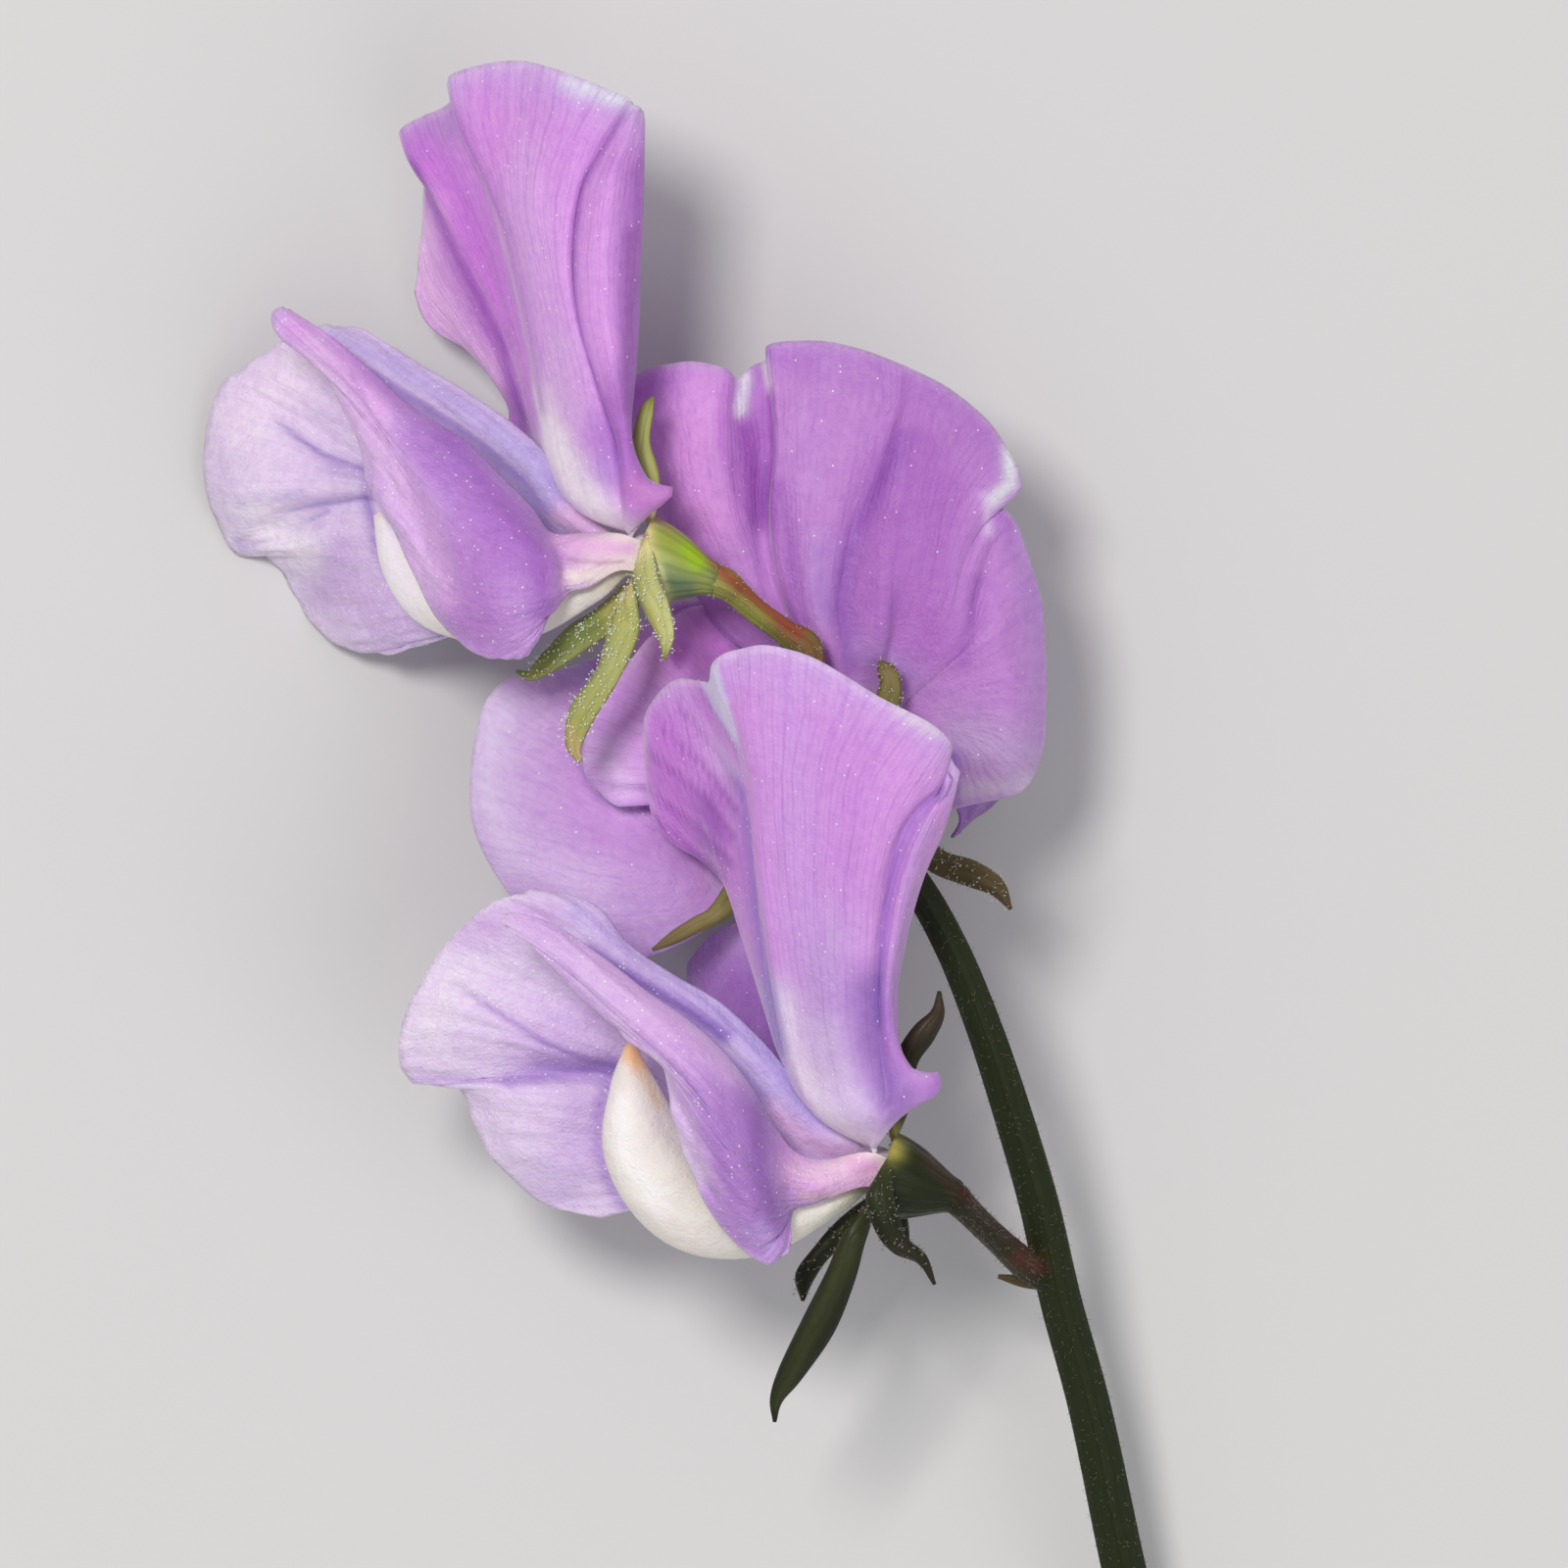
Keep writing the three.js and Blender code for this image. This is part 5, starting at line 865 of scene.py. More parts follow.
def tooth_grid(root, tooth):
    """Points of a hollow tooth from the rim to its tip, and each row's share of the way."""
    line = [root[1]] + [np.array(point[:3], float) for point in tooth]
    rows = [root]
    for i, (x, y, z, half) in enumerate(tooth):
        half *= TOOTH_TIP if i == len(tooth) - 1 else TOOTH_WIDTH
        along = unit(line[min(i + 2, len(line) - 1)] - line[i])
        across = unit(np.cross([0, 0, 1], along)) * half
        # Every row runs the same way round the cup
        if (rows[-1][2] - rows[-1][0]) @ across >= 0:
            across = -across
        middle = np.array([x, y, z], float)
        rows.append([middle + across, middle, middle - across])
    fine = spline(np.array(rows), TOOTH_STEPS)
    fine = np.swapaxes(spline(np.swapaxes(fine, 0, 1), CUP_STEPS), 0, 1)
    width = fine.shape[1]
    bowl = 1 - (2 * np.arange(width) / (width - 1) - 1) ** 2
    normals = sheet_normals(fine)
    size = np.linalg.norm(fine[:, -1] - fine[:, 0], axis=-1)
    reach = np.linspace(0, 1, len(fine))
    # The hollow starts in the first sixth
    hollow = (TOOTH_HOLLOW * size * np.clip(reach * 6, 0, 1))[:, None] * bowl
    facing = np.sign(normals[len(fine) // 2, width // 2, 2])
    return fine + facing * hollow[..., None] * normals, reach


def calyx_sheet(bloom, teeth):
    """The cup and its teeth: points, faces, the share from base to tips and the place around."""
    columns = 3 * TEETH * CUP_STEPS
    rings = cup_rings(bloom, columns)
    last = len(rings) - 2
    rim = last * columns
    points = list(np.concatenate(rings))
    share = [CUP_SHARE * k / last for k in [*range(last + 1), 0] for _ in range(columns)]
    around = [j / columns for _ in rings for j in range(columns)]
    faces = []
    for low, high in [(i, i + 1) for i in range(last)] + [(last + 1, 0)]:
        faces += band(low * columns, high * columns, columns)
    for t, tooth in enumerate(teeth):
        root = [points[rim + (3 * t + k) * CUP_STEPS] for k in range(3)]
        fine, reach = tooth_grid(root, tooth)
        width = fine.shape[1]
        row = [rim + (3 * t * CUP_STEPS + k) % columns for k in range(width)]
        for r in range(1, len(fine)):
            new = list(range(len(points), len(points) + width))
            points += list(fine[r])
            share += [CUP_SHARE + (1 - CUP_SHARE) * reach[r]] * width
            around += list((3 * t + 2 * np.arange(width) / (width - 1)) / (3 * TEETH))
            faces += [[row[k], row[k + 1], new[k + 1], new[k]] for k in range(width - 1)]
            row = new
    return bloom.lift(np.array(points)), np.array(faces), np.array(share), np.array(around)


def calyx(name, bloom, teeth, look):
    """A ribbed cup with five curved teeth, and its fine hairs."""
    points, faces, share, around = calyx_sheet(bloom, teeth)
    thickness = np.interp(share, [0, CUP_SHARE, 1],
                          [CALYX_THICKNESS, CALYX_THICKNESS, TOOTH_TIP_THICKNESS])
    solid, solid_faces, normals = thicken(points, faces, thickness)
    tint = painted(points[:, :2], share, look)
    places, ways = scatter(points, faces, normals, look.get("hairs", CALYX_HAIRS), look["seed"])
    lengths = np.random.default_rng(look["seed"] + 1).uniform(*CALYX_HAIR_LENGTHS, len(places))
    fuzz, fuzz_faces = hairs(places + CALYX_HAIR_LIFT * ways, ways, lengths, CALYX_HAIR_RADIUS,
                             look["seed"] + 2, head=CALYX_HAIR_HEAD)
    uv = np.stack([around, share], 1)
    # hair_shade darkens the hairs of a calyx that lies in shade, as painted shade
    hair_shade = np.full((len(fuzz), 3), look.get("hair_shade", 1.0))
    add_piece(name, name, np.concatenate([solid, fuzz]),
              solid_faces.tolist() + (len(solid) + fuzz_faces).tolist(),
              np.concatenate([uv, uv, np.zeros((len(fuzz), 2))]),
              np.concatenate([tint, tint, hair_shade]),
              [CALYX_SKIN, HAIR], [0] * len(solid_faces) + [1] * len(fuzz_faces))


def closed_rod(rings, first=0):
    """Faces of a row of rings with flat ends, whose two middle points come after the rings."""
    count, sides = rings.shape[:2]
    faces = []
    for i in range(count - 1):
        faces += band(first + i * sides, first + (i + 1) * sides, sides)
    ends = first + count * sides
    for j in range(sides):
        following = (j + 1) % sides
        faces.append([ends, first + following, first + j])
        faces.append([ends + 1, ends - sides + j, ends - sides + following])
    return faces


def keel(name, bloom, line, look):
    """The closed keel with low waves, pinched along its upper and lower edge."""
    rings, centres = keel_rings(bloom, line, KEEL_STEPS, KEEL_SIDES, KEEL_PINCH)
    count, sides = rings.shape[:2]
    v = np.repeat(np.linspace(0, 1, count), sides)
    u = np.tile(np.arange(sides) / sides, count)
    wave = KEEL_WAVE_HEIGHT * waves(u, v, look["seed"], *KEEL_WAVES) * np.sin(math.pi * v)
    outward = unit(rings - centres[:, None]).reshape(-1, 3)
    points = rings.reshape(-1, 3) + wave[:, None] * outward
    points = np.concatenate([points, centres[:1], centres[-1:]])
    points[:, 2] = np.maximum(points[:, 2], KEEL_LOWEST)
    uv = np.concatenate([np.stack([u, v], 1), [[0, 0], [0, 1]]])
    tint = painted(points[:, :2], uv[:, 1], look)
    add_piece(name, name, points, closed_rod(rings), uv, tint, [KEEL_SKIN])


def rod_rings(path, sides, shape=None):
    """Rings round a curve of [x, y, z, radius]. shape gives a factor for each angle."""
    path = np.asarray(path, float)
    centres = path[:, :3]
    along = unit(np.concatenate([centres[1:2] - centres[:1], centres[2:] - centres[:-2],
                                 centres[-1:] - centres[-2:-1]]))
    angle = 2 * math.pi * np.arange(sides) / sides
    factor = np.ones(sides) if shape is None else shape(angle)
    side = np.array([0.0, 0, 1])
    rings = []
    for centre, way, radius in zip(centres, along, path[:, 3]):
        side = unit(side - way * (side @ way))
        across = np.cross(way, side)
        size = (radius * factor)[:, None]
        rings.append(centre + size * (np.cos(angle)[:, None] * side + np.sin(angle)[:, None] * across))
    return np.array(rings), centres


def ridged(angle):
    """Five broad ridges with fine grooves between, as on the stalk."""
    return 1 + 0.05 * np.cos(5 * angle) + 0.022 * np.cos(10 * angle + 0.6) + 0.012 * np.cos(20 * angle)


def stem():
    """The stalk with its bloom stalks, joint and bract in one piece, with fine hairs."""
    points, faces, uv, tint = [], [], [], []
    spots, ways = [], []
    # Each rod as (path, sides, ridges, colours, number of hairs)
    rods = [(spline(PEDUNCLE, STALK_STEPS), STALK_SIDES, ridged, STEM_RAMP, STALK_HAIRS)]
    for line, colours in zip(PEDICELS, PEDICEL_RAMPS):
        rods.append((spline(line, STALK_STEPS), PEDICEL_SIDES, None, colours, PEDICEL_HAIRS))
    rods.append((spline(BRACT, BRACT_STEPS), BRACT_SIDES, None, BRACT_RAMP, 0))
    first = 0
    for k, (path, sides, shape, colours, hair_count) in enumerate(rods):
        rings, centres = rod_rings(path, sides, shape)
        flat = rings.reshape(-1, 3)
        flat[:, 2] = np.maximum(flat[:, 2], STEM_LOWEST)
        v = np.repeat(np.linspace(0, 1, len(rings)), sides)
        u = np.tile(np.arange(sides) / sides, len(rings))
        normals = unit(rings - centres[:, None]).reshape(-1, 3)
        new_faces = closed_rod(rings, first)
        points += [flat, centres[:1], centres[-1:]]
        faces += new_faces
        uv.append(np.concatenate([np.stack([u, v], 1), [[0, 0], [0, 1]]]))
        colour = ramp(uv[-1][:, 1], colours)
        colour[-2:] = linear(PITH)
        tint.append(colour)
        if hair_count:
            quads = np.array([face for face in new_faces if len(face) == 4]) - first
            spot, way = scatter(flat, quads, normals, hair_count, STEM_SEED + 2 + k)
            spots.append(spot)
            ways.append(way)
        first += len(flat) + 2
    points = np.concatenate(points)
    tint = paint(points[:, :2], np.concatenate(tint), STEM_STROKES)
    spots, ways = np.concatenate(spots), np.concatenate(ways)
    lengths = np.random.default_rng(STEM_SEED + 1).uniform(*STEM_HAIR_LENGTHS, len(spots))
    fuzz, fuzz_faces = hairs(spots, ways, lengths, STEM_HAIR_RADIUS, STEM_SEED)
    fuzz[:, 2] = np.maximum(fuzz[:, 2], STEM_LOWEST)
    kinds = [0] * len(faces) + [1] * len(fuzz_faces)
    faces += (len(points) + fuzz_faces).tolist()
    uv = np.concatenate(uv + [np.zeros((len(fuzz), 2))])
    # Hairs low on the stalk are darkened as painted shade
    shade = np.where(fuzz[:, 1:2] > SHADED_HAIRS_TO_Y, UNSHADED_HAIR_TINT, SHADED_HAIR_TINT)
    tint = np.concatenate([tint, np.repeat(shade, 3, axis=1)])
    add_piece("stem_skin", "stem", np.concatenate([points, fuzz]), faces, uv, tint,
              [STEM_SKIN, HAIR], kinds)


# Materials


class Nodes:
    """A small help to build a material's node tree."""

    def __init__(self, name, **values):
        self.material = bpy.data.materials.new(name)
        self.material.use_nodes = True
        self.tree = self.material.node_tree
        self.shader = self.tree.nodes["Principled BSDF"]
        for socket, value in values.items():
            self.shader.inputs[socket.replace("_", " ")].default_value = value

    def add(self, kind, inputs=None, **settings):
        node = self.tree.nodes.new(f"ShaderNode{kind}")
        for key, value in settings.items():
            setattr(node, key, value)
        for key, value in (inputs or {}).items():
            if isinstance(value, bpy.types.NodeSocket):
                self.tree.links.new(value, node.inputs[key])
            else:
                node.inputs[key].default_value = value
        return node

    def math(self, operation, a, b=0.0):
        return self.add("Math", {0: a, 1: b}, operation=operation).outputs[0]

    def ramped(self, value, low, high, to_low=0.0, to_high=1.0):
        return self.add("MapRange", {0: value, 1: low, 2: high, 3: to_low, 4: to_high},
                        interpolation_type="SMOOTHSTEP").outputs[0]

    def noise(self, scale, detail=2.0, vector=None, roughness=0.5):
        inputs = {"Scale": scale, "Detail": detail, "Roughness": roughness}
        if vector is not None:
            inputs["Vector"] = vector
        return self.add("TexNoise", inputs).outputs["Fac"]

    def mix(self, factor, a, b, blend="MIX"):
        node = self.tree.nodes.new("ShaderNodeMix")
        node.data_type = "RGBA"
        node.blend_type = blend
        for index, value in ((0, factor), (6, a), (7, b)):
            if isinstance(value, bpy.types.NodeSocket):
                self.tree.links.new(value, node.inputs[index])
            elif index == 0:
                node.inputs[index].default_value = value
            else:
                node.inputs[index].default_value = (*value, 1)
        return node.outputs[2]

    def scaled(self, value, size):
        return self.math("MULTIPLY", value, size)

    def tinted(self, share, colour, factor):
        """The colour, times the factor where the share is 1."""
        return self.mix(share, colour, self.mix(1.0, colour, factor, "MULTIPLY"))

    def places(self):
        """The place across the piece, along it, and in space."""
        fan = self.add("UVMap", uv_map="fan").outputs[0]
        parts = self.add("SeparateXYZ", {0: fan})
        return parts.outputs[0], parts.outputs[1], self.add("TexCoord").outputs["Object"]

    def attribute(self, name, output="Color"):
        return self.add("Attribute", attribute_name=name).outputs[output]

    def cells(self, place, scale, low, high):
        """Round spots in cells, and a random number for each cell."""
        cells = self.add("TexVoronoi", {"Vector": place, "Scale": scale})
        chosen = self.add("SeparateColor", {0: cells.outputs["Color"]}).outputs[0]
        return self.ramped(cells.outputs["Distance"], low, high, 1.0, 0.0), chosen

    def out(self, socket, value):
        self.tree.links.new(value, self.shader.inputs[socket])

    def bump(self, height, strength, distance):
        node = self.add("Bump", {"Height": height, "Strength": strength, "Distance": distance})
        self.out("Normal", node.outputs[0])


def vein_lines(nodes, u, v, count, warp, width, low, high):
    """Thin lines along the petal, count of them across it, that fade in from low to high."""
    place = nodes.math("ADD", nodes.math("MULTIPLY", u, count), warp)
    gap = nodes.math("ABSOLUTE", nodes.math("SUBTRACT", nodes.math("FRACT", place), 0.5))
    line = nodes.ramped(gap, 0.0, width, 1.0, 0.0)
    return nodes.math("MULTIPLY", line, nodes.ramped(v, low, high))


# Veins as [count across the petal, scale and size of their wander, width, where they fade in along
# the petal, strength]
VEINS = [
    [110.0, 320.0, 2.6, 0.3, 0.45, 0.7, 0.26],
    [46.0, 200.0, 1.6, 0.2, 0.3, 0.5, 0.3],
    [15.0, 120.0, 0.8, 0.1, 0.12, 0.3, 0.24],
]
VEIN_COLOUR = (0.74, 0.52, 0.86)
# Bumps of a petal as [scale, detail, height]
PETAL_BUMPS = [[5200.0, 2.0, 0.35], [900.0, 3.0, 0.6], [380.0, 3.0, 1.2]]
PETAL_FOLD_HEIGHT = 0.5


def petal_skin(name, depth, relief, translucent, crumple, fleck=(0.8, 0.66, 0.88)):
    """Petal tissue: fan veins, fine cells, soft mottling, fine crumples and painted glints in some cells.
    """
    nodes = Nodes(name, Roughness=0.55, Subsurface_Weight=translucent, Subsurface_Scale=0.0012,
                  Subsurface_Radius=(1.0, 0.6, 1.0), Specular_IOR_Level=0.35, Sheen_Weight=0.25,
                  Sheen_Roughness=0.4)
    u, v, place = nodes.places()
    veins = 0.0
    for count, scale, wander, width, low, high, strength in VEINS:
        warp = nodes.scaled(nodes.noise(scale, 2.0, place), wander)
        line = vein_lines(nodes, u, v, count, warp, width, low, high)
        veins = nodes.math("ADD", nodes.scaled(line, strength), veins)
    colour = nodes.tinted(nodes.scaled(veins, depth), nodes.attribute("tint"), VEIN_COLOUR)
    # Pale patches, flecks and broad shade, as [scale, detail, roughness, from, to, share, factor]
    for scale, detail, rough, low, high, share, factor in (
            [240.0, 4.0, 0.6, 0.35, 0.68, 0.2, (1.12, 1.16, 1.04)],
            [1500.0, 3.0, 0.65, 0.4, 0.64, 0.3, fleck],
            [90.0, 3.0, 0.5, 0.35, 0.7, 0.22, (0.84, 0.66, 0.9)]):
        layer = nodes.ramped(nodes.noise(scale, detail, place, rough), low, high)
        colour = nodes.tinted(nodes.scaled(layer, share), colour, factor)
    # Painted glints: near-white spots in some cells, more of them where the piece's glint field is high
    glint, chosen = nodes.cells(place, 4200.0, 0.12, 0.34)
    enough = nodes.math("SUBTRACT", 1.0, nodes.scaled(nodes.attribute("painted_glint", "Fac"), PAINTED_GLINT_SHARE))
    glint = nodes.math("MULTIPLY", glint, nodes.math("GREATER_THAN", chosen, enough))
    nodes.out("Base Color", nodes.mix(nodes.scaled(glint, 0.75), colour, (0.98, 0.95, 1.0)))
    nodes.out("Roughness", nodes.ramped(nodes.noise(700.0, 3.0, place), 0.3, 0.7, 0.46, 0.66))
    height = nodes.scaled(veins, -relief)
    for scale, detail, size in PETAL_BUMPS:
        height = nodes.math("ADD", height, nodes.scaled(nodes.noise(scale, detail, place), size))
    folds = nodes.add("TexVoronoi", {"Vector": place, "Scale": 420.0, "Randomness": 1.0}, feature="F2")
    height = nodes.math("ADD", height, nodes.scaled(folds.outputs["Distance"], PETAL_FOLD_HEIGHT))
    # The claw is smoother than the blade
    height = nodes.math("MULTIPLY", height, nodes.ramped(v, 0.08, 0.28, 0.3, 1.0))
    nodes.bump(height, 0.6, crumple)
    return nodes.material


def green_skin(name, streak_count, rough):
    """Green tissue with lengthwise streaks, yellowish patches and pale specks."""
    nodes = Nodes(name, Roughness=rough, Subsurface_Weight=0.1, Subsurface_Scale=0.0006,
                  Subsurface_Radius=(0.6, 1.0, 0.3), Specular_IOR_Level=0.22, Sheen_Weight=0.04,
                  Sheen_Roughness=0.5)
    u, v, place = nodes.places()
    wander = nodes.scaled(nodes.noise(200.0, 2.0, place), 1.2)
    lines = vein_lines(nodes, u, v, streak_count, wander, 0.3, -1.0, -0.5)
    colour = nodes.tinted(nodes.scaled(lines, 0.35), nodes.attribute("tint"), (0.55, 0.6, 0.45))
    patches = nodes.ramped(nodes.noise(420.0, 4.0, place, 0.6), 0.38, 0.68)
    colour = nodes.tinted(nodes.scaled(patches, 0.35), colour, (1.0, 0.9, 0.55))
    speck, chosen = nodes.cells(place, 2200.0, 0.08, 0.2)
    speck = nodes.math("MULTIPLY", speck, nodes.ramped(chosen, 0.8, 0.86))
    nodes.out("Base Color", nodes.tinted(nodes.scaled(speck, 0.22), colour, (1.9, 1.9, 1.7)))
    shine = nodes.noise(900.0, 3.0, place)
    nodes.out("Roughness", nodes.ramped(shine, 0.3, 0.7, rough - 0.1, rough + 0.1))
    height = nodes.math("ADD", nodes.scaled(lines, -0.6), nodes.noise(1600.0, 3.0, place))
    nodes.bump(height, 0.5, 0.00012)
    return nodes.material


def hair_skin():
    """Pale, smooth hairs, a little different from place to place."""
    nodes = Nodes("hair", Roughness=0.2, Subsurface_Weight=0.2, Subsurface_Scale=0.0003)
    spread = nodes.noise(300.0, 2.0, nodes.add("TexCoord").outputs["Object"])
    pale = nodes.mix(spread, (0.8, 0.84, 0.6), (1.0, 1.0, 0.9))
    nodes.out("Base Color", nodes.mix(1.0, pale, nodes.attribute("tint"), "MULTIPLY"))
    return nodes.material


STANDARD_SKIN = petal_skin("petal_standard", 0.7, 0.25, 0.25, 0.00026)
BACK_SKIN = petal_skin("petal_back", 0.4, 0.25, 0.25, 0.0003)
WING_SKIN = petal_skin("petal_wing", 0.26, 0.08, 0.3, 0.0005)
KEEL_SKIN = petal_skin("petal_keel", 0.04, 0.0, 0.3, 0.0004, (0.94, 0.95, 0.82))
CALYX_SKIN = green_skin("calyx_green", 15.0, 0.5)
STEM_SKIN = green_skin("stem_green", 10.0, 0.6)
HAIR = hair_skin()


# How each piece looks: colours from its claw or root to its margin or tip, strokes of colour as
# [line, width, colour, strength, side], creases as [line, width, height] and places with more
# painted glints as [line, width]; shine sets the usual share of painted glints. Besides the pieces'
# own colours, many strokes are painted shade in folds, creases and shadows, and some are painted
# light, as noted at each look. Every line is seen from above. A margin has a tinge of its own
# colour or of white; the white is partly the petal's paler edge and partly a painted highlight.

STANDARD_RAMP = [(0, WHITE), (0.12, PALE), (0.24, LILAC), (0.36, PINK), (0.9, PINK), (1, LILAC)]
BACK_RAMP = [(0, CREAM), (0.12, PALE), (0.3, SHADED_PINK), (0.9, SHADED_PINK), (1, MAUVE)]
WING_RAMP = [(0, CREAM), (0.12, CREAM), (0.24, PINK), (0.5, LILAC), (1, LILAC)]
FAR_RAMP = [(0, CREAM), (0.12, PALE), (0.24, BLUISH), (0.6, PALE), (1, PALE)]

TOP_STANDARD_LOOK = {
    "seed": 11,
    "ramp": STANDARD_RAMP,
    "strokes": [
        # White beside the fold near the base, deep pink in the ear, and deep pink and violet at the
        # claw's right, partly painted shade where the rolled margin turns away
        [[(-15.9, 25), (-14.9, 21), (-13.4, 18.3), (-11, 16.6)], 1.6, (255, 246, 252), 1, 1],
        [[(-14.6, 22), (-13.2, 18.8), (-11.6, 17)], 1, (255, 248, 252), 1],
        [[(-10.4, 24), (-9.7, 20.5), (-9.4, 18)], 1.5, DEEP_PINK, 0.75],
        [[(-11.6, 23), (-10.8, 19.5)], 1, VIOLET, 0.3],
        [[(-9.4, 19), (-8.6, 18.2), (-7, 18.7)], 1.1, (188, 122, 192), 0.9],
        # Painted shade on the fold's far side, and the deep pink strip, partly painted shade where it
        # slopes away
        [[(-21.6, 43.5), (-20, 40.2), (-17.8, 35.3), (-16.4, 29.4), (-15.5, 24)],
         0.5, DARK_PINK, 0.65, 1],
        [[(-23.2, 41), (-20.4, 36.5), (-18.4, 31.5), (-16.9, 26.5)], 1.6, (194, 116, 214), 0.8],
        [[(-22.5, 39.4), (-20.6, 35), (-18.3, 30)], 0.8, (212, 132, 226), 0.6],
        [[(-22.8, 42.4), (-21.6, 42)], 1, (176, 132, 200), 0.6],
        # The pale lobe, with painted shadow under the strip's edge
        [[(-23.3, 36.5), (-23.4, 32.5), (-21.4, 29), (-18.6, 26.2)], 1.5, (252, 200, 255), 0.9],
        [[(-23.4, 39.6), (-22.4, 37.7), (-20.2, 33.1), (-17.7, 27.9), (-16.3, 23.2)],
         0.75, DARK_PINK, 0.95, -1],
        # Crease and rolled right margin: painted shade along the crease and where the margin turns under,
        # painted light on its bulge
        [[(-9.7, 43.4), (-11.6, 40.4), (-12.9, 37.9), (-13.4, 34.5), (-13.3, 31), (-12.75, 28),
          (-11.8, 25.3), (-10.7, 22)], 0.32, DARK_PINK, 0.55],
        [[(-9, 39), (-9.4, 34), (-9.6, 26), (-9.7, 22)], 1.6, (166, 108, 190), 0.9],
        [[(-9.9, 35), (-10, 30), (-10.1, 24)], 0.5, (140, 84, 160), 0.6],
        [[(-11.4, 38), (-12.2, 32), (-11.4, 27.5)], 0.8, (218, 158, 232), 0.7],
        [[(-16.8, 40), (-15.6, 33), (-14.6, 27)], 1.5, (222, 176, 238), 0.75],
        [[(-14, 28), (-13, 24)], 1.1, (216, 180, 232), 0.6],
        [[(-19.2, 44), (-18.2, 40)], 1.2, (214, 146, 226), 0.6],
        [[(-13.6, 44.7), (-11.6, 44), (-10.2, 43.7)], 0.7, (214, 224, 236), 0.85],
    ],
}
# Wrinkles in the far half of the front standard, with painted shade in each and painted light beside it
WRINKLES = [
    [(-3.1, -3.4), (-5.2, -0.6), (-8.4, 1.8)],
    [(-2.9, -1.8), (-4.8, 0.9), (-7.6, 3.4)],
    [(-2.8, -0.2), (-4.4, 2.4), (-6.6, 4.8)],
    [(-3.4, -4.9), (-5.6, -2.6), (-8.6, -0.4)],
    [(-3.6, -6), (-5.8, -4.2), (-8.2, -2.2)],
    [(-3, 1.2), (-4.4, 3.8), (-5.8, 5.8)],
]
LIGHT_OFFSETS = [(0.35, 0.25), (0.35, 0.25), (0.3, 0.4)]
WRINKLE_LIGHTS = [[(x + right, y + up) for (x, y), (right, up) in zip(line, LIGHT_OFFSETS)]
                  for line in WRINKLES]
FRONT_STANDARD_LOOK = {
    "seed": 21,
    "ramp": STANDARD_RAMP,
    "strokes": [
        # White at the base beside the fold; painted shade in the deep valley between the claw and the
        # rolled ear
        [[(-0.1, -14.5), (0.5, -17.8), (2, -20.6), (4, -22.6)], 1.7, WHITE, 0.95, 1],
        [[(-0.8, -13), (0, -17)], 0.9, (206, 206, 236), 0.6],
        [[(1.4, -18), (3.4, -21.4)], 1.2, WHITE, 0.8],
        [[(6.8, -20.6), (7.8, -19.8)], 0.8, (150, 104, 178), 0.8],
        [[(2.6, -9), (3, -16)], 2.6, (190, 164, 218), 0.75],
        [[(2.6, -16), (4.4, -20.4)], 1.4, (212, 196, 230), 0.8],
        [[(5.5, -13), (5.7, -16.4), (6.6, -19.2)], 1.5, (138, 102, 180), 0.8],
        [[(9.2, -19.6), (9.8, -18.9)], 0.5, MAUVE, 0.8],
        # Painted shade on the fold's dark side, the deep pink far half, partly painted shade, with its
        # light sliver
        [[(-4.2, 6.7), (-2.9, 2.3), (-2.1, -2.1), (-1.5, -7.3), (-0.7, -12.4), (0.1, -16.8)], 0.8,
         VIOLET, 0.85, -1],
        [[(-8, 3.5), (-6.8, -0.5), (-4.6, -5)], 2.2, (200, 122, 218), 0.85],
        [[(-4.6, -1), (-4.2, -5)], 1.1, DARK_PINK, 0.75],
        *[[line, 0.17, (150, 84, 178), 0.6] for line in WRINKLES],
        *[[line, 0.15, (222, 156, 234), 0.45] for line in WRINKLE_LIGHTS],
        # The light sliver lies between these two lines
        [[(-4.15, 7.2), (-3.3, 4.4), (-2.7, 2.3)], 1.5, (216, 214, 240), 1, -1],
        [[(-5.7, 7.2), (-4.4, 4.6), (-2.8, 2.1)], 1, (204, 130, 220), 0.95, -1],
        [[(-5.7, 6.9), (-4.4, 4.6), (-2.8, 2.1)], 0.14, (150, 100, 184), 0.6],
        [[(-8.9, 3.8), (-9.1, 1.4), (-8.6, -1.4)], 0.35, (226, 176, 238), 0.7],
        # Crease: painted shade along it and towards the rolled edge beyond it
        [[(10.1, -0.4), (8.8, -1.6), (7.8, -3.1), (7.2, -4.9), (6.7, -7), (6.3, -9.8), (6.1, -12.4),
          (6.1, -15)], 0.32, VIOLET, 0.65],
        [[(9.2, -2.4), (8.2, -5), (7.4, -9), (6.9, -13)], 0.6, (182, 144, 206), 0.75],
        [[(0.4, 6), (0.8, 0), (1.4, -8)], 2, (206, 162, 231), 0.7],
        [[(4.8, 3), (4, -6)], 2, (196, 138, 216), 0.6],
        [[(9.6, 3.4), (7.6, 4.6)], 0.5, (222, 216, 226), 0.7],
    ],
    "creases": [[line, 0.2, -0.16] for line in WRINKLES],
    "painted_glint": [[[(-6.5, -4.3), (-3.3, -7.2)], 1.4], [[(0, -16), (2, -20)], 1.6]],
}
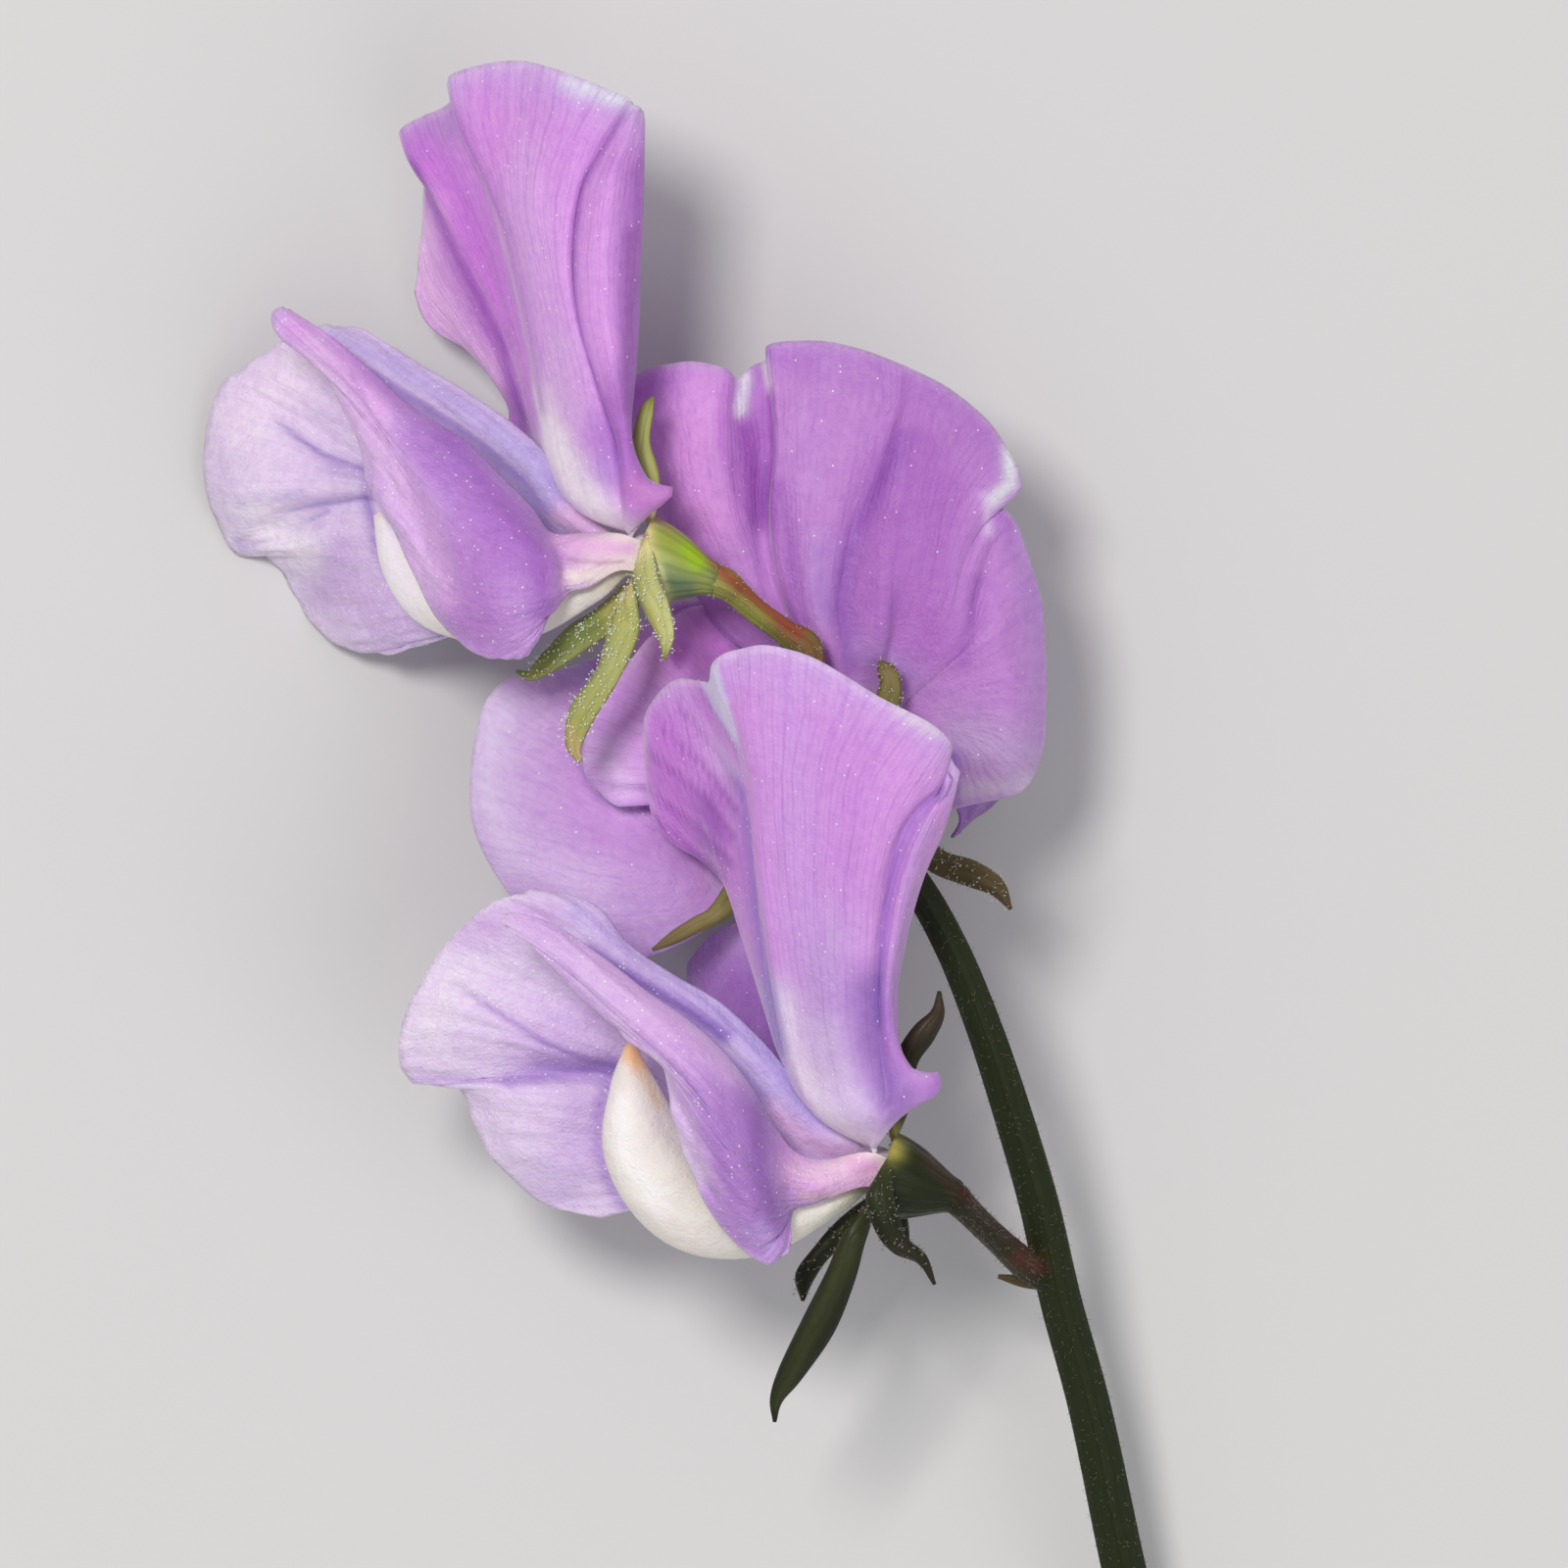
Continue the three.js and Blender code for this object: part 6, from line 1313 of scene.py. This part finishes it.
RIGHT_STANDARD_LOOK = {
    "seed": 31,
    "ramp": BACK_RAMP,
    "ruffle": 0.2,
    "shine": 0.06,
    "strokes": [
        [[(-5.2, 25), (-6, 21), (-5, 17)], 2, (222, 158, 232), 0.85],
        # Painted shade in the wedge where the right part overlaps the left, and along the overlapping
        # edge
        [[(-4.2, 25), (-4.3, 21.5), (-3, 18), (-1.5, 16.3)], 0.7, DEEP_PINK, 0.5, 1],
        [[(-2.4, 22.6), (-2, 20), (-1.4, 17)], 0.9, (158, 84, 182), 0.8],
        [[(-1.5, 28), (-1, 26), (-0.6, 24), (-0.5, 21), (-0.8, 19), (-1.3, 16.5)],
         0.5, DARK_PINK, 0.9, -1],
        [[(-1.4, 25.4), (-1.3, 21)], 0.4, (190, 122, 212), 0.8],
        [[(-2.5, 25.9), (-2.8, 23.9)], 0.45, (238, 236, 246), 0.95],
        [[(-1.2, 27), (-0.9, 25.4)], 0.3, WHITE, 0.7],
        [[(-1.4, 15), (-1, 11.5)], 1.3, PINK, 0.7],
        [[(1.5, 24), (1.6, 19), (1.9, 12)], 1.3, (188, 138, 210), 0.8],
        [[(3, 26.5), (8, 25), (12, 22)], 1.6, (176, 124, 198), 0.7],
        [[(2.5, 15), (2.7, 11)], 1, (160, 128, 200), 0.5],
        [[(-0.3, 19), (0.4, 15), (0.8, 11), (1.2, 9.8)], 0.6, DARK_PINK, 0.6],
        [[(8.6, 22), (7, 17), (6.6, 12)], 2.6, (166, 104, 188), 0.9],
        [[(7.6, 22), (5.9, 18.6), (4.5, 16), (3.9, 13.5), (3.8, 11), (4.3, 8)], 0.8, (142, 84, 176), 0.8],
        [[(10, 19), (9.6, 13), (9.6, 9)], 1.6, (168, 104, 190), 0.7],
        [[(12.4, 13), (11.8, 10), (11.4, 8)], 0.7, DARK_PINK, 0.45],
        [[(14.4, 21.2), (14.4, 19.2), (13.4, 18.2)], 0.55, (226, 230, 236), 0.95],
        [[(12.9, 18.2), (13, 16.2)], 0.4, PALE, 0.6],
        [[(15.4, 15), (16, 10), (16.2, 4)], 1.1, (182, 142, 206), 0.7],
        [[(11.8, 3), (15.6, 1.4)], 2.3, (176, 154, 196), 0.8],
        [[(11.2, -0.4), (15.6, 0)], 0.8, (200, 186, 210), 0.7],
        [[(10.9, 1.6), (10.6, -1)], 0.6, VIOLET, 0.6],
        [[(5, 8.6), (8, 7)], 1.2, (160, 128, 192), 0.6],
    ],
}
LEFT_STANDARD_LOOK = {
    "seed": 41,
    "ramp": BACK_RAMP,
    "shine": 0.06,
    "strokes": [
        [[(-16.4, 5.6), (-17.6, 0), (-15, -6), (-9, -9.4)], 4, (200, 168, 220), 0.95],
        [[(-18.6, 4.6), (-19.2, 0), (-17.6, -5)], 1.6, (218, 200, 236), 0.85],
        [[(-13.4, 7.4), (-12.6, 6.8)], 0.9, BLUISH, 0.6],
        [[(-15.4, -5.4), (-12.6, -6.6)], 1.8, (222, 196, 240), 0.8],
        # Painted light on the front lobe and its top, lifting the shadow that the calyx teeth cast there
        [[(-8, 9), (-9.2, 4), (-9.6, 0.4)], 2.6, (234, 176, 255), 0.95],
        [[(-9.2, 8.8), (-8.3, 10.4)], 0.8, (255, 206, 255), 0.9],
        [[(-10.2, -0.4), (-11.6, 1.8)], 1.3, (226, 192, 242), 0.8],
        [[(-6.6, 8.6), (-4.6, 9)], 2, (226, 140, 240), 0.9],
        [[(-5.2, 11.8), (-3.6, 10.6)], 0.9, (200, 116, 220), 0.7],
        [[(-3.8, 11.2), (-3, 9.6), (-2, 8.6)], 0.7, VIOLET, 0.8],
        [[(-9.4, 9.8), (-8, 7)], 0.6, (236, 176, 244), 0.8],
        # Painted contact shadow along the front lobe's free margin
        [[(-12.9, 3.4), (-12.95, 1.6), (-12.5, 0), (-11.6, -1), (-10.5, -1.5), (-8.6, -1.5)], 0.28,
         (150, 112, 180), 0.6],
    ],
}
TOP_WING_NEAR_LOOK = {
    "seed": 51,
    "ramp": WING_RAMP,
    "ruffle": 0.08,
    "swell": 0.08,
    "shine": 0.4,
    "strokes": [
        # Painted shade where the lobe turns down towards the claw
        [[(-16.4, 15.4), (-19.4, 14.4), (-19.6, 10.5)], 3.2, (178, 126, 200), 0.9],
        [[(-23.8, 21.6), (-20.6, 18.6), (-17.6, 15)], 1.6, MAUVE, 0.7],
        [[(-28, 26.4), (-26, 24)], 1.2, (246, 188, 252), 0.8],
        [[(-28.6, 28.4), (-26, 25.8), (-23.5, 23.7), (-20.3, 21.8), (-17.5, 18.8), (-15.4, 15.8)], 0.8,
         MAUVE, 0.8],
        [[(-31.4, 29.4), (-28.6, 26.4), (-26.4, 22.6)], 0.9, (220, 160, 228), 0.8],
        [[(-24.4, 19.4), (-22.6, 16), (-21.4, 12)], 0.8, (214, 156, 224), 0.7],
        # Painted shade along the creases
        [[(-27.6, 26), (-25.6, 22), (-24.4, 18.6)], 0.22, (160, 104, 184), 0.55],
        [[(-23.6, 18.8), (-22.6, 15.4), (-21.9, 12)], 0.22, (172, 118, 196), 0.5],
        [[(-13.6, 13.2), (-11, 13.5), (-10, 13.6)], 0.7, (238, 226, 216), 0.85],
        [[(-14.6, 15.4), (-12, 15.1), (-9.8, 15)], 0.6, (226, 178, 222), 0.95],
        [[(-14, 14.3), (-12, 14.1), (-10.2, 14.2)], 0.12, (176, 132, 150), 0.55],
        [[(-30, 27.4), (-27.6, 24), (-25.4, 20.6), (-23.9, 16.8), (-22.4, 12.8)],
         1.3, (222, 184, 236), 0.85],
        # More painted shade down the lobe's right side, where it turns away
        [[(-21.6, 22), (-18, 17.8), (-15.8, 14.8), (-15.4, 11)], 1, (160, 102, 192), 0.75],
    ],
    "creases": [
        [[(-25.6, 20.4), (-23.9, 17.2), (-22.8, 14.4)], 0.4, -0.3],
        [[(-24.2, 15.8), (-22.4, 12.4)], 0.3, -0.22],
        [[(-27.6, 25), (-25.4, 22.4)], 0.4, -0.25],
    ],
}
FRONT_WING_NEAR_LOOK = {
    "seed": 61,
    "ramp": WING_RAMP,
    "ruffle": 0.08,
    "swell": 0.08,
    "shine": 0.5,
    "strokes": [
        [[(-3.4, -20), (-3.4, -25), (-1.4, -29.4)], 2.8, (176, 132, 204), 0.92],
        [[(-9.4, -15.2), (-6.6, -18)], 1.1, (216, 172, 230), 0.7],
        [[(-12.6, -11.6), (-8.8, -13.9), (-5.2, -16.4), (-3.4, -18.4)], 0.9, (220, 184, 232), 0.8],
        [[(-9.8, -15.4), (-6.4, -18.4), (-4.8, -20.8)], 0.25, (150, 112, 186), 0.55],
        [[(-7.2, -19.4), (-5.6, -23), (-3.8, -26)], 0.25, (206, 172, 222), 0.6],
        [[(-17.4, -8.8), (-13.4, -10.8), (-10, -15)], 1.2, (214, 182, 230), 0.8],
        [[(-8.4, -17.6), (-7.2, -21.2), (-5.4, -25)], 0.8, (224, 198, 238), 0.9],
        [[(-6.2, -21), (-5, -24)], 0.5, (214, 182, 232), 0.6],
        # Painted shade down the lobe's right side, where it turns towards the claw
        [[(-1.8, -20.8), (-1.6, -24.6), (-0.8, -28)], 1, (138, 90, 172), 0.8],
        [[(-4.6, -22), (-3, -26)], 1, (160, 114, 192), 0.5],
        [[(-1.6, -28.4), (-0.7, -30)], 0.9, (186, 154, 222), 0.75],
        [[(0.8, -24.6), (3, -25.2), (5, -24.6)], 1, (238, 198, 230), 0.85],
        [[(4.6, -24.4), (5.6, -24.4)], 0.7, (236, 176, 222), 0.8],
        [[(1, -26.2), (3, -26.2), (5, -25.9)], 0.3, (206, 178, 176), 0.6],
    ],
    "creases": [
        [[(-8.2, -18.4), (-6.4, -20.4), (-5.6, -23)], 0.35, -0.28],
        [[(-6.8, -22.2), (-5.2, -24.6), (-4.2, -26.6)], 0.3, -0.22],
        [[(-10, -15.6), (-7.6, -17.6)], 0.3, -0.2],
        [[(-4, -20), (-3, -23.6)], 0.6, -0.25],
    ],
}
TOP_WING_FAR_LOOK = {
    "seed": 71,
    "ramp": FAR_RAMP,
    "crumple": 0.06,
    "painted_glint": [[[(-27.4, 21), (-27, 17)], 2], [[(-26, 12), (-24, 10)], 2.4]],
    "strokes": [
        [[(-32.6, 24), (-33, 18)], 3.6, (240, 214, 255), 0.7],
        [[(-28.8, 28.6), (-24.9, 26.8), (-20.5, 24), (-16.2, 20.8), (-13.8, 17.6)], 0.8, BLUISH, 0.8],
        # Painted shade below the edge of the light band
        [[(-14.4, 17.2), (-15.4, 18.2), (-16.4, 19.6), (-18.7, 21.6), (-21.4, 23.5), (-24.4, 25.4),
          (-26.8, 26.9)], 1, (150, 122, 200), 0.85, 1],
        [[(-14, 17.2), (-12.2, 16.3), (-10.4, 15.8)], 0.9, (236, 192, 234), 0.9],
        [[(-28.6, 15), (-29.4, 12.4)], 1.1, (186, 156, 218), 0.6],
        # Painted shade along the creases
        [[(-26.7, 18.4), (-29.8, 18), (-31.7, 17.6), (-33, 16.8), (-35.2, 15.5)],
         0.24, (150, 134, 196), 0.75],
        [[(-29.2, 17.5), (-31.9, 16), (-34.7, 15.2)], 0.24, (158, 142, 200), 0.7],
        [[(-26.8, 20.1), (-29.6, 21.1), (-30.9, 22), (-32.7, 23.4)], 0.26, (146, 126, 192), 0.8],
        [[(-31, 18.6), (-34.6, 18.2)], 0.4, (190, 180, 224), 0.7],
        # Painted shade beside the keel
        [[(-26.5, 20.2), (-26.6, 18), (-26, 15), (-25, 13), (-23.5, 11), (-22.2, 10)],
         0.4, (142, 114, 194), 0.75],
        [[(-27.2, 19.9), (-29, 20.3)], 0.7, (184, 164, 218), 0.6],
        [[(-29.4, 13.6), (-27, 11.6), (-25, 9.6)], 2.2, (212, 180, 236), 0.7],
        # Painted highlights along the folds
        [[(-33.8, 17), (-31, 15)], 1.6, (250, 236, 255), 0.9],
        [[(-31.4, 26.6), (-34.6, 23)], 1.8, (250, 228, 255), 0.8],
    ],
    "creases": [
        [[(-26.8, 20.1), (-29.6, 21.1), (-30.9, 22), (-32.7, 23.4)], 0.45, -0.3],
        [[(-26.7, 18.4), (-29.8, 18), (-31.7, 17.6), (-33, 16.8), (-35.2, 15.5)], 0.35, -0.3],
        [[(-29.2, 17.5), (-31.9, 16), (-34.7, 15.2)], 0.35, -0.2],
    ],
}
FRONT_WING_FAR_LOOK = {
    "seed": 81,
    "ramp": FAR_RAMP,
    "crumple": 0.06,
    "painted_glint": [[[(-11, -17.6), (-19, -18.6)], 2.6], [[(-18, -13), (-12, -13)], 2]],
    "strokes": [
        [[(-13.4, -8), (-9.4, -10.8), (-5.2, -13.6), (-1.4, -17), (1.4, -20.8)], 0.9, BLUISH, 0.7],
        # Painted shade below the edge of the light band
        [[(3.4, -23.4), (1.6, -22.2), (-0.5, -20.2), (-2.6, -18), (-5.4, -15.5)],
         1, (166, 142, 212), 0.6, 1],
        [[(-3.8, -16), (-5.8, -14.6), (-8.6, -12.9), (-12.4, -10.6)], 0.55, (132, 102, 184), 0.9],
        [[(-0.6, -21), (1.6, -22.8), (4.4, -23.8)], 0.9, (230, 190, 236), 0.9],
        # Painted shade along the creases
        [[(-11, -18), (-13.1, -17.7), (-15.4, -17.6)], 1, (158, 130, 198), 0.75],
        [[(-10.6, -18), (-14.4, -18.4), (-17.6, -19)], 0.5, (150, 122, 194), 0.7],
        [[(-17.6, -19), (-21, -18.9), (-24, -18.8)], 0.25, (166, 142, 206), 0.6],
        [[(-12.6, -14.6), (-16, -16.4)], 2.2, (208, 176, 234), 0.6],
        # Painted shade along another crease
        [[(-10.7, -18), (-13.1, -17.4), (-15, -16.6), (-18.4, -14.5), (-21, -12.7)], 0.24,
         (150, 124, 190), 0.65],
        # Painted shade beside the keel
        [[(-10.8, -18), (-11.8, -20.6), (-11.9, -23.2), (-11.2, -25.4), (-10.2, -27)],
         0.4, (142, 114, 194), 0.75],
        [[(-12.6, -22), (-14.6, -25.8)], 2.4, (206, 178, 236), 0.6],
        [[(-20.5, -12.4), (-23, -16)], 1.3, WHITE, 0.4],
        [[(-20.6, -9), (-15.4, -8.4)], 1.4, (206, 168, 228), 0.7],
    ],
    "creases": [
        [[(-10.5, -18.2), (-14, -18.3), (-17.6, -18.9)], 0.6, -0.5],
        [[(-17.6, -19), (-22, -19)], 0.4, -0.25],
        [[(-10.7, -18), (-13.1, -17.4), (-15, -16.6), (-18.4, -14.5), (-21, -12.7)], 0.4, -0.2],
    ],
}
HIDDEN_WING_LOOK = {
    "seed": 91,
    "ramp": [(0, CREAM), (0.2, LILAC), (0.5, MAUVE), (1, (134, 88, 168))],
    "margin": MAUVE,
}
KEEL_WHITE = (231, 227, 221)
TOP_KEEL_LOOK = {
    "seed": 101,
    "ramp": [(0, OLIVE), (0.12, (226, 218, 180)), (0.3, KEEL_WHITE), (0.94, KEEL_WHITE), (1, TAN)],
    "strokes": [
        [[(-12.4, 12.9), (-9.6, 13)], 0.6, (222, 212, 196), 0.7],
        [[(-25.6, 16.4), (-24.2, 12)], 1.6, (244, 236, 248), 0.9],
    ],
}
FRONT_KEEL_LOOK = {
    "seed": 102,
    "ramp": [(0, OLIVE), (0.12, (222, 214, 176)), (0.3, KEEL_WHITE), (0.93, KEEL_WHITE), (1, TAN)],
    "strokes": [
        [[(-9.7, -17.3), (-9.1, -18)], 0.6, (236, 186, 120), 0.9],
        [[(-9, -18.2), (-8, -20.4)], 0.4, (226, 206, 168), 0.8],
        [[(-10.4, -20.4), (-10.2, -23.6), (-8, -26.8)], 0.9, (246, 246, 248), 0.8],
        [[(-6.6, -22), (-5.4, -26)], 0.9, (224, 220, 206), 0.7],
    ],
}
CALYX_RAMP = [(0, (112, 126, 72)), (0.16, (140, 150, 80)), (0.3, (158, 164, 96)), (0.36, STRAW),
              (0.44, (168, 172, 112)), (0.8, (158, 162, 96)), (1, (124, 124, 66))]
# The front calyx: its green, darkened by painted shade
DARK_CALYX_RAMP = [(0, DARK_GREEN), (0.3, (30, 38, 12)), (0.36, (52, 58, 26)), (0.6, (28, 32, 10)),
                   (1, (28, 30, 12))]
BROWN_CALYX_RAMP = [(0, (90, 98, 58)), (0.36, (130, 128, 76)), (0.7, (128, 116, 72)), (1, (112, 96, 62))]
TOP_CALYX_LOOK = {
    "seed": 111,
    "hairs": 1300,
    "ramp": CALYX_RAMP,
    "strokes": [
        [[(-9, 17), (-8.9, 15)], 0.8, (238, 224, 164), 0.95],
        [[(-8.2, 16.7), (-6.5, 16.2), (-5.6, 15.5), (-4.9, 14.6)], 0.35, (150, 112, 62), 0.7],
        [[(-7.6, 15.6), (-5.6, 14.6)], 0.9, (152, 164, 66), 0.8],
        [[(-6.1, 14.9), (-5.6, 14.1)], 0.6, (150, 190, 14), 0.95],
        [[(-7.6, 13), (-5, 12.2)], 0.8, (92, 118, 96), 0.85],
        [[(-5.6, 15.4), (-4.2, 13.9), (-3, 13)], 0.4, (150, 82, 54), 0.85],
        [[(-5.2, 12.6), (-4, 11.8)], 0.6, (146, 152, 84), 0.8],
        [[(-8.6, 14), (-8.2, 11.6), (-7.4, 9)], 0.6, (196, 196, 136), 0.7],
        [[(-11.6, 11), (-9.6, 10.4)], 1, (178, 176, 84), 0.6],
        [[(-16, 8), (-14, 9), (-12, 10.2)], 0.8, (104, 124, 58), 0.75],
        [[(-16.4, 8.2), (-14.4, 9.9), (-12, 11.4)], 0.25, (170, 170, 90), 0.6],
        [[(-13.6, 3.4), (-13.2, 1.6)], 0.5, (196, 168, 120), 0.7],
        [[(-8, 14), (-7.4, 11.6), (-7, 9.6)], 0.25, (214, 214, 160), 0.8],
        [[(-9.4, 13), (-9, 10.8)], 0.3, (128, 140, 84), 0.6],
    ],
}
FRONT_CALYX_LOOK = {
    "seed": 121,
    "hair_shade": 0.24,
    "ramp": DARK_CALYX_RAMP,
    "strokes": [
        [[(6.4, -22), (6.9, -23.4)], 0.7, (186, 178, 96), 0.8],
        [[(7, -16), (9.6, -14)], 1.4, (66, 48, 36), 0.7],
        [[(9, -23.9), (10.4, -25.4), (11.4, -26.2)], 0.5, (58, 38, 24), 0.7],
        [[(7, -29.6), (9.2, -32)], 0.8, (52, 48, 38), 0.6],
        [[(4, -30), (1.4, -35.6), (-0.4, -39.6)], 0.5, (56, 62, 30), 0.6],
    ],
}
RIGHT_CALYX_LOOK = {
    "seed": 131,
    "ramp": BROWN_CALYX_RAMP,
    "hair_shade": 0.6,
    "strokes": [[[(10, -5), (14.4, -7.6)], 1.6, (72, 58, 40), 0.85]],
}
LEFT_CALYX_LOOK = {"seed": 141, "hair_shade": 0.6, "ramp": BROWN_CALYX_RAMP}
# The stalk and the front bloom's stalk: their green, darkened by painted shade
STEM_RAMP = [(0, STEM_GREEN), (0.7, STEM_GREEN), (0.84, OLIVE), (0.93, (150, 148, 76)),
             (1, (142, 152, 86))]
PEDICEL_RAMPS = [
    [(0, STEM_GREEN), (0.3, (40, 36, 16)), (0.8, (34, 32, 12)), (1, (30, 38, 14))],
    [(0, STEM_GREEN), (1, OLIVE)],
    [(0, STEM_GREEN), (1, OLIVE)],
]
BRACT_RAMP = [(0, (74, 56, 38)), (1, (84, 70, 50))]
STEM_STROKES = [
    [[(0.2, 10), (1.4, 9), (2.8, 7.8)], 0.9, (132, 92, 62), 0.85],
    [[(-4.4, 13.9), (-2, 12), (0, 10.3), (0.9, 9.8)], 0.55, (146, 66, 50), 0.9],
    [[(10.8, -25.5), (12.6, -26.7), (14, -27.9), (15.4, -29.5)], 0.5, (62, 20, 18), 0.85],
    [[(15, -30.4), (16.3, -30.8)], 0.6, (88, 44, 32), 0.7],
]


# Assembly

TOP = Bloom([-9.2, 14.4, 20.5], [-0.962, 0.272, 0], [0, 1, 0], [0.4, -0.1])
FRONT = Bloom([6.3, -24.9, 21], [-0.957, 0.291, 0], [0, 1, 0], [-0.1, 0.12])
RIGHT = Bloom([7, 1.6, 17.2], [0, 0.08, -1], [-0.35, 0.93, 0])
LEFT = Bloom([-0.9, -6.2, 15.2], [0.06, -0.54, -0.84], [-0.58, 0.81, 0])

# The bloom stalks run on into the cups
for line, bloom in zip([*PEDICELS, PEDUNCLE], (FRONT, RIGHT, LEFT, TOP)):
    end = bloom.lift(bloom.at([STALK_OVERLAP - CALYX_LENGTH, 0, 0]))
    line.append([*end, line[-1][3]])

# The part lies where the frame has it: its keel there is built from the same line
coarse = keel_rings(TOP, TOP_KEEL, CAD_KEEL_STEPS, CAD_KEEL_SIDES)[0].reshape(-1, 3)
cad_keel = np.array([list(corner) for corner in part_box("top_keel")]) * 1000
SHIFT = cad_keel.mean(0) - (coarse.min(0) + coarse.max(0)) / 2


def hidden_wing(bloom, size, hand):
    place = np.array(HIDDEN_WING, float) * [size, size, hand]
    return list(bloom.at(place)) + [bloom.at(np.array(ROLLED_MARGIN) * [size, size, hand])]


def hidden_keel(bloom, size):
    return [[*bloom.at([size * f, size * u, 0]), height, width] for f, u, height, width in HIDDEN_KEEL]


def add_petal(name, bloom, ribs, look, skin, steps):
    points, faces, uv, tint, shine = petal(bloom, ribs, look, steps)
    add_piece(name + "_petal", name, points, faces, uv, tint, [skin], painted_glint=shine)


def add_bloom(name, bloom, shapes, looks, throat=False):
    """Makes the five pieces of a bloom, from the shape and the look of each."""
    standard, near, far, keel_line, teeth = shapes
    standard_look, near_look, far_look, keel_look, calyx_look = looks
    add_petal(f"{name}_standard", bloom, standard_ribs(bloom, standard, throat), standard_look,
              BACK_SKIN if throat else STANDARD_SKIN, STANDARD_STEPS)
    add_petal(f"{name}_wing_near", bloom, wing_ribs(bloom, near, 1), near_look, WING_SKIN,
              WING_STEPS)
    add_petal(f"{name}_wing_far", bloom, wing_ribs(bloom, far, -1), far_look, WING_SKIN,
              WING_STEPS)
    keel(f"{name}_keel", bloom, keel_line, keel_look)
    calyx(f"{name}_calyx", bloom, teeth, calyx_look)


def add_back_bloom(name, bloom, size, standard, teeth, standard_look, calyx_look):
    """A bloom seen from its back, with wings and keel after the front bloom."""
    shapes = (standard, hidden_wing(bloom, size, 1), hidden_wing(bloom, size, -1),
              hidden_keel(bloom, size), teeth)
    looks = (standard_look, HIDDEN_WING_LOOK, HIDDEN_WING_LOOK, TOP_KEEL_LOOK, calyx_look)
    add_bloom(name, bloom, shapes, looks, throat=True)


add_bloom("top", TOP, (TOP_STANDARD, TOP_WING_NEAR, TOP_WING_FAR, TOP_KEEL, TOP_TEETH),
          (TOP_STANDARD_LOOK, TOP_WING_NEAR_LOOK, TOP_WING_FAR_LOOK, TOP_KEEL_LOOK, TOP_CALYX_LOOK))
add_bloom("front", FRONT, (FRONT_STANDARD, FRONT_WING_NEAR, FRONT_WING_FAR, FRONT_KEEL, FRONT_TEETH),
          (FRONT_STANDARD_LOOK, FRONT_WING_NEAR_LOOK, FRONT_WING_FAR_LOOK, FRONT_KEEL_LOOK,
           FRONT_CALYX_LOOK))
add_back_bloom("right", RIGHT, RIGHT_SIZE, RIGHT_STANDARD, RIGHT_TEETH, RIGHT_STANDARD_LOOK,
               RIGHT_CALYX_LOOK)
add_back_bloom("left", LEFT, LEFT_SIZE, LEFT_STANDARD, LEFT_TEETH, LEFT_STANDARD_LOOK,
               LEFT_CALYX_LOOK)
stem()

# Studio: a pale floor, soft lights and the camera straight above the photograph's middle, in metres
FLOOR_REACH = 1.5
CAMERA_RANGE = 20
WORLD_COLOUR = (0.95, 0.95, 0.96, 1)
WORLD_LIGHT = 0.42


def floor_skin():
    nodes = Nodes("floor", Roughness=0.8, Specular_IOR_Level=0.2)
    place = nodes.add("TexCoord").outputs["Object"]
    shade = nodes.noise(3.0, 2.0, place)
    nodes.out("Base Color", nodes.mix(shade, (0.6, 0.6, 0.61), (0.64, 0.64, 0.65)))
    return nodes.material


floor_mesh = bpy.data.meshes.new("floor")
floor_corners = [(x * FLOOR_REACH, y * FLOOR_REACH, 0) for x, y in ((-1, -1), (1, -1), (1, 1), (-1, 1))]
floor_mesh.from_pydata(floor_corners, [], [(0, 1, 2, 3)])
floor_mesh.materials.append(floor_skin())
floor = bpy.data.objects.new("floor", floor_mesh)
bpy.context.scene.collection.objects.link(floor)


def area_light(name, place, size, power, colour):
    data = bpy.data.lights.new(name, "AREA")
    data.shape = "DISK"
    data.size = size
    data.energy = power
    data.color = colour
    lamp = bpy.data.objects.new(name, data)
    lamp.location = place
    aim = -lamp.location
    lamp.rotation_mode = "QUATERNION"
    lamp.rotation_quaternion = aim.to_track_quat("-Z", "Y")
    bpy.context.scene.collection.objects.link(lamp)


area_light("key", place=(-0.22, 0.25, 0.9), size=0.24, power=5.4, colour=(1.0, 0.97, 0.92))
area_light("fill", place=(0.45, -0.35, 0.8), size=0.9, power=2.4, colour=(1.0, 0.99, 0.96))
world = bpy.data.worlds.new("studio")
world.use_nodes = True
background = world.node_tree.nodes["Background"]
background.inputs["Color"].default_value = WORLD_COLOUR
background.inputs["Strength"].default_value = WORLD_LIGHT
bpy.context.scene.world = world
bpy.context.scene.view_settings.view_transform = "Standard"

camera_data = bpy.data.cameras.new("camera")
camera_data.lens = CAMERA_LENS
camera_data.sensor_width = CAMERA_SENSOR
camera_data.clip_end = CAMERA_RANGE
camera = bpy.data.objects.new("camera", camera_data)
height = CAMERA_LENS / CAMERA_SENSOR * PHOTO_WIDTH + FOCUS_HEIGHT
camera.location = (np.array([0, 0, height]) + SHIFT) / 1000
bpy.context.scene.collection.objects.link(camera)
bpy.context.scene.camera = camera
